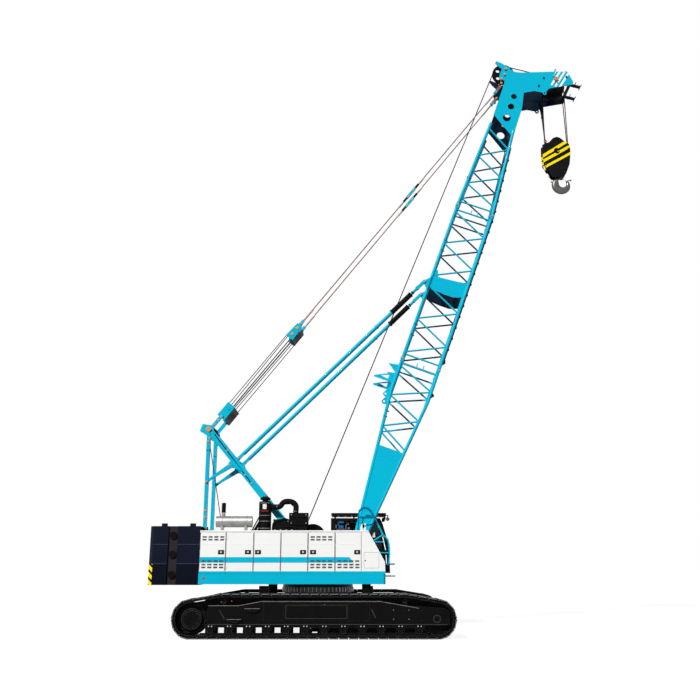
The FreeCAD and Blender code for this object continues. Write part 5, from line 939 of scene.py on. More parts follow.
def repeated(name, tree, places, size, direction, material, body, sides=6, smooth=False):
    """A piece made by a repeat tree from a list of places, read back as a plain mesh."""
    cloud = bpy.data.meshes.new(name + "_places")
    cloud.from_pydata([tuple(p) for p in places], [], [])
    holder = bpy.data.objects.new(name + "_places", cloud)
    bpy.context.scene.collection.objects.link(holder)
    nodes = holder.modifiers.new("repeat", "NODES")
    nodes.node_group = tree
    values = {"Size": size, "Direction": direction, "Sides": sides, "Finish": material}
    for item in tree.interface.items_tree:
        if item.item_type == "SOCKET" and item.in_out == "INPUT" and item.name in values:
            nodes[item.identifier] = values[item.name]
    evaluated = holder.evaluated_get(bpy.context.evaluated_depsgraph_get())
    data = bpy.data.meshes.new_from_object(evaluated)
    data.name = name
    holder.modifiers.clear()
    bpy.data.objects.remove(holder)
    return piece(name, data, material, body, smooth)


print("inputs of a tree:", [item.name for item in HEADS.interface.items_tree if item.in_out == "INPUT"])

# %% [markdown]
# ## Bolts of the undercarriage
# Every bottom roller hangs from the frame on four bolts, whose bright ends show in pairs below the
# frame's edge. The drive's round cover, the idler's slide and the cover plates are bolted on too. A
# picture of bolts would look flat from the side, so each head is a real one, set by the repeat tree.

# %% Undercarriage bolts
SIDES = (("right", -1.0), ("left", 1.0))
TRACK_Y = 2.475
AXLE_X, AXLE_Z = 3.560, 0.556
ROLLER_X = [-3.0 + 0.55 * i for i in range(12)]
PAIR_X = 0.045
COVER_RINGS = ((2.765, 0.265, 14), (2.805, 0.185, 10))
SLIDE_BOLTS = [(x, z) for x in (2.575, 3.119) for z in (0.510, 0.780)]
LID_BOLTS_X, LID_BOLTS_Z = (-1.39, -0.95, 1.06, 1.53), 0.985


def circle(x, y, z, radius, count):
    """Places evenly round a circle in the side view."""
    angles = [2.0 * math.pi * i / count for i in range(count)]
    return [(x + radius * math.cos(a), y, z + radius * math.sin(a)) for a in angles]


for word, side in SIDES:
    outward = (0.0, side, 0.0)
    ends = [(x + dx, side * 2.786, 0.352) for x in ROLLER_X for dx in (-PAIR_X, PAIR_X)]
    repeated("roller_bolts_" + word, HEADS, ends, (0.019, 0.0, 0.030), outward, bolt_bright,
             "undercarriage", 8)
    heads = []
    for y, radius, count in COVER_RINGS:
        heads += circle(-AXLE_X, side * y, AXLE_Z, radius, count)
    heads += [(x, side * 2.806, z) for x, z in SLIDE_BOLTS]
    heads += [(x, side * 2.820, LID_BOLTS_Z) for x in LID_BOLTS_X]
    repeated("frame_bolts_" + word, HEADS, heads, (0.017, 0.0, 0.020), outward, base_black, "undercarriage")
tell("undercarriage bolts")

# %% [markdown]
# ## Trim of the side frames
# Light scrapes run where boots and mats rub: along the frame's top and bottom flanges and round its covers.
# The same bars are also painted highlights, the light that these edges catch. A worn edge in the paint would
# be too thin to see from afar, so these are thin bars and rings in the grey of rubbed iron.

# %% Frame flanges
FLANGE_IN, FLANGE_OUT = 2.798, 2.812
LID_X, LID_LOW, LID_HIGH, LID_EDGE = (-0.82, 0.95), 0.560, 0.944, 0.014
FLANGES = ((-3.05, 3.86, 0.392, 0.412), (-1.50, 1.89, 1.018, 1.038),
           (*LID_X, LID_LOW, LID_LOW + LID_EDGE), (*LID_X, LID_HIGH - LID_EDGE, LID_HIGH))
COVER_RIMS = ((-AXLE_X, 2.764, 0.288, 0.008, 40), (AXLE_X, 2.802, 0.105, 0.010, 24))
SLOPES = ((-2.760, 0.802, 0.155), (1.649, 0.830, 0.114))

for word, side in SIDES:
    trim = bmesh.new()
    y0, y1 = side * FLANGE_IN, side * FLANGE_OUT
    for x0, x1, z0, z1 in FLANGES:
        add_box(trim, (x0, y0, z0), (x1, y1, z1))
    for x in LID_X:
        add_box(trim, (x - 0.008, y0, LID_LOW), (x + 0.008, y1, LID_HIGH))
    for x, y, radius, wire, steps in COVER_RIMS:
        add_ring(trim, (x, side * y, AXLE_Z), ASIDE, radius, wire, steps, 6)
    for x, z, lean in SLOPES:
        slope = [(x, z), (x + 0.03, z), (x + lean + 0.03, z - 0.248), (x + lean, z - 0.248)]
        add_plate(trim, slope, y0, side * 2.830)
    # Painted highlight and wear: pale bars along the flanges, lids, rims and slopes.
    piece("frame_trim_" + word, trim, edge_wear_and_dim_highlight, "undercarriage")
tell("frame flanges")

# %% [markdown]
# ## Slewing ring
# The outer race is held by a ring of upright studs. They stand close together under the platform, so
# the ring reads as a row of bright vertical marks, and six sides are enough for each.

# %% Ring studs
STUDS, STUD_CIRCLE, STUD_RADIUS = 56, 1.142, 0.016
STUD_LOW, STUD_HIGH = 1.262, 1.392

ring_studs = bmesh.new()
for i in range(STUDS):
    angle = 2.0 * math.pi * i / STUDS
    x, y = STUD_CIRCLE * math.cos(angle), STUD_CIRCLE * math.sin(angle)
    add_rod(ring_studs, (x, y, STUD_LOW), (x, y, STUD_HIGH), STUD_RADIUS, 6)
piece("ring_studs", ring_studs, bolt_bright, "undercarriage")
tell("slewing ring")

# %% [markdown]
# ## Doors of the engine house
# Each door has a black paddle latch with a bright key plate, a pressed line across it and, on the
# vented ones, blades behind the slots. All of it swings with its own door, so each door's fittings are
# pieces of their own, and one function makes them from the door's place in the row.

# %% Door fittings
HOUSE_Y = 1.680
SEAMS = [-3.606, -2.800, -1.940, -1.100, -0.260, 0.577, 1.395]
LATCH_X = {"right": (-2.94, -2.11, -1.80, -0.41, -0.10, 1.26), "left": (-2.94, -2.11, -1.80, -0.41)}
LATCH_Z, LINE_Z = 2.456, 2.700
DOOR_LOW, DOOR_HIGH = 1.905, 3.030
HINGES_Z = (2.02, 2.90)
LOW_VENTS, HIGH_VENTS = (2.184, 2.080, 1.996), (2.907, 2.825)
VENT_ROWS = {0: HIGH_VENTS + LOW_VENTS, 4: HIGH_VENTS + LOW_VENTS, 5: LOW_VENTS}
HINGED_AHEAD, PLAIN = (2, 4), (2, 3)


def blade_places(i, face, side):
    """Three blades in each slot, four slots in each row of a vented door."""
    return [(SEAMS[i] + 0.142 + 0.182 * column, face - side * 0.020, z - 0.018 + 0.018 * step)
            for z in VENT_ROWS[i] for column in range(4) for step in range(3)]


def door_fittings(word, side, i):
    """Latch, key plate, seal, pressed line and vent blades of one door."""
    number = "_%s_%d" % (word, i + 1)
    body, face, x = "door" + number, side * HOUSE_Y, LATCH_X[word][i]

    def slab(mesh, x0, x1, z0, z1, sunk, proud):
        add_box(mesh, (x0, face - side * sunk, z0), (x1, face + side * proud, z1))

    latch, key, seal, pressed = bmesh.new(), bmesh.new(), bmesh.new(), bmesh.new()
    slab(latch, x - 0.092, x + 0.092, LATCH_Z - 0.062, LATCH_Z + 0.062, 0.004, 0.012)
    piece("latch" + number, latch, rubber, body, bevel=0.004)
    slab(key, x - 0.030, x + 0.030, LATCH_Z - 0.028, LATCH_Z + 0.028, 0.0, 0.018)
    piece("key_plate" + number, key, bolt_bright, body)
    for x0, x1 in ((SEAMS[i] + 0.008, SEAMS[i] + 0.018), (SEAMS[i + 1] - 0.018, SEAMS[i + 1] - 0.008)):
        slab(seal, x0, x1, DOOR_LOW, DOOR_HIGH, 0.002, 0.003)
    piece("door_seal" + number, seal, seam_grey, body)
    slab(pressed, SEAMS[i] + 0.06, SEAMS[i + 1] - 0.06, LINE_Z - 0.006, LINE_Z + 0.006, 0.002, 0.004)
    hinge_x = SEAMS[i + 1] - 0.035 if i in HINGED_AHEAD else SEAMS[i] + 0.035
    if i not in VENT_ROWS and i not in PLAIN:
        for z in HINGES_Z:
            slab(pressed, hinge_x - 0.018, hinge_x + 0.018, z - 0.05, z + 0.05, 0.0, 0.010)
    piece("door_pressing" + number, pressed, white_paint, body, bevel=0.002)
    if i in VENT_ROWS:
        # The grey of the blades is painted shade on white blades.
        repeated("vent_blades" + number, BLADES, blade_places(i, face, side), (0.128, 0.003, 0.022),
                 (0.0, side * 0.8, 0.6), vent_blade_grey_shade, body)


for word, side in SIDES:
    for i in range(len(LATCH_X[word])):
        door_fittings(word, side, i)
tell("doors")

# %% [markdown]
# ## House front, roof and markers
# The nose has a small locked hatch, drawn by the four gaps round its lid. A drip strip runs under the
# roof edge, and a red marker sits at the platform's tail. All are thin slabs laid on the sheet.

# %% House trim
HATCH_X, HATCH_Z = (1.470, 1.931), (1.976, 2.445)
HATCH_GAP, HATCH_INSET = 0.006, 0.002
HATCH_LOCK = (1.508, 2.201)
HATCH_ROWS = [(HATCH_X[0] + HATCH_INSET, HATCH_X[1] - HATCH_INSET, z, z + HATCH_GAP)
              for z in (HATCH_Z[1] - HATCH_GAP, HATCH_Z[0])]
HATCH_POSTS = [(x, x + HATCH_GAP, *HATCH_Z) for x in (HATCH_X[0], HATCH_X[1] - HATCH_GAP)]

house_trim, hatch, markers = bmesh.new(), bmesh.new(), bmesh.new()
for side, x1 in ((-1.0, 1.60), (1.0, 0.33)):
    add_box(house_trim, (-3.60, side * 1.678, 3.072), (x1, side * 1.690, 3.084))
    add_box(markers, (-3.490, side * 1.679, 1.655), (-3.400, side * 1.688, 1.705))
for x0, x1, z0, z1 in HATCH_ROWS + HATCH_POSTS:
    add_box(hatch, (x0, -1.6812, z0), (x1, -1.6780, z1))
add_rod(hatch, (HATCH_LOCK[0], -1.678, HATCH_LOCK[1]), (HATCH_LOCK[0], -1.690, HATCH_LOCK[1]), 0.018, 14)
piece("drip_strips", house_trim, white_paint, "upper")
piece("nose_hatch", hatch, rubber, "upper")
piece("tail_markers", markers, signal_red, "upper", bevel=0.003)
tell("house trim")

# %% [markdown]
# ## Marks on the counterweight
# The three cast slabs meet in fine pale lines, which are painted highlights on the edges of the joints, and
# in each side a brown groove holds three round caps over the tie bolts. The slabs are separate solids
# already, so only the lines and caps are added.

# %% Counterweight trim
SLAB_JOINTS = (2.107, 2.687)
GROOVE_X, GROOVE_CAPS_Z = (-4.588, -4.302), (1.792, 2.397, 2.964)
CAP_X = sum(GROOVE_X) / 2.0

seams, groove, caps = bmesh.new(), bmesh.new(), bmesh.new()
# The pale joint lines are painted highlights.
for z in SLAB_JOINTS:
    for side in (-1.0, 1.0):
        for x0, x1 in ((-5.06, -4.60), (-4.29, -3.62)):
            add_box(seams, (x0, side * 1.6795, z - 0.006), (x1, side * 1.6815, z + 0.006))
    add_box(seams, (-5.1715, -1.57, z - 0.006), (-5.1690, 1.57, z + 0.006))
for side in (-1.0, 1.0):
    add_box(groove, (GROOVE_X[0], side * 1.6204, 1.480), (GROOVE_X[1], side * 1.6235, 3.238))
    for z in GROOVE_CAPS_Z:
        add_rod(caps, (CAP_X, side * 1.622, z), (CAP_X, side * 1.681, z), 0.115, 24)
piece("weight_joint_highlights", seams, weight_joint_highlight, "upper")
piece("weight_grooves", groove, groove_brown, "upper")
piece("weight_caps", caps, base_black, "upper", bevel=0.006)
tell("counterweight trim")

# %% [markdown]
# ## Wire ropes
# A rope runs straight between the wheels that hold it. Where its ends sit on bodies that move apart, the
# piece rides on neither and its place is baked into its mesh; it has rings along its length all the same. A
# curve with a bevel could make a rope as well, but a tube of rings is a plain mesh at once.

# %% Running ropes
FALL_STEPS = 14
HOIST_ROPE, LUFF_ROPE, LEAD_ROPE, DEAD_ROPE = 0.018, 0.014, 0.018, 0.026
TACKLE_AXLE, BRIDLE_AXLE = 0.960, 4.330
STAY_ACROSS = Vector((STAY_ALONG.z, 0.0, -STAY_ALONG.x))
LUFF_RUNS = ((-0.150, -0.150, -0.32), (-0.075, -0.120, -0.22), (-0.050, -0.060, 0.10),
             (-0.020, -0.020, -0.10), (0.015, 0.040, 0.0), (0.040, 0.075, 0.22), (0.060, 0.100, -0.16),
             (0.140, 0.150, 0.32))
FALL_LEAD, FALL_END_Z = 0.4243, 17.04
FALL_ROWS = ((-0.05, 0.0), (0.05, 0.055))


def stay_place(along, across=0.0, y=0.0):
    """A place counted from the gantry's top pin along the stays, and below them."""
    return GANTRY_TOP + STAY_ALONG * along + STAY_ACROSS * across + Vector((0.0, y, 0.0))


def stretched(mesh, start, end, radius, steps=FALL_STEPS, sides=8):
    """A straight rope with rings along its length."""
    start, end = Vector(start), Vector(end)
    add_tube(mesh, [start.lerp(end, i / steps) for i in range(steps + 1)], radius, sides)


luffing, hoist = bmesh.new(), bmesh.new()
for low, high, y in LUFF_RUNS:
    stretched(luffing, stay_place(TACKLE_AXLE, low, y), stay_place(BRIDLE_AXLE, high, y), LUFF_ROPE)
luffing_bend = ("tackle_head", "bridle", stay_place(TACKLE_AXLE + 0.25), stay_place(BRIDLE_AXLE - 0.25))
luffing_ropes = piece("luffing_ropes", luffing, rope_dark, None, True, luffing_bend)
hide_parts("luffing_falls")

for dx in (-FALL_LEAD, FALL_LEAD):
    for y, splay in FALL_ROWS:
        top = (TIP_AXLE.x + dx - math.copysign(splay, dx), y, TIP_AXLE.z)
        stretched(hoist, top, (TIP_AXLE.x + dx, y, FALL_END_Z), HOIST_ROPE)
hoist_bend = ("boom_tip", "hook_block", Vector((TIP_AXLE.x, 0.0, TIP_AXLE.z - 0.6)),
              Vector((TIP_AXLE.x, 0.0, 17.5)))
hoist_ropes = piece("hoist_ropes", hoist, rope_dark, None, True, hoist_bend)
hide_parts("hoist_falls")
tell("running ropes")

# %% [markdown]
# ## Rope leads
# From its drum the hoist rope runs up to the guide wheel, round it and over the head to the tip wheels. A
# taut rope leaves a wheel along a line that touches it, so the places are worked out as the tangent of two
# circles. The lower lead rides on no body: its place is baked into its mesh.

# %% Leads
DRUM_AXLE, DRUM_WIND = Vector((-0.170, 0.0, 2.950)), 0.356
GUIDE_WIND, TIP_WIND = 0.384, 0.41
LEAD_Y, OVER_Y = -0.20, -0.05
LEAD_BEND = 0.18
WRAP_STEPS = 16


def tangent(start, start_radius, end, end_radius):
    """The straight line that touches two circles on their left, looking from start to end."""
    gap = Vector((end.x - start.x, 0.0, end.z - start.z))
    along = gap.normalized()
    side = Vector((-along.z, 0.0, along.x))
    lean = (start_radius - end_radius) / gap.length
    normal = side * math.sqrt(1.0 - lean * lean) + along * lean
    return start + normal * start_radius, end + normal * end_radius


lead_low, lead_high = tangent(DRUM_AXLE, DRUM_WIND, GUIDE_AXLE, GUIDE_WIND)
lead_low.y, lead_high.y = LEAD_Y, GUIDE_AXLE.y
lead = bmesh.new()
stretched(lead, lead_low, lead_high, LEAD_ROPE, 40)
piece("hoist_lead", lead, rope_dark, None, True,
      ("upper", "boom", lead_low, lead_low.lerp(lead_high, LEAD_BEND)))

over_start, over_end = tangent(GUIDE_AXLE, GUIDE_WIND, TIP_AXLE, TIP_WIND)
over_start.y, over_end.y = GUIDE_AXLE.y, OVER_Y
over = bmesh.new()
stretched(over, over_start, over_end, LEAD_ROPE, 6)
wrap_from = math.atan2(lead_high.z - GUIDE_AXLE.z, lead_high.x - GUIDE_AXLE.x)
wrap_to = math.atan2(over_start.z - GUIDE_AXLE.z, over_start.x - GUIDE_AXLE.x)
wrap = [wrap_from + (wrap_to - wrap_from) * i / WRAP_STEPS for i in range(WRAP_STEPS + 1)]
wrap_places = [GUIDE_AXLE + GUIDE_WIND * Vector((math.cos(a), 0.0, math.sin(a))) for a in wrap]
add_tube(over, wrap_places, HOIST_ROPE, 8)
piece("rope_over_head", over, rope_dark, "boom", True)
tell("hoist leads")

# %% [markdown]
# ## Luffing lead and its roller
# From the gantry's top wheel the luffing rope drops to a roller between the houses, bends round it and
# runs on to the drum. It stays on one body, so it is a plain tube through its points.

# %% Luffing lead
ROLLER = Vector((-2.960, 0.0, 2.420))
ROLLER_RADIUS, ROLLER_Y = 0.090, (-0.155, -0.045)
BRACKETS_Y, BRACKET_FOOT = (-0.185, -0.035), 1.820
LUFF_ROUTE = [(-3.780, -0.12, 6.430), (-3.261, -0.10, 3.685), (-3.062, -0.10, 2.470), (-3.040, -0.10, 2.365),
              (-2.985, -0.10, 2.318), (-2.920, -0.10, 2.300), (-2.450, -0.10, 2.022)]

luff_lead, lead_parts = bmesh.new(), bmesh.new()
add_tube(luff_lead, LUFF_ROUTE, LUFF_ROPE, 8)
piece("luffing_lead", luff_lead, rope_dark, "upper", True)
add_rod(lead_parts, *[(ROLLER.x, y, ROLLER.z) for y in ROLLER_Y], ROLLER_RADIUS, 24)
for y in BRACKETS_Y:
    add_box(lead_parts, (ROLLER.x - 0.06, y, BRACKET_FOOT), (ROLLER.x + 0.06, y + 0.020, ROLLER.z + 0.05))
piece("lead_roller", lead_parts, deck_black, "upper")
tell("luffing lead")

# %% [markdown]
# ## Windings on the drums
# Wound rope is a fine helix. Closed rings laid side by side read the same and cost less, and a ring has
# no loose end to hide.

# %% Windings
WINDINGS = (("hoist_windings", DRUM_AXLE, DRUM_WIND, 0.014, "hoist_drum"),
            ("luffing_windings", Vector((-2.350, 0.0, 2.260)), 0.256, 0.011, "luffing_drum"))
DRUM_HALF = 0.455

for name, axle, radius, wire, body in WINDINGS:
    windings = bmesh.new()
    turns = int(DRUM_HALF / wire)
    for i in range(turns):
        y = -DRUM_HALF + wire + i * 2.0 * (DRUM_HALF - wire) / (turns - 1)
        add_ring(windings, (axle.x, y, axle.z), ASIDE, radius, wire, 28, 5)
    piece(name, windings, rope_wire, body, True)
tell("windings")

# %% [markdown]
# ## Stays and their pins
# The stays are rusty wire with pale swaged sleeves at each end, blue forks and links at the joints, and
# waxed orange pins. All are counted along the stay itself, so the row follows if the gantry moves.

# %% Stays
STAY_Y = 0.385
STAY_REACH = (STAY_PIN - GANTRY_TOP).length
STAY_LINK, LINK_HOLE = 11.0, 0.30
BRIDLE_PIN = 4.810
SLEEVES = ((BRIDLE_PIN + 0.16, BRIDLE_PIN + 0.72), (STAY_LINK - 0.62, STAY_LINK - 0.04),
           (STAY_LINK + 0.34, STAY_LINK + 0.92), (STAY_REACH - 0.95, STAY_REACH - 0.33))
FORKS = ((STAY_REACH - 0.345, STAY_REACH - 0.225, 0.0615), (BRIDLE_PIN + 0.02, BRIDLE_PIN + 0.165, 0.016))
STAY_PINS = ((STAY_LINK, 0.046), (STAY_LINK + LINK_HOLE, 0.046), (BRIDLE_PIN, 0.058), (STAY_REACH, 0.068))
SOCKETS = ((STAY_LINK - 0.30, STAY_LINK - 0.07), (STAY_LINK + 0.37, STAY_LINK + 0.60))


def stay_bar(mesh, start, end, half, y, thick):
    """A flat bar along a stay, half as deep as a value, from one plane across to another."""
    corners = [stay_place(start, -half, y), stay_place(end, -half, y), stay_place(end, half, y),
               stay_place(start, half, y)]
    add_prism(mesh, corners, (0.0, thick, 0.0))


sleeves, forks, stay_pins = bmesh.new(), bmesh.new(), bmesh.new()
links, sockets = bmesh.new(), bmesh.new()
for y in (-STAY_Y, STAY_Y):
    for start, end in SLEEVES:
        points = [stay_place(at, 0.0, y) for at in (start, start + 0.06, end - 0.06, end)]
        add_tube(sleeves, points, [0.024, 0.036, 0.036, 0.024], 10)
    for start, end, half in FORKS:
        stay_bar(forks, start, end, 0.052, y - half, 2.0 * half)
    for at, half in STAY_PINS:
        add_rod(stay_pins, stay_place(at, 0.0, y - half), stay_place(at, 0.0, y + half), 0.034, 10)
    for inner in (-1.0, 1.0):
        near = y + inner * 0.030
        stay_bar(links, STAY_LINK - 0.10, STAY_LINK + LINK_HOLE + 0.10, 0.046, near, inner * 0.012)
    for start, end in SOCKETS:
        add_rod(sockets, stay_place(start, 0.0, y), stay_place(end, 0.0, y), 0.042, 10)
piece("stay_links", links, cyan_paint, "bridle")
piece("stay_sockets", sockets, deck_black, "bridle", True)
piece("stay_sleeves", sleeves, sleeve_pink, "bridle", True)
piece("stay_forks", forks, cyan_paint, "bridle")
piece("stay_pins", stay_pins, bolt_orange, "bridle")
tell("stays")

# %% [markdown]
# ## Spreaders
# Grey plates with oval lightening holes close the two sheave boxes from below, and every pin shows an orange,
# waxed head. The ovals are dark plates laid on the cover, painted shade for the holes, because nothing shows
# behind them.

# %% Spreaders
OVAL_SIDES, OVAL_WIDE, OVAL_LONG = 20, 0.055, 0.26
COVER_ACROSS = 0.150
BOX_BOLTS = [stay_place(at, 0.0, -0.5960) for at in (0.26, 0.44, 0.60)]


def spreader_plate(name, body, start, end, half, holes):
    """A grey cover under a sheave box, with dark ovals of painted shade where its holes are."""
    cover, ovals = bmesh.new(), bmesh.new()
    corners = ((start, -half), (end, -half), (end, half), (start, half))
    add_prism(cover, [stay_place(at, COVER_ACROSS, y) for at, y in corners], STAY_ACROSS * 0.012)
    middle, long = (start + end) / 2.0, (end - start) * OVAL_LONG
    for y in holes:
        rim = [stay_place(middle + long * math.cos(a), COVER_ACROSS + 0.013, y + OVAL_WIDE * math.sin(a))
               for a in (2.0 * math.pi * i / OVAL_SIDES for i in range(OVAL_SIDES))]
        # Dark ovals of painted shade stand for the view into the box through its holes.
        add_prism(ovals, rim, STAY_ACROSS * 0.002)
    piece(name + "_cover", cover, spreader_grey, body)
    piece(name + "_hole_shade", ovals, rubber, body)


spreader_plate("tackle", "tackle_head", 0.575, 1.105, 0.530, (-0.34, -0.12, 0.12, 0.34))
spreader_plate("bridle", "bridle", 4.185, 4.700, 0.392, (-0.25, 0.0, 0.25))

far_bolts = [Vector((p.x, -p.y, p.z)) for p in BOX_BOLTS]
axle_caps = [stay_place(TACKLE_AXLE, 0.0, y) for y in (-0.566, 0.566)]
bridle_caps = [stay_place(at, 0.0, y) for at in (BRIDLE_AXLE, 4.610) for y in (-0.428, 0.428)]
for name, bolts, side in (("tackle_bolts", BOX_BOLTS, -1.0), ("tackle_bolts_far", far_bolts, 1.0)):
    repeated(name, HEADS, bolts, (0.034, 0.0, 0.020), (0.0, side, 0.0), bolt_orange, "tackle_head", 8)
repeated("tackle_axle_caps", HEADS, axle_caps, (0.060, 0.0, 0.024), ASIDE, cyan_paint, "tackle_head", 12)
repeated("bridle_caps", HEADS, bridle_caps, (0.052, 0.0, 0.022), ASIDE, bolt_orange, "bridle", 10)
tell("spreaders")

# %% [markdown]
# ## Boom stops
# Each stop is a blue tube with a black spring sleeve over the joint, collars at the sleeve's ends, two
# clamp bands near the boom and an orange pin at the fork. The collars are rings and not discs, so the
# rod can slide through the tube without meeting them.

# %% Boom stop trim
STOP_Y = 0.690
STRUT_REACH = (STRUT_EYE - STRUT_FOOT).length
TUBE_END, SLEEVE_END = 7.190, 8.130


def strut_place(along, y):
    """A place counted along a boom stop from its foot pin."""
    return STRUT_FOOT + STRUT_ALONG * along + Vector((0.0, y, 0.0))


sleeve_skin, collars, strut_pins, tube_collars = bmesh.new(), bmesh.new(), bmesh.new(), bmesh.new()
for y in (-STOP_Y, STOP_Y):
    add_rod(sleeve_skin, strut_place(TUBE_END - 0.022, y), strut_place(SLEEVE_END + 0.004, y), 0.0895, 20)
    for at in (TUBE_END + 0.005, SLEEVE_END - 0.015):
        add_ring(collars, strut_place(at, y), STRUT_ALONG, 0.092, 0.013, 24, 8)
    for at in (STRUT_REACH - 0.86, STRUT_REACH - 0.62):
        add_rod(collars, strut_place(at, y), strut_place(at + 0.05, y), 0.062, 16)
    add_rod(strut_pins, strut_place(STRUT_REACH, y - 0.068), strut_place(STRUT_REACH, y + 0.068), 0.030, 12)
    add_rod(tube_collars, strut_place(TUBE_END - 0.78, y), strut_place(TUBE_END - 0.70, y), 0.078, 18)
piece("strut_sleeves", sleeve_skin, rubber, "strut_rods", True)
piece("strut_collars", collars, rubber, "strut_rods", True, bevel=0.004)
piece("strut_pins", strut_pins, bolt_orange, "strut_rods", True)
piece("strut_tube_collars", tube_collars, cyan_paint, "strut_tubes", True, bevel=0.004)
tell("boom stops")

# %% [markdown]
# ## Gantry
# The legs and braces are pinned with waxed orange bolts. A dark slot runs down the outside of each mast arm,
# drawn as a black strip of painted shade, and gussets tie the braces to it. The mast leans, so its fittings
# are counted down the arm from the top pin, by a place function like the stays'.

# %% Gantry trim
MAST_FOOT = Vector((0.100, 0.0, 1.990))
MAST_ALONG = (MAST_FOOT - GANTRY_TOP).normalized()
MAST_ACROSS = Vector((-MAST_ALONG.z, 0.0, MAST_ALONG.x))
MAST_FACE, SLOT_HALF = 0.7800, 0.018
SLOT_RUNS = ((0.25, 1.92), (2.00, 2.27))
CORNER_GUSSET = [(-2.965, 5.290), (-2.835, 5.465), (-2.470, 5.040), (-2.880, 5.175)]
BRACE_CHEEK = [(-3.690, 4.665), (-3.650, 4.760), (-2.840, 5.280), (-2.800, 5.180)]
CHEEKS_Y = (0.7350, 0.8190)
LEG_X = -3.645
LEG_BOLTS = ((LEG_X, 0.7830, 3.57), (LEG_X, 0.7830, 3.78), (LEG_X, 0.8170, 4.70), (-2.920, 0.8170, 5.24),
             (LEG_X, 0.8030, 6.02), (-3.600, 0.8030, 6.14))
MAST_BOLTS = (0.95, 1.96, 2.32)


def mast_place(along, across=0.0, y=0.0):
    """A place counted from the gantry's top pin down the mast arm."""
    return GANTRY_TOP + MAST_ALONG * along + MAST_ACROSS * across + Vector((0.0, y, 0.0))


def slot_line(along):
    """How far the slot lies across the arm: it closes in on the arm's middle on the way down."""
    return 0.059 - 0.035 * along


gussets, slots = bmesh.new(), bmesh.new()
leg_bolts, mast_bolts, head_caps = [], [], []
for side in (-1.0, 1.0):
    add_plate(gussets, CORNER_GUSSET, side * 0.7805, side * 0.7990)
    for y in CHEEKS_Y:
        add_plate(gussets, BRACE_CHEEK, side * y, side * (y + 0.004))
    for start, end in SLOT_RUNS:
        corners = [mast_place(at, slot_line(at) + half, side * MAST_FACE) for at, half in
                   ((start, -SLOT_HALF), (end, -SLOT_HALF), (end, SLOT_HALF), (start, SLOT_HALF))]
        add_prism(slots, corners, (0.0, side * 0.004, 0.0))
    leg_bolts += [(x, side * y, z) for x, y, z in LEG_BOLTS]
    mast_bolts += [mast_place(at, slot_line(at), side * 0.786) for at in MAST_BOLTS]
    mast_bolts.append((STRUT_FOOT.x, side * 0.770, STRUT_FOOT.z))
    head_caps.append((GANTRY_TOP.x, side * 0.810, GANTRY_TOP.z))
piece("brace_gussets", gussets, cyan_paint, "upper", bevel=0.001)
# A black strip on each arm paints the shade in its slot.
piece("mast_slot_shade", slots, rubber, "upper")
hubs = [(GANTRY_TOP.x, y, GANTRY_TOP.z) for y in (-0.152, 0.152)]
repeated("leg_bolts", HEADS, leg_bolts, (0.036, 0.0, 0.030), ASIDE, bolt_orange, "upper", 8)
repeated("mast_bolts", HEADS, mast_bolts, (0.026, 0.0, 0.030), ASIDE, bolt_orange, "upper", 8)
repeated("gantry_head_caps", HEADS, head_caps, (0.105, 0.0, 0.030), ASIDE, bolt_orange, "upper", 4)
repeated("gantry_sheave_hubs", HEADS, hubs, (0.055, 0.0, 0.012), ASIDE, bolt_bright, "upper", 16)
tell("gantry")

# %% [markdown]
# ## Silencer and air cleaner
# The silencer is held by two straps and its stack has a black upper half with a rain bend. The air
# cleaner wears a blank label and a red band, curved patches that follow its drum. Straps and clips are
# thin hoops round the pipes.

# %% Silencer and air cleaner
DECK_ROW_Y = -1.000
CLEANER_X, CLEANER_RADIUS = -1.680, 0.197
PATCH_STEPS = 8
STACK_X, STACK_RADIUS = -3.010, 0.068
SILENCER_Z, STRAPS_X = 3.410, (-3.02, -2.24)
DRUM_CLIPS_Z = (3.20, 3.42, 3.60, 3.99)
HOSE_CLIPS = ((-1.30, 3.88, AHEAD), (-0.70, 3.74, UP))


def cleaner_patch(z0, z1, half_angle, radius):
    """A thin curved patch on the air cleaner's near side."""
    patch = bmesh.new()
    angles = [-math.pi / 2.0 + half_angle * (2.0 * i / PATCH_STEPS - 1.0) for i in range(PATCH_STEPS + 1)]

    def arc(r, turns):
        return [(CLEANER_X + r * math.cos(a), DECK_ROW_Y + r * math.sin(a), z0) for a in turns]

    add_prism(patch, arc(radius, angles) + arc(CLEANER_RADIUS, angles[::-1]), (0.0, 0.0, z1 - z0))
    return patch


straps, stack_top, clips = bmesh.new(), bmesh.new(), bmesh.new()
for x in STRAPS_X:
    add_ring(straps, (x, DECK_ROW_Y, SILENCER_Z), AHEAD, 0.184, 0.008, 40, 6)
for z0, z1, radius in ((3.700, 3.985, STACK_RADIUS), (3.985, 4.010, 0.045)):
    add_rod(stack_top, (STACK_X, DECK_ROW_Y, z0), (STACK_X, DECK_ROW_Y, z1), STACK_RADIUS, 20, radius)
for z in DRUM_CLIPS_Z:
    add_ring(clips, (CLEANER_X, DECK_ROW_Y, z), UP, 0.202, 0.007, 40, 6)
for x, z, along in HOSE_CLIPS:
    add_ring(clips, (x, DECK_ROW_Y, z), along, 0.083, 0.007, 28, 6)
piece("silencer_straps", straps, bolt_bright, "upper", True)
piece("stack_sleeve", stack_top, rubber, "upper", True)
piece("cleaner_label", cleaner_patch(3.800, 3.955, 0.30, 0.202), lamp_white, "upper")
piece("cleaner_band", cleaner_patch(3.725, 3.745, 0.62, 0.203), signal_red, "upper")
piece("pipe_clips", clips, bolt_bright, "upper", True)
tell("silencer and air cleaner")

# %% [markdown]
# ## Pipes and hoses
# Pipes, caps and ribs break up the dark engine blocks. The intake hose bends smoothly from the air
# cleaner down to the engine: a curve is drawn through a few chosen points, so that it has no corners.

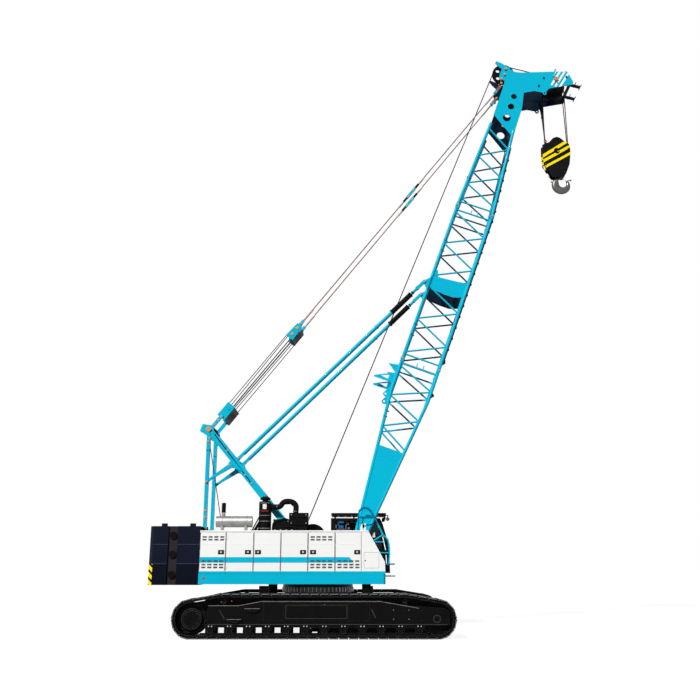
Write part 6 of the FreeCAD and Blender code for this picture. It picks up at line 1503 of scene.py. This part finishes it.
# %% Pipes and hoses
STRAIGHT_PIPES = (((-2.02, 3.12), (-1.72, 3.62)), ((-1.90, 3.12), (-1.72, 3.42)))
UNIT_PIPE = ((-0.900, -1.172, 3.560), (-0.290, -1.172, 3.560))
UPPER_PIPE = [(-1.42, -1.16, 3.14), (-1.40, -1.17, 3.34), (-1.30, -1.17, 3.42), (-1.05, -1.17, 3.50),
              (-0.92, -1.17, 3.46)]
LOWER_PIPE = [(-1.10, -1.14, 3.13), (-1.06, -1.17, 3.24), (-0.92, -1.18, 3.26), (-0.60, -1.15, 3.22),
              (-0.45, -1.14, 3.14)]
PLUGS_X, PLUG_Z = (-1.34, -1.16, -0.98, -0.80), 3.145
UNIT_BOLTS = ((-0.83, 3.62), (-0.36, 3.62), (-0.83, 3.36), (-0.36, 3.36), (-1.33, 3.42), (-0.93, 3.42))
UNIT_RIBS_X = (-0.86, -0.58, -0.32)
INTAKE = [(-1.500, 3.880), (-1.230, 3.880), (-1.080, 4.030), (-0.850, 4.040), (-0.700, 3.920),
          (-0.700, 3.690)]
INTAKE_RADIUS = 0.0875


def smooth_route(points, steps=6):
    """A curve that passes through every point of a route."""
    points = [Vector(p) for p in [points[0]] + list(points) + [points[-1]]]
    curve = []
    for a, b, c, d in zip(points, points[1:], points[2:], points[3:]):
        for i in range(steps):
            t = i / steps
            curve.append(0.5 * (2.0 * b + (c - a) * t + (2.0 * a - 5.0 * b + 4.0 * c - d) * t ** 2
                                + (3.0 * b - a - 3.0 * c + d) * t ** 3))
    return curve + [points[-1]]


pipes, fittings, ribs, intake = bmesh.new(), bmesh.new(), bmesh.new(), bmesh.new()
for (x0, z0), (x1, z1) in STRAIGHT_PIPES:
    add_rod(pipes, (x0, -1.020, z0), (x1, -1.020, z1), 0.036, 10)
for route, radius in ((UPPER_PIPE, 0.028), (LOWER_PIPE, 0.022)):
    add_tube(pipes, route, radius, 10)
add_rod(pipes, *UNIT_PIPE, 0.030, 12)
for x in PLUGS_X:
    add_rod(fittings, (x, -1.172, PLUG_Z), (x, -1.190, PLUG_Z), 0.020, 10)
for x, z in UNIT_BOLTS:
    add_rod(fittings, (x, -1.150, z), (x, -1.178, z), 0.014, 8)
for x in UNIT_RIBS_X:
    add_box(ribs, (x - 0.012, -1.176, 3.31), (x + 0.012, -1.168, 3.67))
add_tube(intake, smooth_route([(x, DECK_ROW_Y, z) for x, z in INTAKE]), INTAKE_RADIUS, 20)
piece("deck_pipes", pipes, rubber, "upper", True)
piece("intake_hose", intake, rubber, "upper", True)
piece("deck_fittings", fittings, bolt_bright, "upper", True)
piece("unit_ribs", ribs, deck_black, "upper")
tell("pipes and hoses")

# %% [markdown]
# ## Wedges at the tail and a lug on the nose
# Two black wedges lean on the counterweight behind the house roof, and the lifting lug on the nose has a
# recess whose shade is painted as a black plate. Both are plates from their side view.

# %% Wedges and lug
WEDGE = [(-3.669, 3.238), (-3.625, 3.243), (-3.470, 3.160), (-3.480, 3.112), (-3.655, 3.112)]

wedges, lug_recess_shade = bmesh.new(), bmesh.new()
for side in (-1.0, 1.0):
    add_plate(wedges, WEDGE, side * 1.30, side * 1.48)
# Painted shade for the lug's recess.
add_box(lug_recess_shade, (1.425, -1.5985, 3.190), (1.490, -1.5930, 3.300))
piece("tail_wedges", wedges, base_black, "upper")
piece("roof_lug_shade", lug_recess_shade, base_black, "upper")
tell("wedges and lug")

# %% [markdown]
# ## Cab lamps and what shows inside
# Work lamps have pale lenses, which are thin discs. Inside are a blue screen and pale levers, as far as
# the side pane shows them: slabs and bars set just behind the glass read as a whole dashboard.

# %% Cab lamps and inside
LAMP_Z, ROOF_LAMPS_Y = 3.600, (1.010, 1.470)
SCREENS = ((0.736, 3.497, 0.085, 0.032), (0.737, 3.341, 0.080, 0.050), (0.640, 3.420, 0.020, 0.050))
SWITCHES = ((0.563, 3.355, 0.018, 0.060), (0.953, 3.426, 0.050, 0.016), (0.997, 3.299, 0.035, 0.030),
            (0.900, 3.330, 0.016, 0.070))
CROSS_BARS = ((0.56, 0.85, 3.28), (0.80, 1.05, 3.25))
LEVERS_X, LEVERS_Y = (0.66, 0.80, 0.98), (1.296, 1.304)

lenses, levers, screens = bmesh.new(), bmesh.new(), bmesh.new()
for y in ROOF_LAMPS_Y:
    add_rod(lenses, (2.234, y, LAMP_Z), (2.243, y, LAMP_Z), 0.054, 20)
add_rod(lenses, (2.330, 0.8205, LAMP_Z), (2.330, 0.8125, LAMP_Z), 0.050, 20)
for x, z, w, h in SCREENS:
    add_box(screens, (x - w, 0.845, z - h), (x + w, 0.860, z + h))
for x, z, w, h in SWITCHES:
    add_box(levers, (x - w, 0.850, z - h), (x + w, 0.865, z + h))
for x0, x1, z in CROSS_BARS:
    add_box(levers, (x0, LEVERS_Y[0], z - 0.010), (x1, LEVERS_Y[1], z + 0.010))
for x in LEVERS_X:
    add_box(levers, (x - 0.008, LEVERS_Y[0], 1.90), (x + 0.008, LEVERS_Y[1], 3.30))
piece("lamp_lenses", lenses, lamp_white, "upper", True)
# The screen and the levers glow with painted light.
piece("cab_screens", screens, screen_blue_painted_glow, "upper")
piece("cab_levers", levers, panel_grey_painted_glow, "upper")
tell("cab lamps and inside")

# %% [markdown]
# ## Outside of the cab
# Rubber seals frame the side panes and pale strips edge the front pillar. A blank plate sits on the side,
# the door has a bright handle, and a yellow grab rail stands beside it. Seals and rails are bars through
# a few points, so they keep one thickness round each corner.

# %% Outside of the cab
PANE_LOW, PANE_HIGH, PANE_FRONT, PANE_BROW = 2.60, 3.54, 2.18, 2.01
PANES = ((0.79675, 0.480), (1.68325, 1.390))
SIDE_STRIPS = (((2.150, 0.790, 3.012), (2.245, 0.790, 2.572)), ((2.258, 0.790, 2.408), (2.272, 0.790, 2.136)))
HANDLE = [(1.18, 1.680, 2.60), (1.18, 1.722, 2.60), (1.18, 1.722, 2.78), (1.18, 1.680, 2.78)]
GRAB_RAIL = [(1.40, 1.680, 2.10), (1.40, 1.735, 2.12), (1.40, 1.735, 2.98), (1.40, 1.680, 3.00)]

plate, strips, seals, handle, grab = bmesh.new(), bmesh.new(), bmesh.new(), bmesh.new(), bmesh.new()
add_box(plate, (1.80, 0.7960, 2.990), (1.89, 0.7998, 3.150))
for start, end in SIDE_STRIPS:
    add_rod(strips, start, end, 0.013, 8)
for y, rear in PANES:
    corners = [(rear, PANE_LOW), (PANE_FRONT, PANE_LOW), (PANE_BROW, PANE_HIGH), (rear, PANE_HIGH)]
    for (x0, z0), (x1, z1) in zip(corners, corners[1:] + corners[:1]):
        add_rod(seals, (x0, y, z0), (x1, y, z1), 0.010, 8)
add_tube(handle, HANDLE, 0.012, 10)
add_tube(grab, GRAB_RAIL, 0.014, 10)
piece("cab_blank_plate", plate, lamp_white, "upper")
# The pale pillar strips glow with the same painted light as the levers.
piece("cab_side_strips", strips, panel_grey_painted_glow, "upper", True)
piece("pane_seals", seals, rubber, "upper", True)
piece("cab_door_handle", handle, bolt_bright, "cab_door", True)
piece("cab_grab_rail", grab, stripe_yellow, "upper", True)
tell("outside of the cab")

# %% [markdown]
# ## Boom
# Waxed pins close every joint between the sections, and studs and pegs sit on the chords and frames.
# Every one is given by its distance along the boom, and boom_place turns that into a place.

# %% Boom trim
BOOM_SIDE = 0.640
PINNED_JOINTS, JOINT_T, JOINT_PIN_Y = (7.000, 13.050), 0.650, BOOM_SIDE + 0.066
STUDS_S = (4.9, 5.1, 7.9, 8.3, 11.2, 11.6, 14.2)
TAPER_END = 5.85
PEGS = ((6.90, -0.10), (6.90, 0.13), (12.95, -0.10), (12.95, 0.13))

joint_pins = [boom_place(s, t, y) for s in PINNED_JOINTS for t in (-JOINT_T, JOINT_T)
              for y in (-JOINT_PIN_Y, JOINT_PIN_Y)]
repeated("boom_joint_pins", HEADS, joint_pins, (0.030, 0.0, 0.034), ASIDE, bolt_orange, "boom", 10)
chord_studs, pegs = bmesh.new(), bmesh.new()
for s in STUDS_S:
    t = -0.590 if s > TAPER_END else -0.52
    add_rod(chord_studs, boom_place(s, t, -BOOM_SIDE), boom_place(s, t + 0.055, -BOOM_SIDE), 0.020, 8)
    add_rod(chord_studs, boom_place(s - 0.03, t - 0.062, -BOOM_SIDE - 0.057),
            boom_place(s + 0.03, t - 0.062, -BOOM_SIDE - 0.057), 0.010, 6)
for s, t in PEGS:
    add_rod(pegs, boom_place(s - 0.10, t, -BOOM_SIDE), boom_place(s + 0.10, t, -BOOM_SIDE), 0.016, 8)
piece("chord_studs", chord_studs, rubber, "boom")
piece("frame_pegs", pegs, cyan_paint, "boom", True)
tell("boom trim")

# %% [markdown]
# ## Hoses on the boom
# Two hoses climb the front chord, held by clips and by tabs at the lower joint. Beyond the upper
# joint the chord leans in, and the hoses lean with it. The clips are blades of the repeat tree.

# %% Boom hoses
UPPER_JOINT, CHORD_LEAN = 13.05, 0.07956
HOSE_FROM, HOSE_TO = 7.25, 15.90
HOSES = ((-0.600, 0.016), (-0.635, 0.012))
CLIPS, CLIP_STEP = 20, 0.42
TABS_S, TAB_Y = (6.10, 7.32), -0.66
TAB_OUTLINE = ((-0.10, 0.700), (0.10, 0.700), (0.02, 0.790))


def hose_place(s, y):
    """A place in front of the front chord, which leans in beyond the upper joint."""
    return boom_place(s, 0.722 - max(0.0, s - UPPER_JOINT) * CHORD_LEAN, y)


hose, tabs = bmesh.new(), bmesh.new()
for y, radius in HOSES:
    add_tube(hose, [hose_place(s, y) for s in (HOSE_FROM, UPPER_JOINT, HOSE_TO)], radius, 8)
for s in TABS_S:
    add_prism(tabs, [boom_place(s + ds, t, TAB_Y) for ds, t in TAB_OUTLINE], (0.0, 0.06, 0.0))
piece("front_hoses", hose, rubber, "boom", True)
clip_places = [hose_place(HOSE_FROM + 0.15 + CLIP_STEP * i, -0.618) for i in range(CLIPS)]
repeated("hose_clips", BLADES, clip_places, (0.075, 0.062, 0.060), tuple(BOOM_ALONG), rubber, "boom")
piece("hose_tabs", tabs, base_black, "boom")
tell("boom hoses")

# %% [markdown]
# ## Boom head
# The head's plates carry the pins of the guide wheel and the tip wheels. The small bolts are bare
# metal, the big ones waxed. Each kind is one list of places along and across the boom, with one on
# either side plate.

# %% Head bolts
HEAD_FACE = 0.684
HEAD_PINS = ((18.972, -0.674), (18.728, -0.640), (18.502, -0.705), (18.333, -0.650))
HEAD_STUDS = ((19.092, 0.786), (18.706, 0.705), (19.425, 1.572))
TIP_CAPS, TIP_KEEPERS = ((19.200, 1.233),), ((19.09, 1.32), (19.30, 1.11))


def on_both_plates(places, y):
    """Places along and across the boom, on the right and the left plate of its head."""
    return [boom_place(s, t, side * y) for s, t in places for side in (-1.0, 1.0)]


for name, places, y, size, material, sides in (
        ("head_pins", HEAD_PINS, HEAD_FACE, (0.046, 0.0, 0.040), bolt_orange, 10),
        ("tip_pin_caps", TIP_CAPS, HEAD_FACE + 0.004, (0.085, 0.0, 0.036), bolt_orange, 6),
        ("tip_pin_keepers", TIP_KEEPERS, HEAD_FACE, (0.028, 0.0, 0.030), bolt_bright, 6),
        ("head_studs", HEAD_STUDS, HEAD_FACE, (0.034, 0.0, 0.022), deck_black, 10)):
    repeated(name, HEADS, on_both_plates(places, y), size, ASIDE, material, "boom", sides)
guide_hub, hub_reach = bmesh.new(), Vector((0.0, 0.050, 0.0))
add_rod(guide_hub, GUIDE_AXLE - hub_reach, GUIDE_AXLE + hub_reach, 0.070, 18)
piece("guide_hub", guide_hub, bolt_bright, "boom", True)
tell("boom head")

# %% [markdown]
# ## Rope dead end
# The last fall isn't led over a wheel. It hangs from a wedge socket under the head, and is pinned to a red
# eye on the hook block's shoulder. The rope between them stretches as the block is hoisted, yet it rides on
# neither body and keeps its place baked into its mesh, while the socket and the eye each ride on their own.

# %% Dead end
HOOK_X, DEAD_Y = TIP_AXLE.x, -0.02
SOCKET = ((-0.530, 19.16, 0.040), (-0.510, 19.02, 0.062), (-0.462, 18.80, 0.070), (-0.458, 18.60, 0.046),
          (-0.462, 18.42, 0.030))
SOCKET_PINS_Z = (18.70, 18.52)
DEAD_TOP, DEAD_END = Vector((HOOK_X - 0.462, DEAD_Y, 18.44)), Vector((HOOK_X - 0.415, DEAD_Y, 17.53))

socket, dead_rope, eye = bmesh.new(), bmesh.new(), bmesh.new()
add_tube(socket, [(HOOK_X + dx, DEAD_Y, z) for dx, z, _ in SOCKET], [radius for _, _, radius in SOCKET], 10)
for z in SOCKET_PINS_Z:
    add_rod(socket, (HOOK_X - 0.460, -0.085, z), (HOOK_X - 0.460, 0.045, z), 0.036, 10)
stretched(dead_rope, DEAD_TOP, DEAD_END, DEAD_ROPE)
add_ring(eye, (HOOK_X - 0.405, DEAD_Y, 17.485), ASIDE, 0.045, 0.018, 20, 8)
add_box(eye, (HOOK_X - 0.430, -0.100, 17.400), (HOOK_X - 0.370, 0.100, 17.430))
piece("wedge_socket", socket, base_black, "boom_tip", True)
piece("dead_end_rope", dead_rope, rope_dark, None, True,
      ("boom_tip", "hook_block", Vector((DEAD_TOP.x, DEAD_Y, 18.30)), Vector((DEAD_END.x, DEAD_Y, 17.60))))
piece("dead_end_eye", eye, signal_red, "hook_block", True)
tell("dead end")

# %% [markdown]
# ## Hook block
# The block's wheel pin has a broad dark cap over the yellow slants, and black bolts hold the two cheek
# plates together.

# %% Block trim
BLOCK_BOLTS = ((-0.47, 0.10), (0.40, 0.10), (-0.05, 0.50), (-0.20, -0.98), (0.14, -0.98), (-0.02, -0.70))
CAP_PLACE, CAP_Y = (HOOK_X - 0.030, 17.035), (0.138, 0.160)

pin_caps, block_bolts = bmesh.new(), []
for side in (-1.0, 1.0):
    add_rod(pin_caps, *[(CAP_PLACE[0], side * y, CAP_PLACE[1]) for y in CAP_Y], 0.105, 28)
    block_bolts += [(HOOK_X + dx, side * 0.140, FALL_END_Z + dz) for dx, dz in BLOCK_BOLTS]
piece("block_pin_caps", pin_caps, base_black, "hook_block", True, bevel=0.004)
repeated("block_bolts", HEADS, block_bolts, (0.022, 0.0, 0.026), ASIDE, base_black, "hook_block")
tell("hook block")

# %% [markdown]
# ## Forged hook
# The hook is forged: one smooth curve with a round section that is thickest at the bottom and slims
# toward its raised point. Its outside and its throat are two circles with different middles, and each
# ring of corners spans the gap between them, so the section swells by itself. Subdividing a rough
# block would give the same softness, but not the true throat.

# %% Hook rings
BOWL, BOWL_RADIUS = Vector((HOOK_X + 0.070, 0.0, 15.670)), 0.347
THROAT, THROAT_RADIUS = Vector((HOOK_X + 0.137, 0.0, 15.740)), 0.137
NECK_TOP, NECK_RINGS = 16.180, ((16.180, 0.054), (16.080, 0.056), (15.990, 0.070), (15.930, 0.098))
NECK_LEAN = 0.040
BOWL_FROM, BOWL_TURN, BOWL_STEPS = 128.0, 272.0, 30
HOOK_THICK, POINT_THICK = 0.070, 0.036
HOOK_SIDES = 20
hook_mesh = bmesh.new()


def hook_loop(centre, across, half_in, half_out):
    """An oval ring of corners round a point of the hook's centre line."""
    reach_in, reach_out = across * half_in, Vector((0.0, half_out, 0.0))
    angles = [2.0 * math.pi * k / HOOK_SIDES for k in range(HOOK_SIDES)]
    return [hook_mesh.verts.new(centre + reach_in * math.cos(a) + reach_out * math.sin(a)) for a in angles]


def bowl_loop(share):
    """A ring of the bowl, from the neck (share 0) round to the point (share 1)."""
    angle = math.radians(BOWL_FROM + share * BOWL_TURN)
    ray = Vector((math.cos(angle), 0.0, math.sin(angle)))
    offset = THROAT - BOWL
    along = offset.dot(ray)
    inner = along + math.sqrt(max(0.0, along * along - offset.length_squared + THROAT_RADIUS ** 2))
    outer = BOWL_RADIUS - 0.012 * max(0.0, share - 0.8) / 0.2
    thick = HOOK_THICK - (HOOK_THICK - POINT_THICK) * max(0.0, share - 0.7) / 0.3
    return hook_loop(BOWL + ray * (outer + inner) / 2.0, ray, max(0.030, (outer - inner) / 2.0), thick)


def neck_loop(z, radius):
    """A ring of the neck, which leans back a little on its way down."""
    centre = Vector((HOOK_X - NECK_LEAN * (NECK_TOP - z), 0.0, z))
    return hook_loop(centre, Vector(AHEAD), radius, min(radius, HOOK_THICK))


loops = [neck_loop(z, radius) for z, radius in NECK_RINGS]
loops += [bowl_loop(i / BOWL_STEPS) for i in range(BOWL_STEPS + 1)]
loops.append(hook_loop(Vector((HOOK_X + 0.418, 0.0, 15.893)), Vector((0.9, 0.0, -0.43)), 0.030, 0.024))
for here, there in zip(loops, loops[1:]):
    for k in range(HOOK_SIDES):
        after = (k + 1) % HOOK_SIDES
        hook_mesh.faces.new((here[k], here[after], there[after], there[k]))
hook_mesh.faces.new(loops[0][::-1])
hook_mesh.faces.new(loops[-1])
print("hook rings", len(loops))

# %% [markdown]
# ## Shank, nut and latch of the hook
# A shank with a six-sided nut holds the hook in the block, small nibs are left on the forging, and
# a sprung latch closes the throat. They are joined to the hook's mesh, except the bright latch.

# %% Shank and latch
SHANK_SEAT = 16.1103
NIBS = ((-0.262, 15.800, -0.045), (0.425, 15.862, 0.045))
LATCH_PIN, LATCH_END = (HOOK_X + 0.095, 16.010), (HOOK_X + 0.285, 15.835)

add_rod(hook_mesh, (HOOK_X, 0.0, 16.150), (HOOK_X, 0.0, 16.190), 0.055, 20)
add_rod(hook_mesh, (HOOK_X, 0.0, 16.10), (HOOK_X, 0.0, SHANK_SEAT + 0.080), 0.0549, 20)
add_rod(hook_mesh, (HOOK_X, 0.0, SHANK_SEAT), (HOOK_X, 0.0, SHANK_SEAT + 0.070), 0.094, 6)
for dx, z, lean in NIBS:
    add_rod(hook_mesh, (HOOK_X + dx, 0.0, z), (HOOK_X + dx + lean, 0.0, z + 0.040), 0.026, 10, 0.018)
smooth_hook = piece("forged_hook", hook_mesh, hook_iron, "hook", True)
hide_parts("hook")
latch = bmesh.new()
add_rod(latch, (LATCH_PIN[0], 0.0, LATCH_PIN[1]), (LATCH_END[0], 0.0, LATCH_END[1]), 0.010, 8)
add_rod(latch, (LATCH_PIN[0], -0.06, LATCH_PIN[1]), (LATCH_PIN[0], 0.06, LATCH_PIN[1]), 0.014, 8)
piece("hook_latch", latch, bolt_bright, "hook", True)
tell("hook")

# %% [markdown]
# ## The way of the track
# Small parts on the track need to follow its loop: flat below, round the end wheels, and sloping up to
# the two knees of the upper run. The loop is written as seven runs, and one function walks along
# them. A curve object could be walked too, but these few lines give the exact place and heading.

# %% Track loop
WHEEL_X, WHEEL_R, TOP_Z = 3.560, 0.556, 1.260
KNEES = {1.0: WHEEL_X - 0.890, -1.0: -WHEEL_X + 0.820}


def belt_slope(way):
    """Lean of the belt's run between its top knee and the end wheel."""
    dx, dz = (KNEES[way] - way * WHEEL_X) * way, TOP_Z - WHEEL_R
    return math.pi / 2.0 - (math.atan2(dz, dx) - math.acos(WHEEL_R / math.hypot(dx, dz)))


def belt_runs():
    """Runs of the loop's outside from its bottom middle forward: place, heading, turning, length."""
    front, rear = belt_slope(1.0), belt_slope(-1.0)
    touch_front = (WHEEL_X + WHEEL_R * math.sin(front), WHEEL_R + WHEEL_R * math.cos(front))
    touch_rear = (-WHEEL_X - WHEEL_R * math.sin(rear), WHEEL_R + WHEEL_R * math.cos(rear))
    knee_front, knee_rear = (KNEES[1.0], TOP_Z), (KNEES[-1.0], TOP_Z)
    return [((0.0, 0.0), 0.0, False, WHEEL_X),
            ((WHEEL_X, WHEEL_R), 0.0, True, WHEEL_R * (math.pi - front)),
            (touch_front, math.pi - front, False, math.dist(touch_front, knee_front)),
            (knee_front, math.pi, False, math.dist(knee_front, knee_rear)),
            (knee_rear, math.pi + rear, False, math.dist(knee_rear, touch_rear)),
            ((-WHEEL_X, WHEEL_R), math.pi + rear, True, WHEEL_R * (math.pi - rear)),
            ((-WHEEL_X, 0.0), 0.0, False, WHEEL_X)]


BELT = belt_runs()
BELT_LENGTH = sum(run[3] for run in BELT)


def belt_place(distance, inset):
    """Place and heading at a distance along the loop, counted at its outside."""
    for place, heading, turning, length in BELT:
        if distance > length:
            distance -= length
            continue
        if turning:
            turned = heading + distance / WHEEL_R
            radius = WHEEL_R - inset
            return place[0] + radius * math.sin(turned), place[1] - radius * math.cos(turned), turned
        return (place[0] + distance * math.cos(heading) - inset * math.sin(heading),
                place[1] + distance * math.sin(heading) + inset * math.cos(heading), heading)
    return 0.0, inset, 0.0


def round_belt(count, inset):
    """Evenly spaced places and headings round the loop."""
    return [belt_place(i * BELT_LENGTH / count, inset) for i in range(count)]


print("track loop", round(BELT_LENGTH, 3), "m")

# %% [markdown]
# ## Saddles and skirts
# Each bottom roller sits in a cast saddle under the side frame, a skirt strip closes the frame's foot,
# and the chain's rail runs under the rollers. They are plates and boxes at the rollers' own places.

# %% Saddles and skirts
SADDLE_Y, SKIRT_Y = (2.735, 2.785), (2.700, 2.760)
SADDLE = ((-0.185, 0.402), (-0.120, 0.235), (0.120, 0.235), (0.185, 0.402))
SKIRTS = ((3.080, 0.318, 0.392), (3.300, 0.108, 0.168))

for word, side in SIDES:
    saddles, skirts = bmesh.new(), bmesh.new()
    for x in ROLLER_X:
        add_plate(saddles, [(x + dx, z) for dx, z in SADDLE], side * SADDLE_Y[0], side * SADDLE_Y[1])
        add_box(skirts, (x - 0.185, side * TRACK_Y - 0.06, 0.100), (x + 0.185, side * TRACK_Y + 0.06, 0.330))
    for half, z0, z1 in SKIRTS:
        add_box(skirts, (-half, side * SKIRT_Y[0], z0), (half, side * SKIRT_Y[1], z1))
    piece("roller_saddles_" + word, saddles, base_black, "undercarriage", bevel=0.006)
    piece("frame_skirts_" + word, skirts, base_black, "undercarriage")
tell("saddles and skirts")

# %% [markdown]
# ## Shoe edges and chain
# Every shoe's edge is rubbed bright by the ground and catches the light. Two thin bars mark each one, bare
# metal and painted highlight together, set square to the loop at that shoe. Inside the loop a dark plate and
# blocks close the view through the chain; they stand for the chain and paint the shade between the rollers.

# %% Shoe edges and chain
SHOES, CHAIN_STEPS, CHAIN_INSET, CHAIN_FLOOR = 62, 96, 0.120, 0.300
SHOE_FACE = TRACK_Y + 0.4265
EDGE_BARS = ((-0.128, 0.104, 0.012, 0.026), (0.090, 0.104, 0.012, 0.052))
BLOCKS_X = (0.30, 0.72, 1.14, 1.56, 1.98, 2.40, 2.82, 3.20)

for word, side in SIDES:
    edges, links = bmesh.new(), bmesh.new()
    for x, z, heading in round_belt(SHOES, 0.0):
        way = Vector((math.cos(heading), 0.0, math.sin(heading)))
        inward = Vector((-math.sin(heading), 0.0, math.cos(heading)))
        middle = Vector((x, side * SHOE_FACE, z))
        for a0, a1, b0, b1 in EDGE_BARS:
            corners = [middle + way * a + inward * b for a, b in ((a0, b0), (a1, b0), (a1, b1), (a0, b1))]
            add_prism(edges, corners, (0.0, side * 0.003, 0.0))
    # Painted shade: the dark plate and blocks stand for the chain and darken the view through it between the
    # rollers.
    back = [(x, max(z, CHAIN_FLOOR)) for x, z, _ in round_belt(CHAIN_STEPS, CHAIN_INSET)]
    add_plate(links, back, side * (TRACK_Y - 0.020), side * TRACK_Y)
    for x in BLOCKS_X:
        add_box(links, (x - 0.215, side * TRACK_Y - 0.03, 0.100), (x + 0.215, side * TRACK_Y + 0.03, 0.330))
    # The shoe-edge bars are rubbed metal and painted highlight.
    piece("shoe_edges_" + word, edges, edge_wear_and_highlight, "undercarriage")
    piece("chain_and_shade_plate_" + word, links, base_black, "undercarriage")
tell("shoe edges and chain")

# %% [markdown]
# ## Crest of the side frames
# The frame's top edge catches the light along its whole length, and bare studs are left on its face. The edge
# is a fine bright bar through five points, a painted highlight, since a bevel on the solid would change the
# solid.

# %% Frame crest
CREST_HIGHLIGHT = ((-3.080, 0.920), (-2.200, 0.920), (-1.520, 1.040), (1.910, 1.040), (3.040, 0.848))
DRIVE_LINES = ((-2.016, -1.572, 0.843), (-2.521, -2.098, 0.545))
FRAME_STUDS = ((-1.40, 0.95), (-1.28, 0.95), (0.30, 0.95), (1.10, 0.95), (1.30, 0.95), (2.30, 0.80),
               (2.30, 0.55), (2.75, 0.80), (2.75, 0.55), (-0.10, 0.30), (-2.70, 1.02), (-2.40, 1.05))

for word, side in SIDES:
    crest = bmesh.new()
    # The crest bar is a painted highlight; the studs are bare metal.
    add_tube(crest, [(x, side * 2.801, z) for x, z in CREST_HIGHLIGHT], 0.009, 6)
    for x0, x1, z in DRIVE_LINES:
        add_rod(crest, (x0, side * 2.892, z), (x1, side * 2.892, z), 0.008, 6)
    for x, z in FRAME_STUDS:
        add_rod(crest, (x, side * 2.800, z), (x, side * 2.812, z), 0.014, 8)
    piece("frame_highlight_and_studs_" + word, crest, edge_wear_and_highlight, "undercarriage", True)
tell("frame crest")

# %% [markdown]
# ## Front steps
# Folded edges stiffen the two front steps of the machine house. Each is a strip on either side of the
# tread, in the blue of the step.

# %% Step edges
TREADS, TREAD_EDGES_Y = ((2.170, 2.440, 2.086), (2.110, 2.446, 1.722)), (-1.332, -0.934)

tread_edges = bmesh.new()
for x0, x1, z in TREADS:
    for y in TREAD_EDGES_Y:
        add_box(tread_edges, (x0, y, z), (x1, y + 0.006, z + 0.034))
piece("step_edges", tread_edges, step_blue, "upper")
tell("steps")
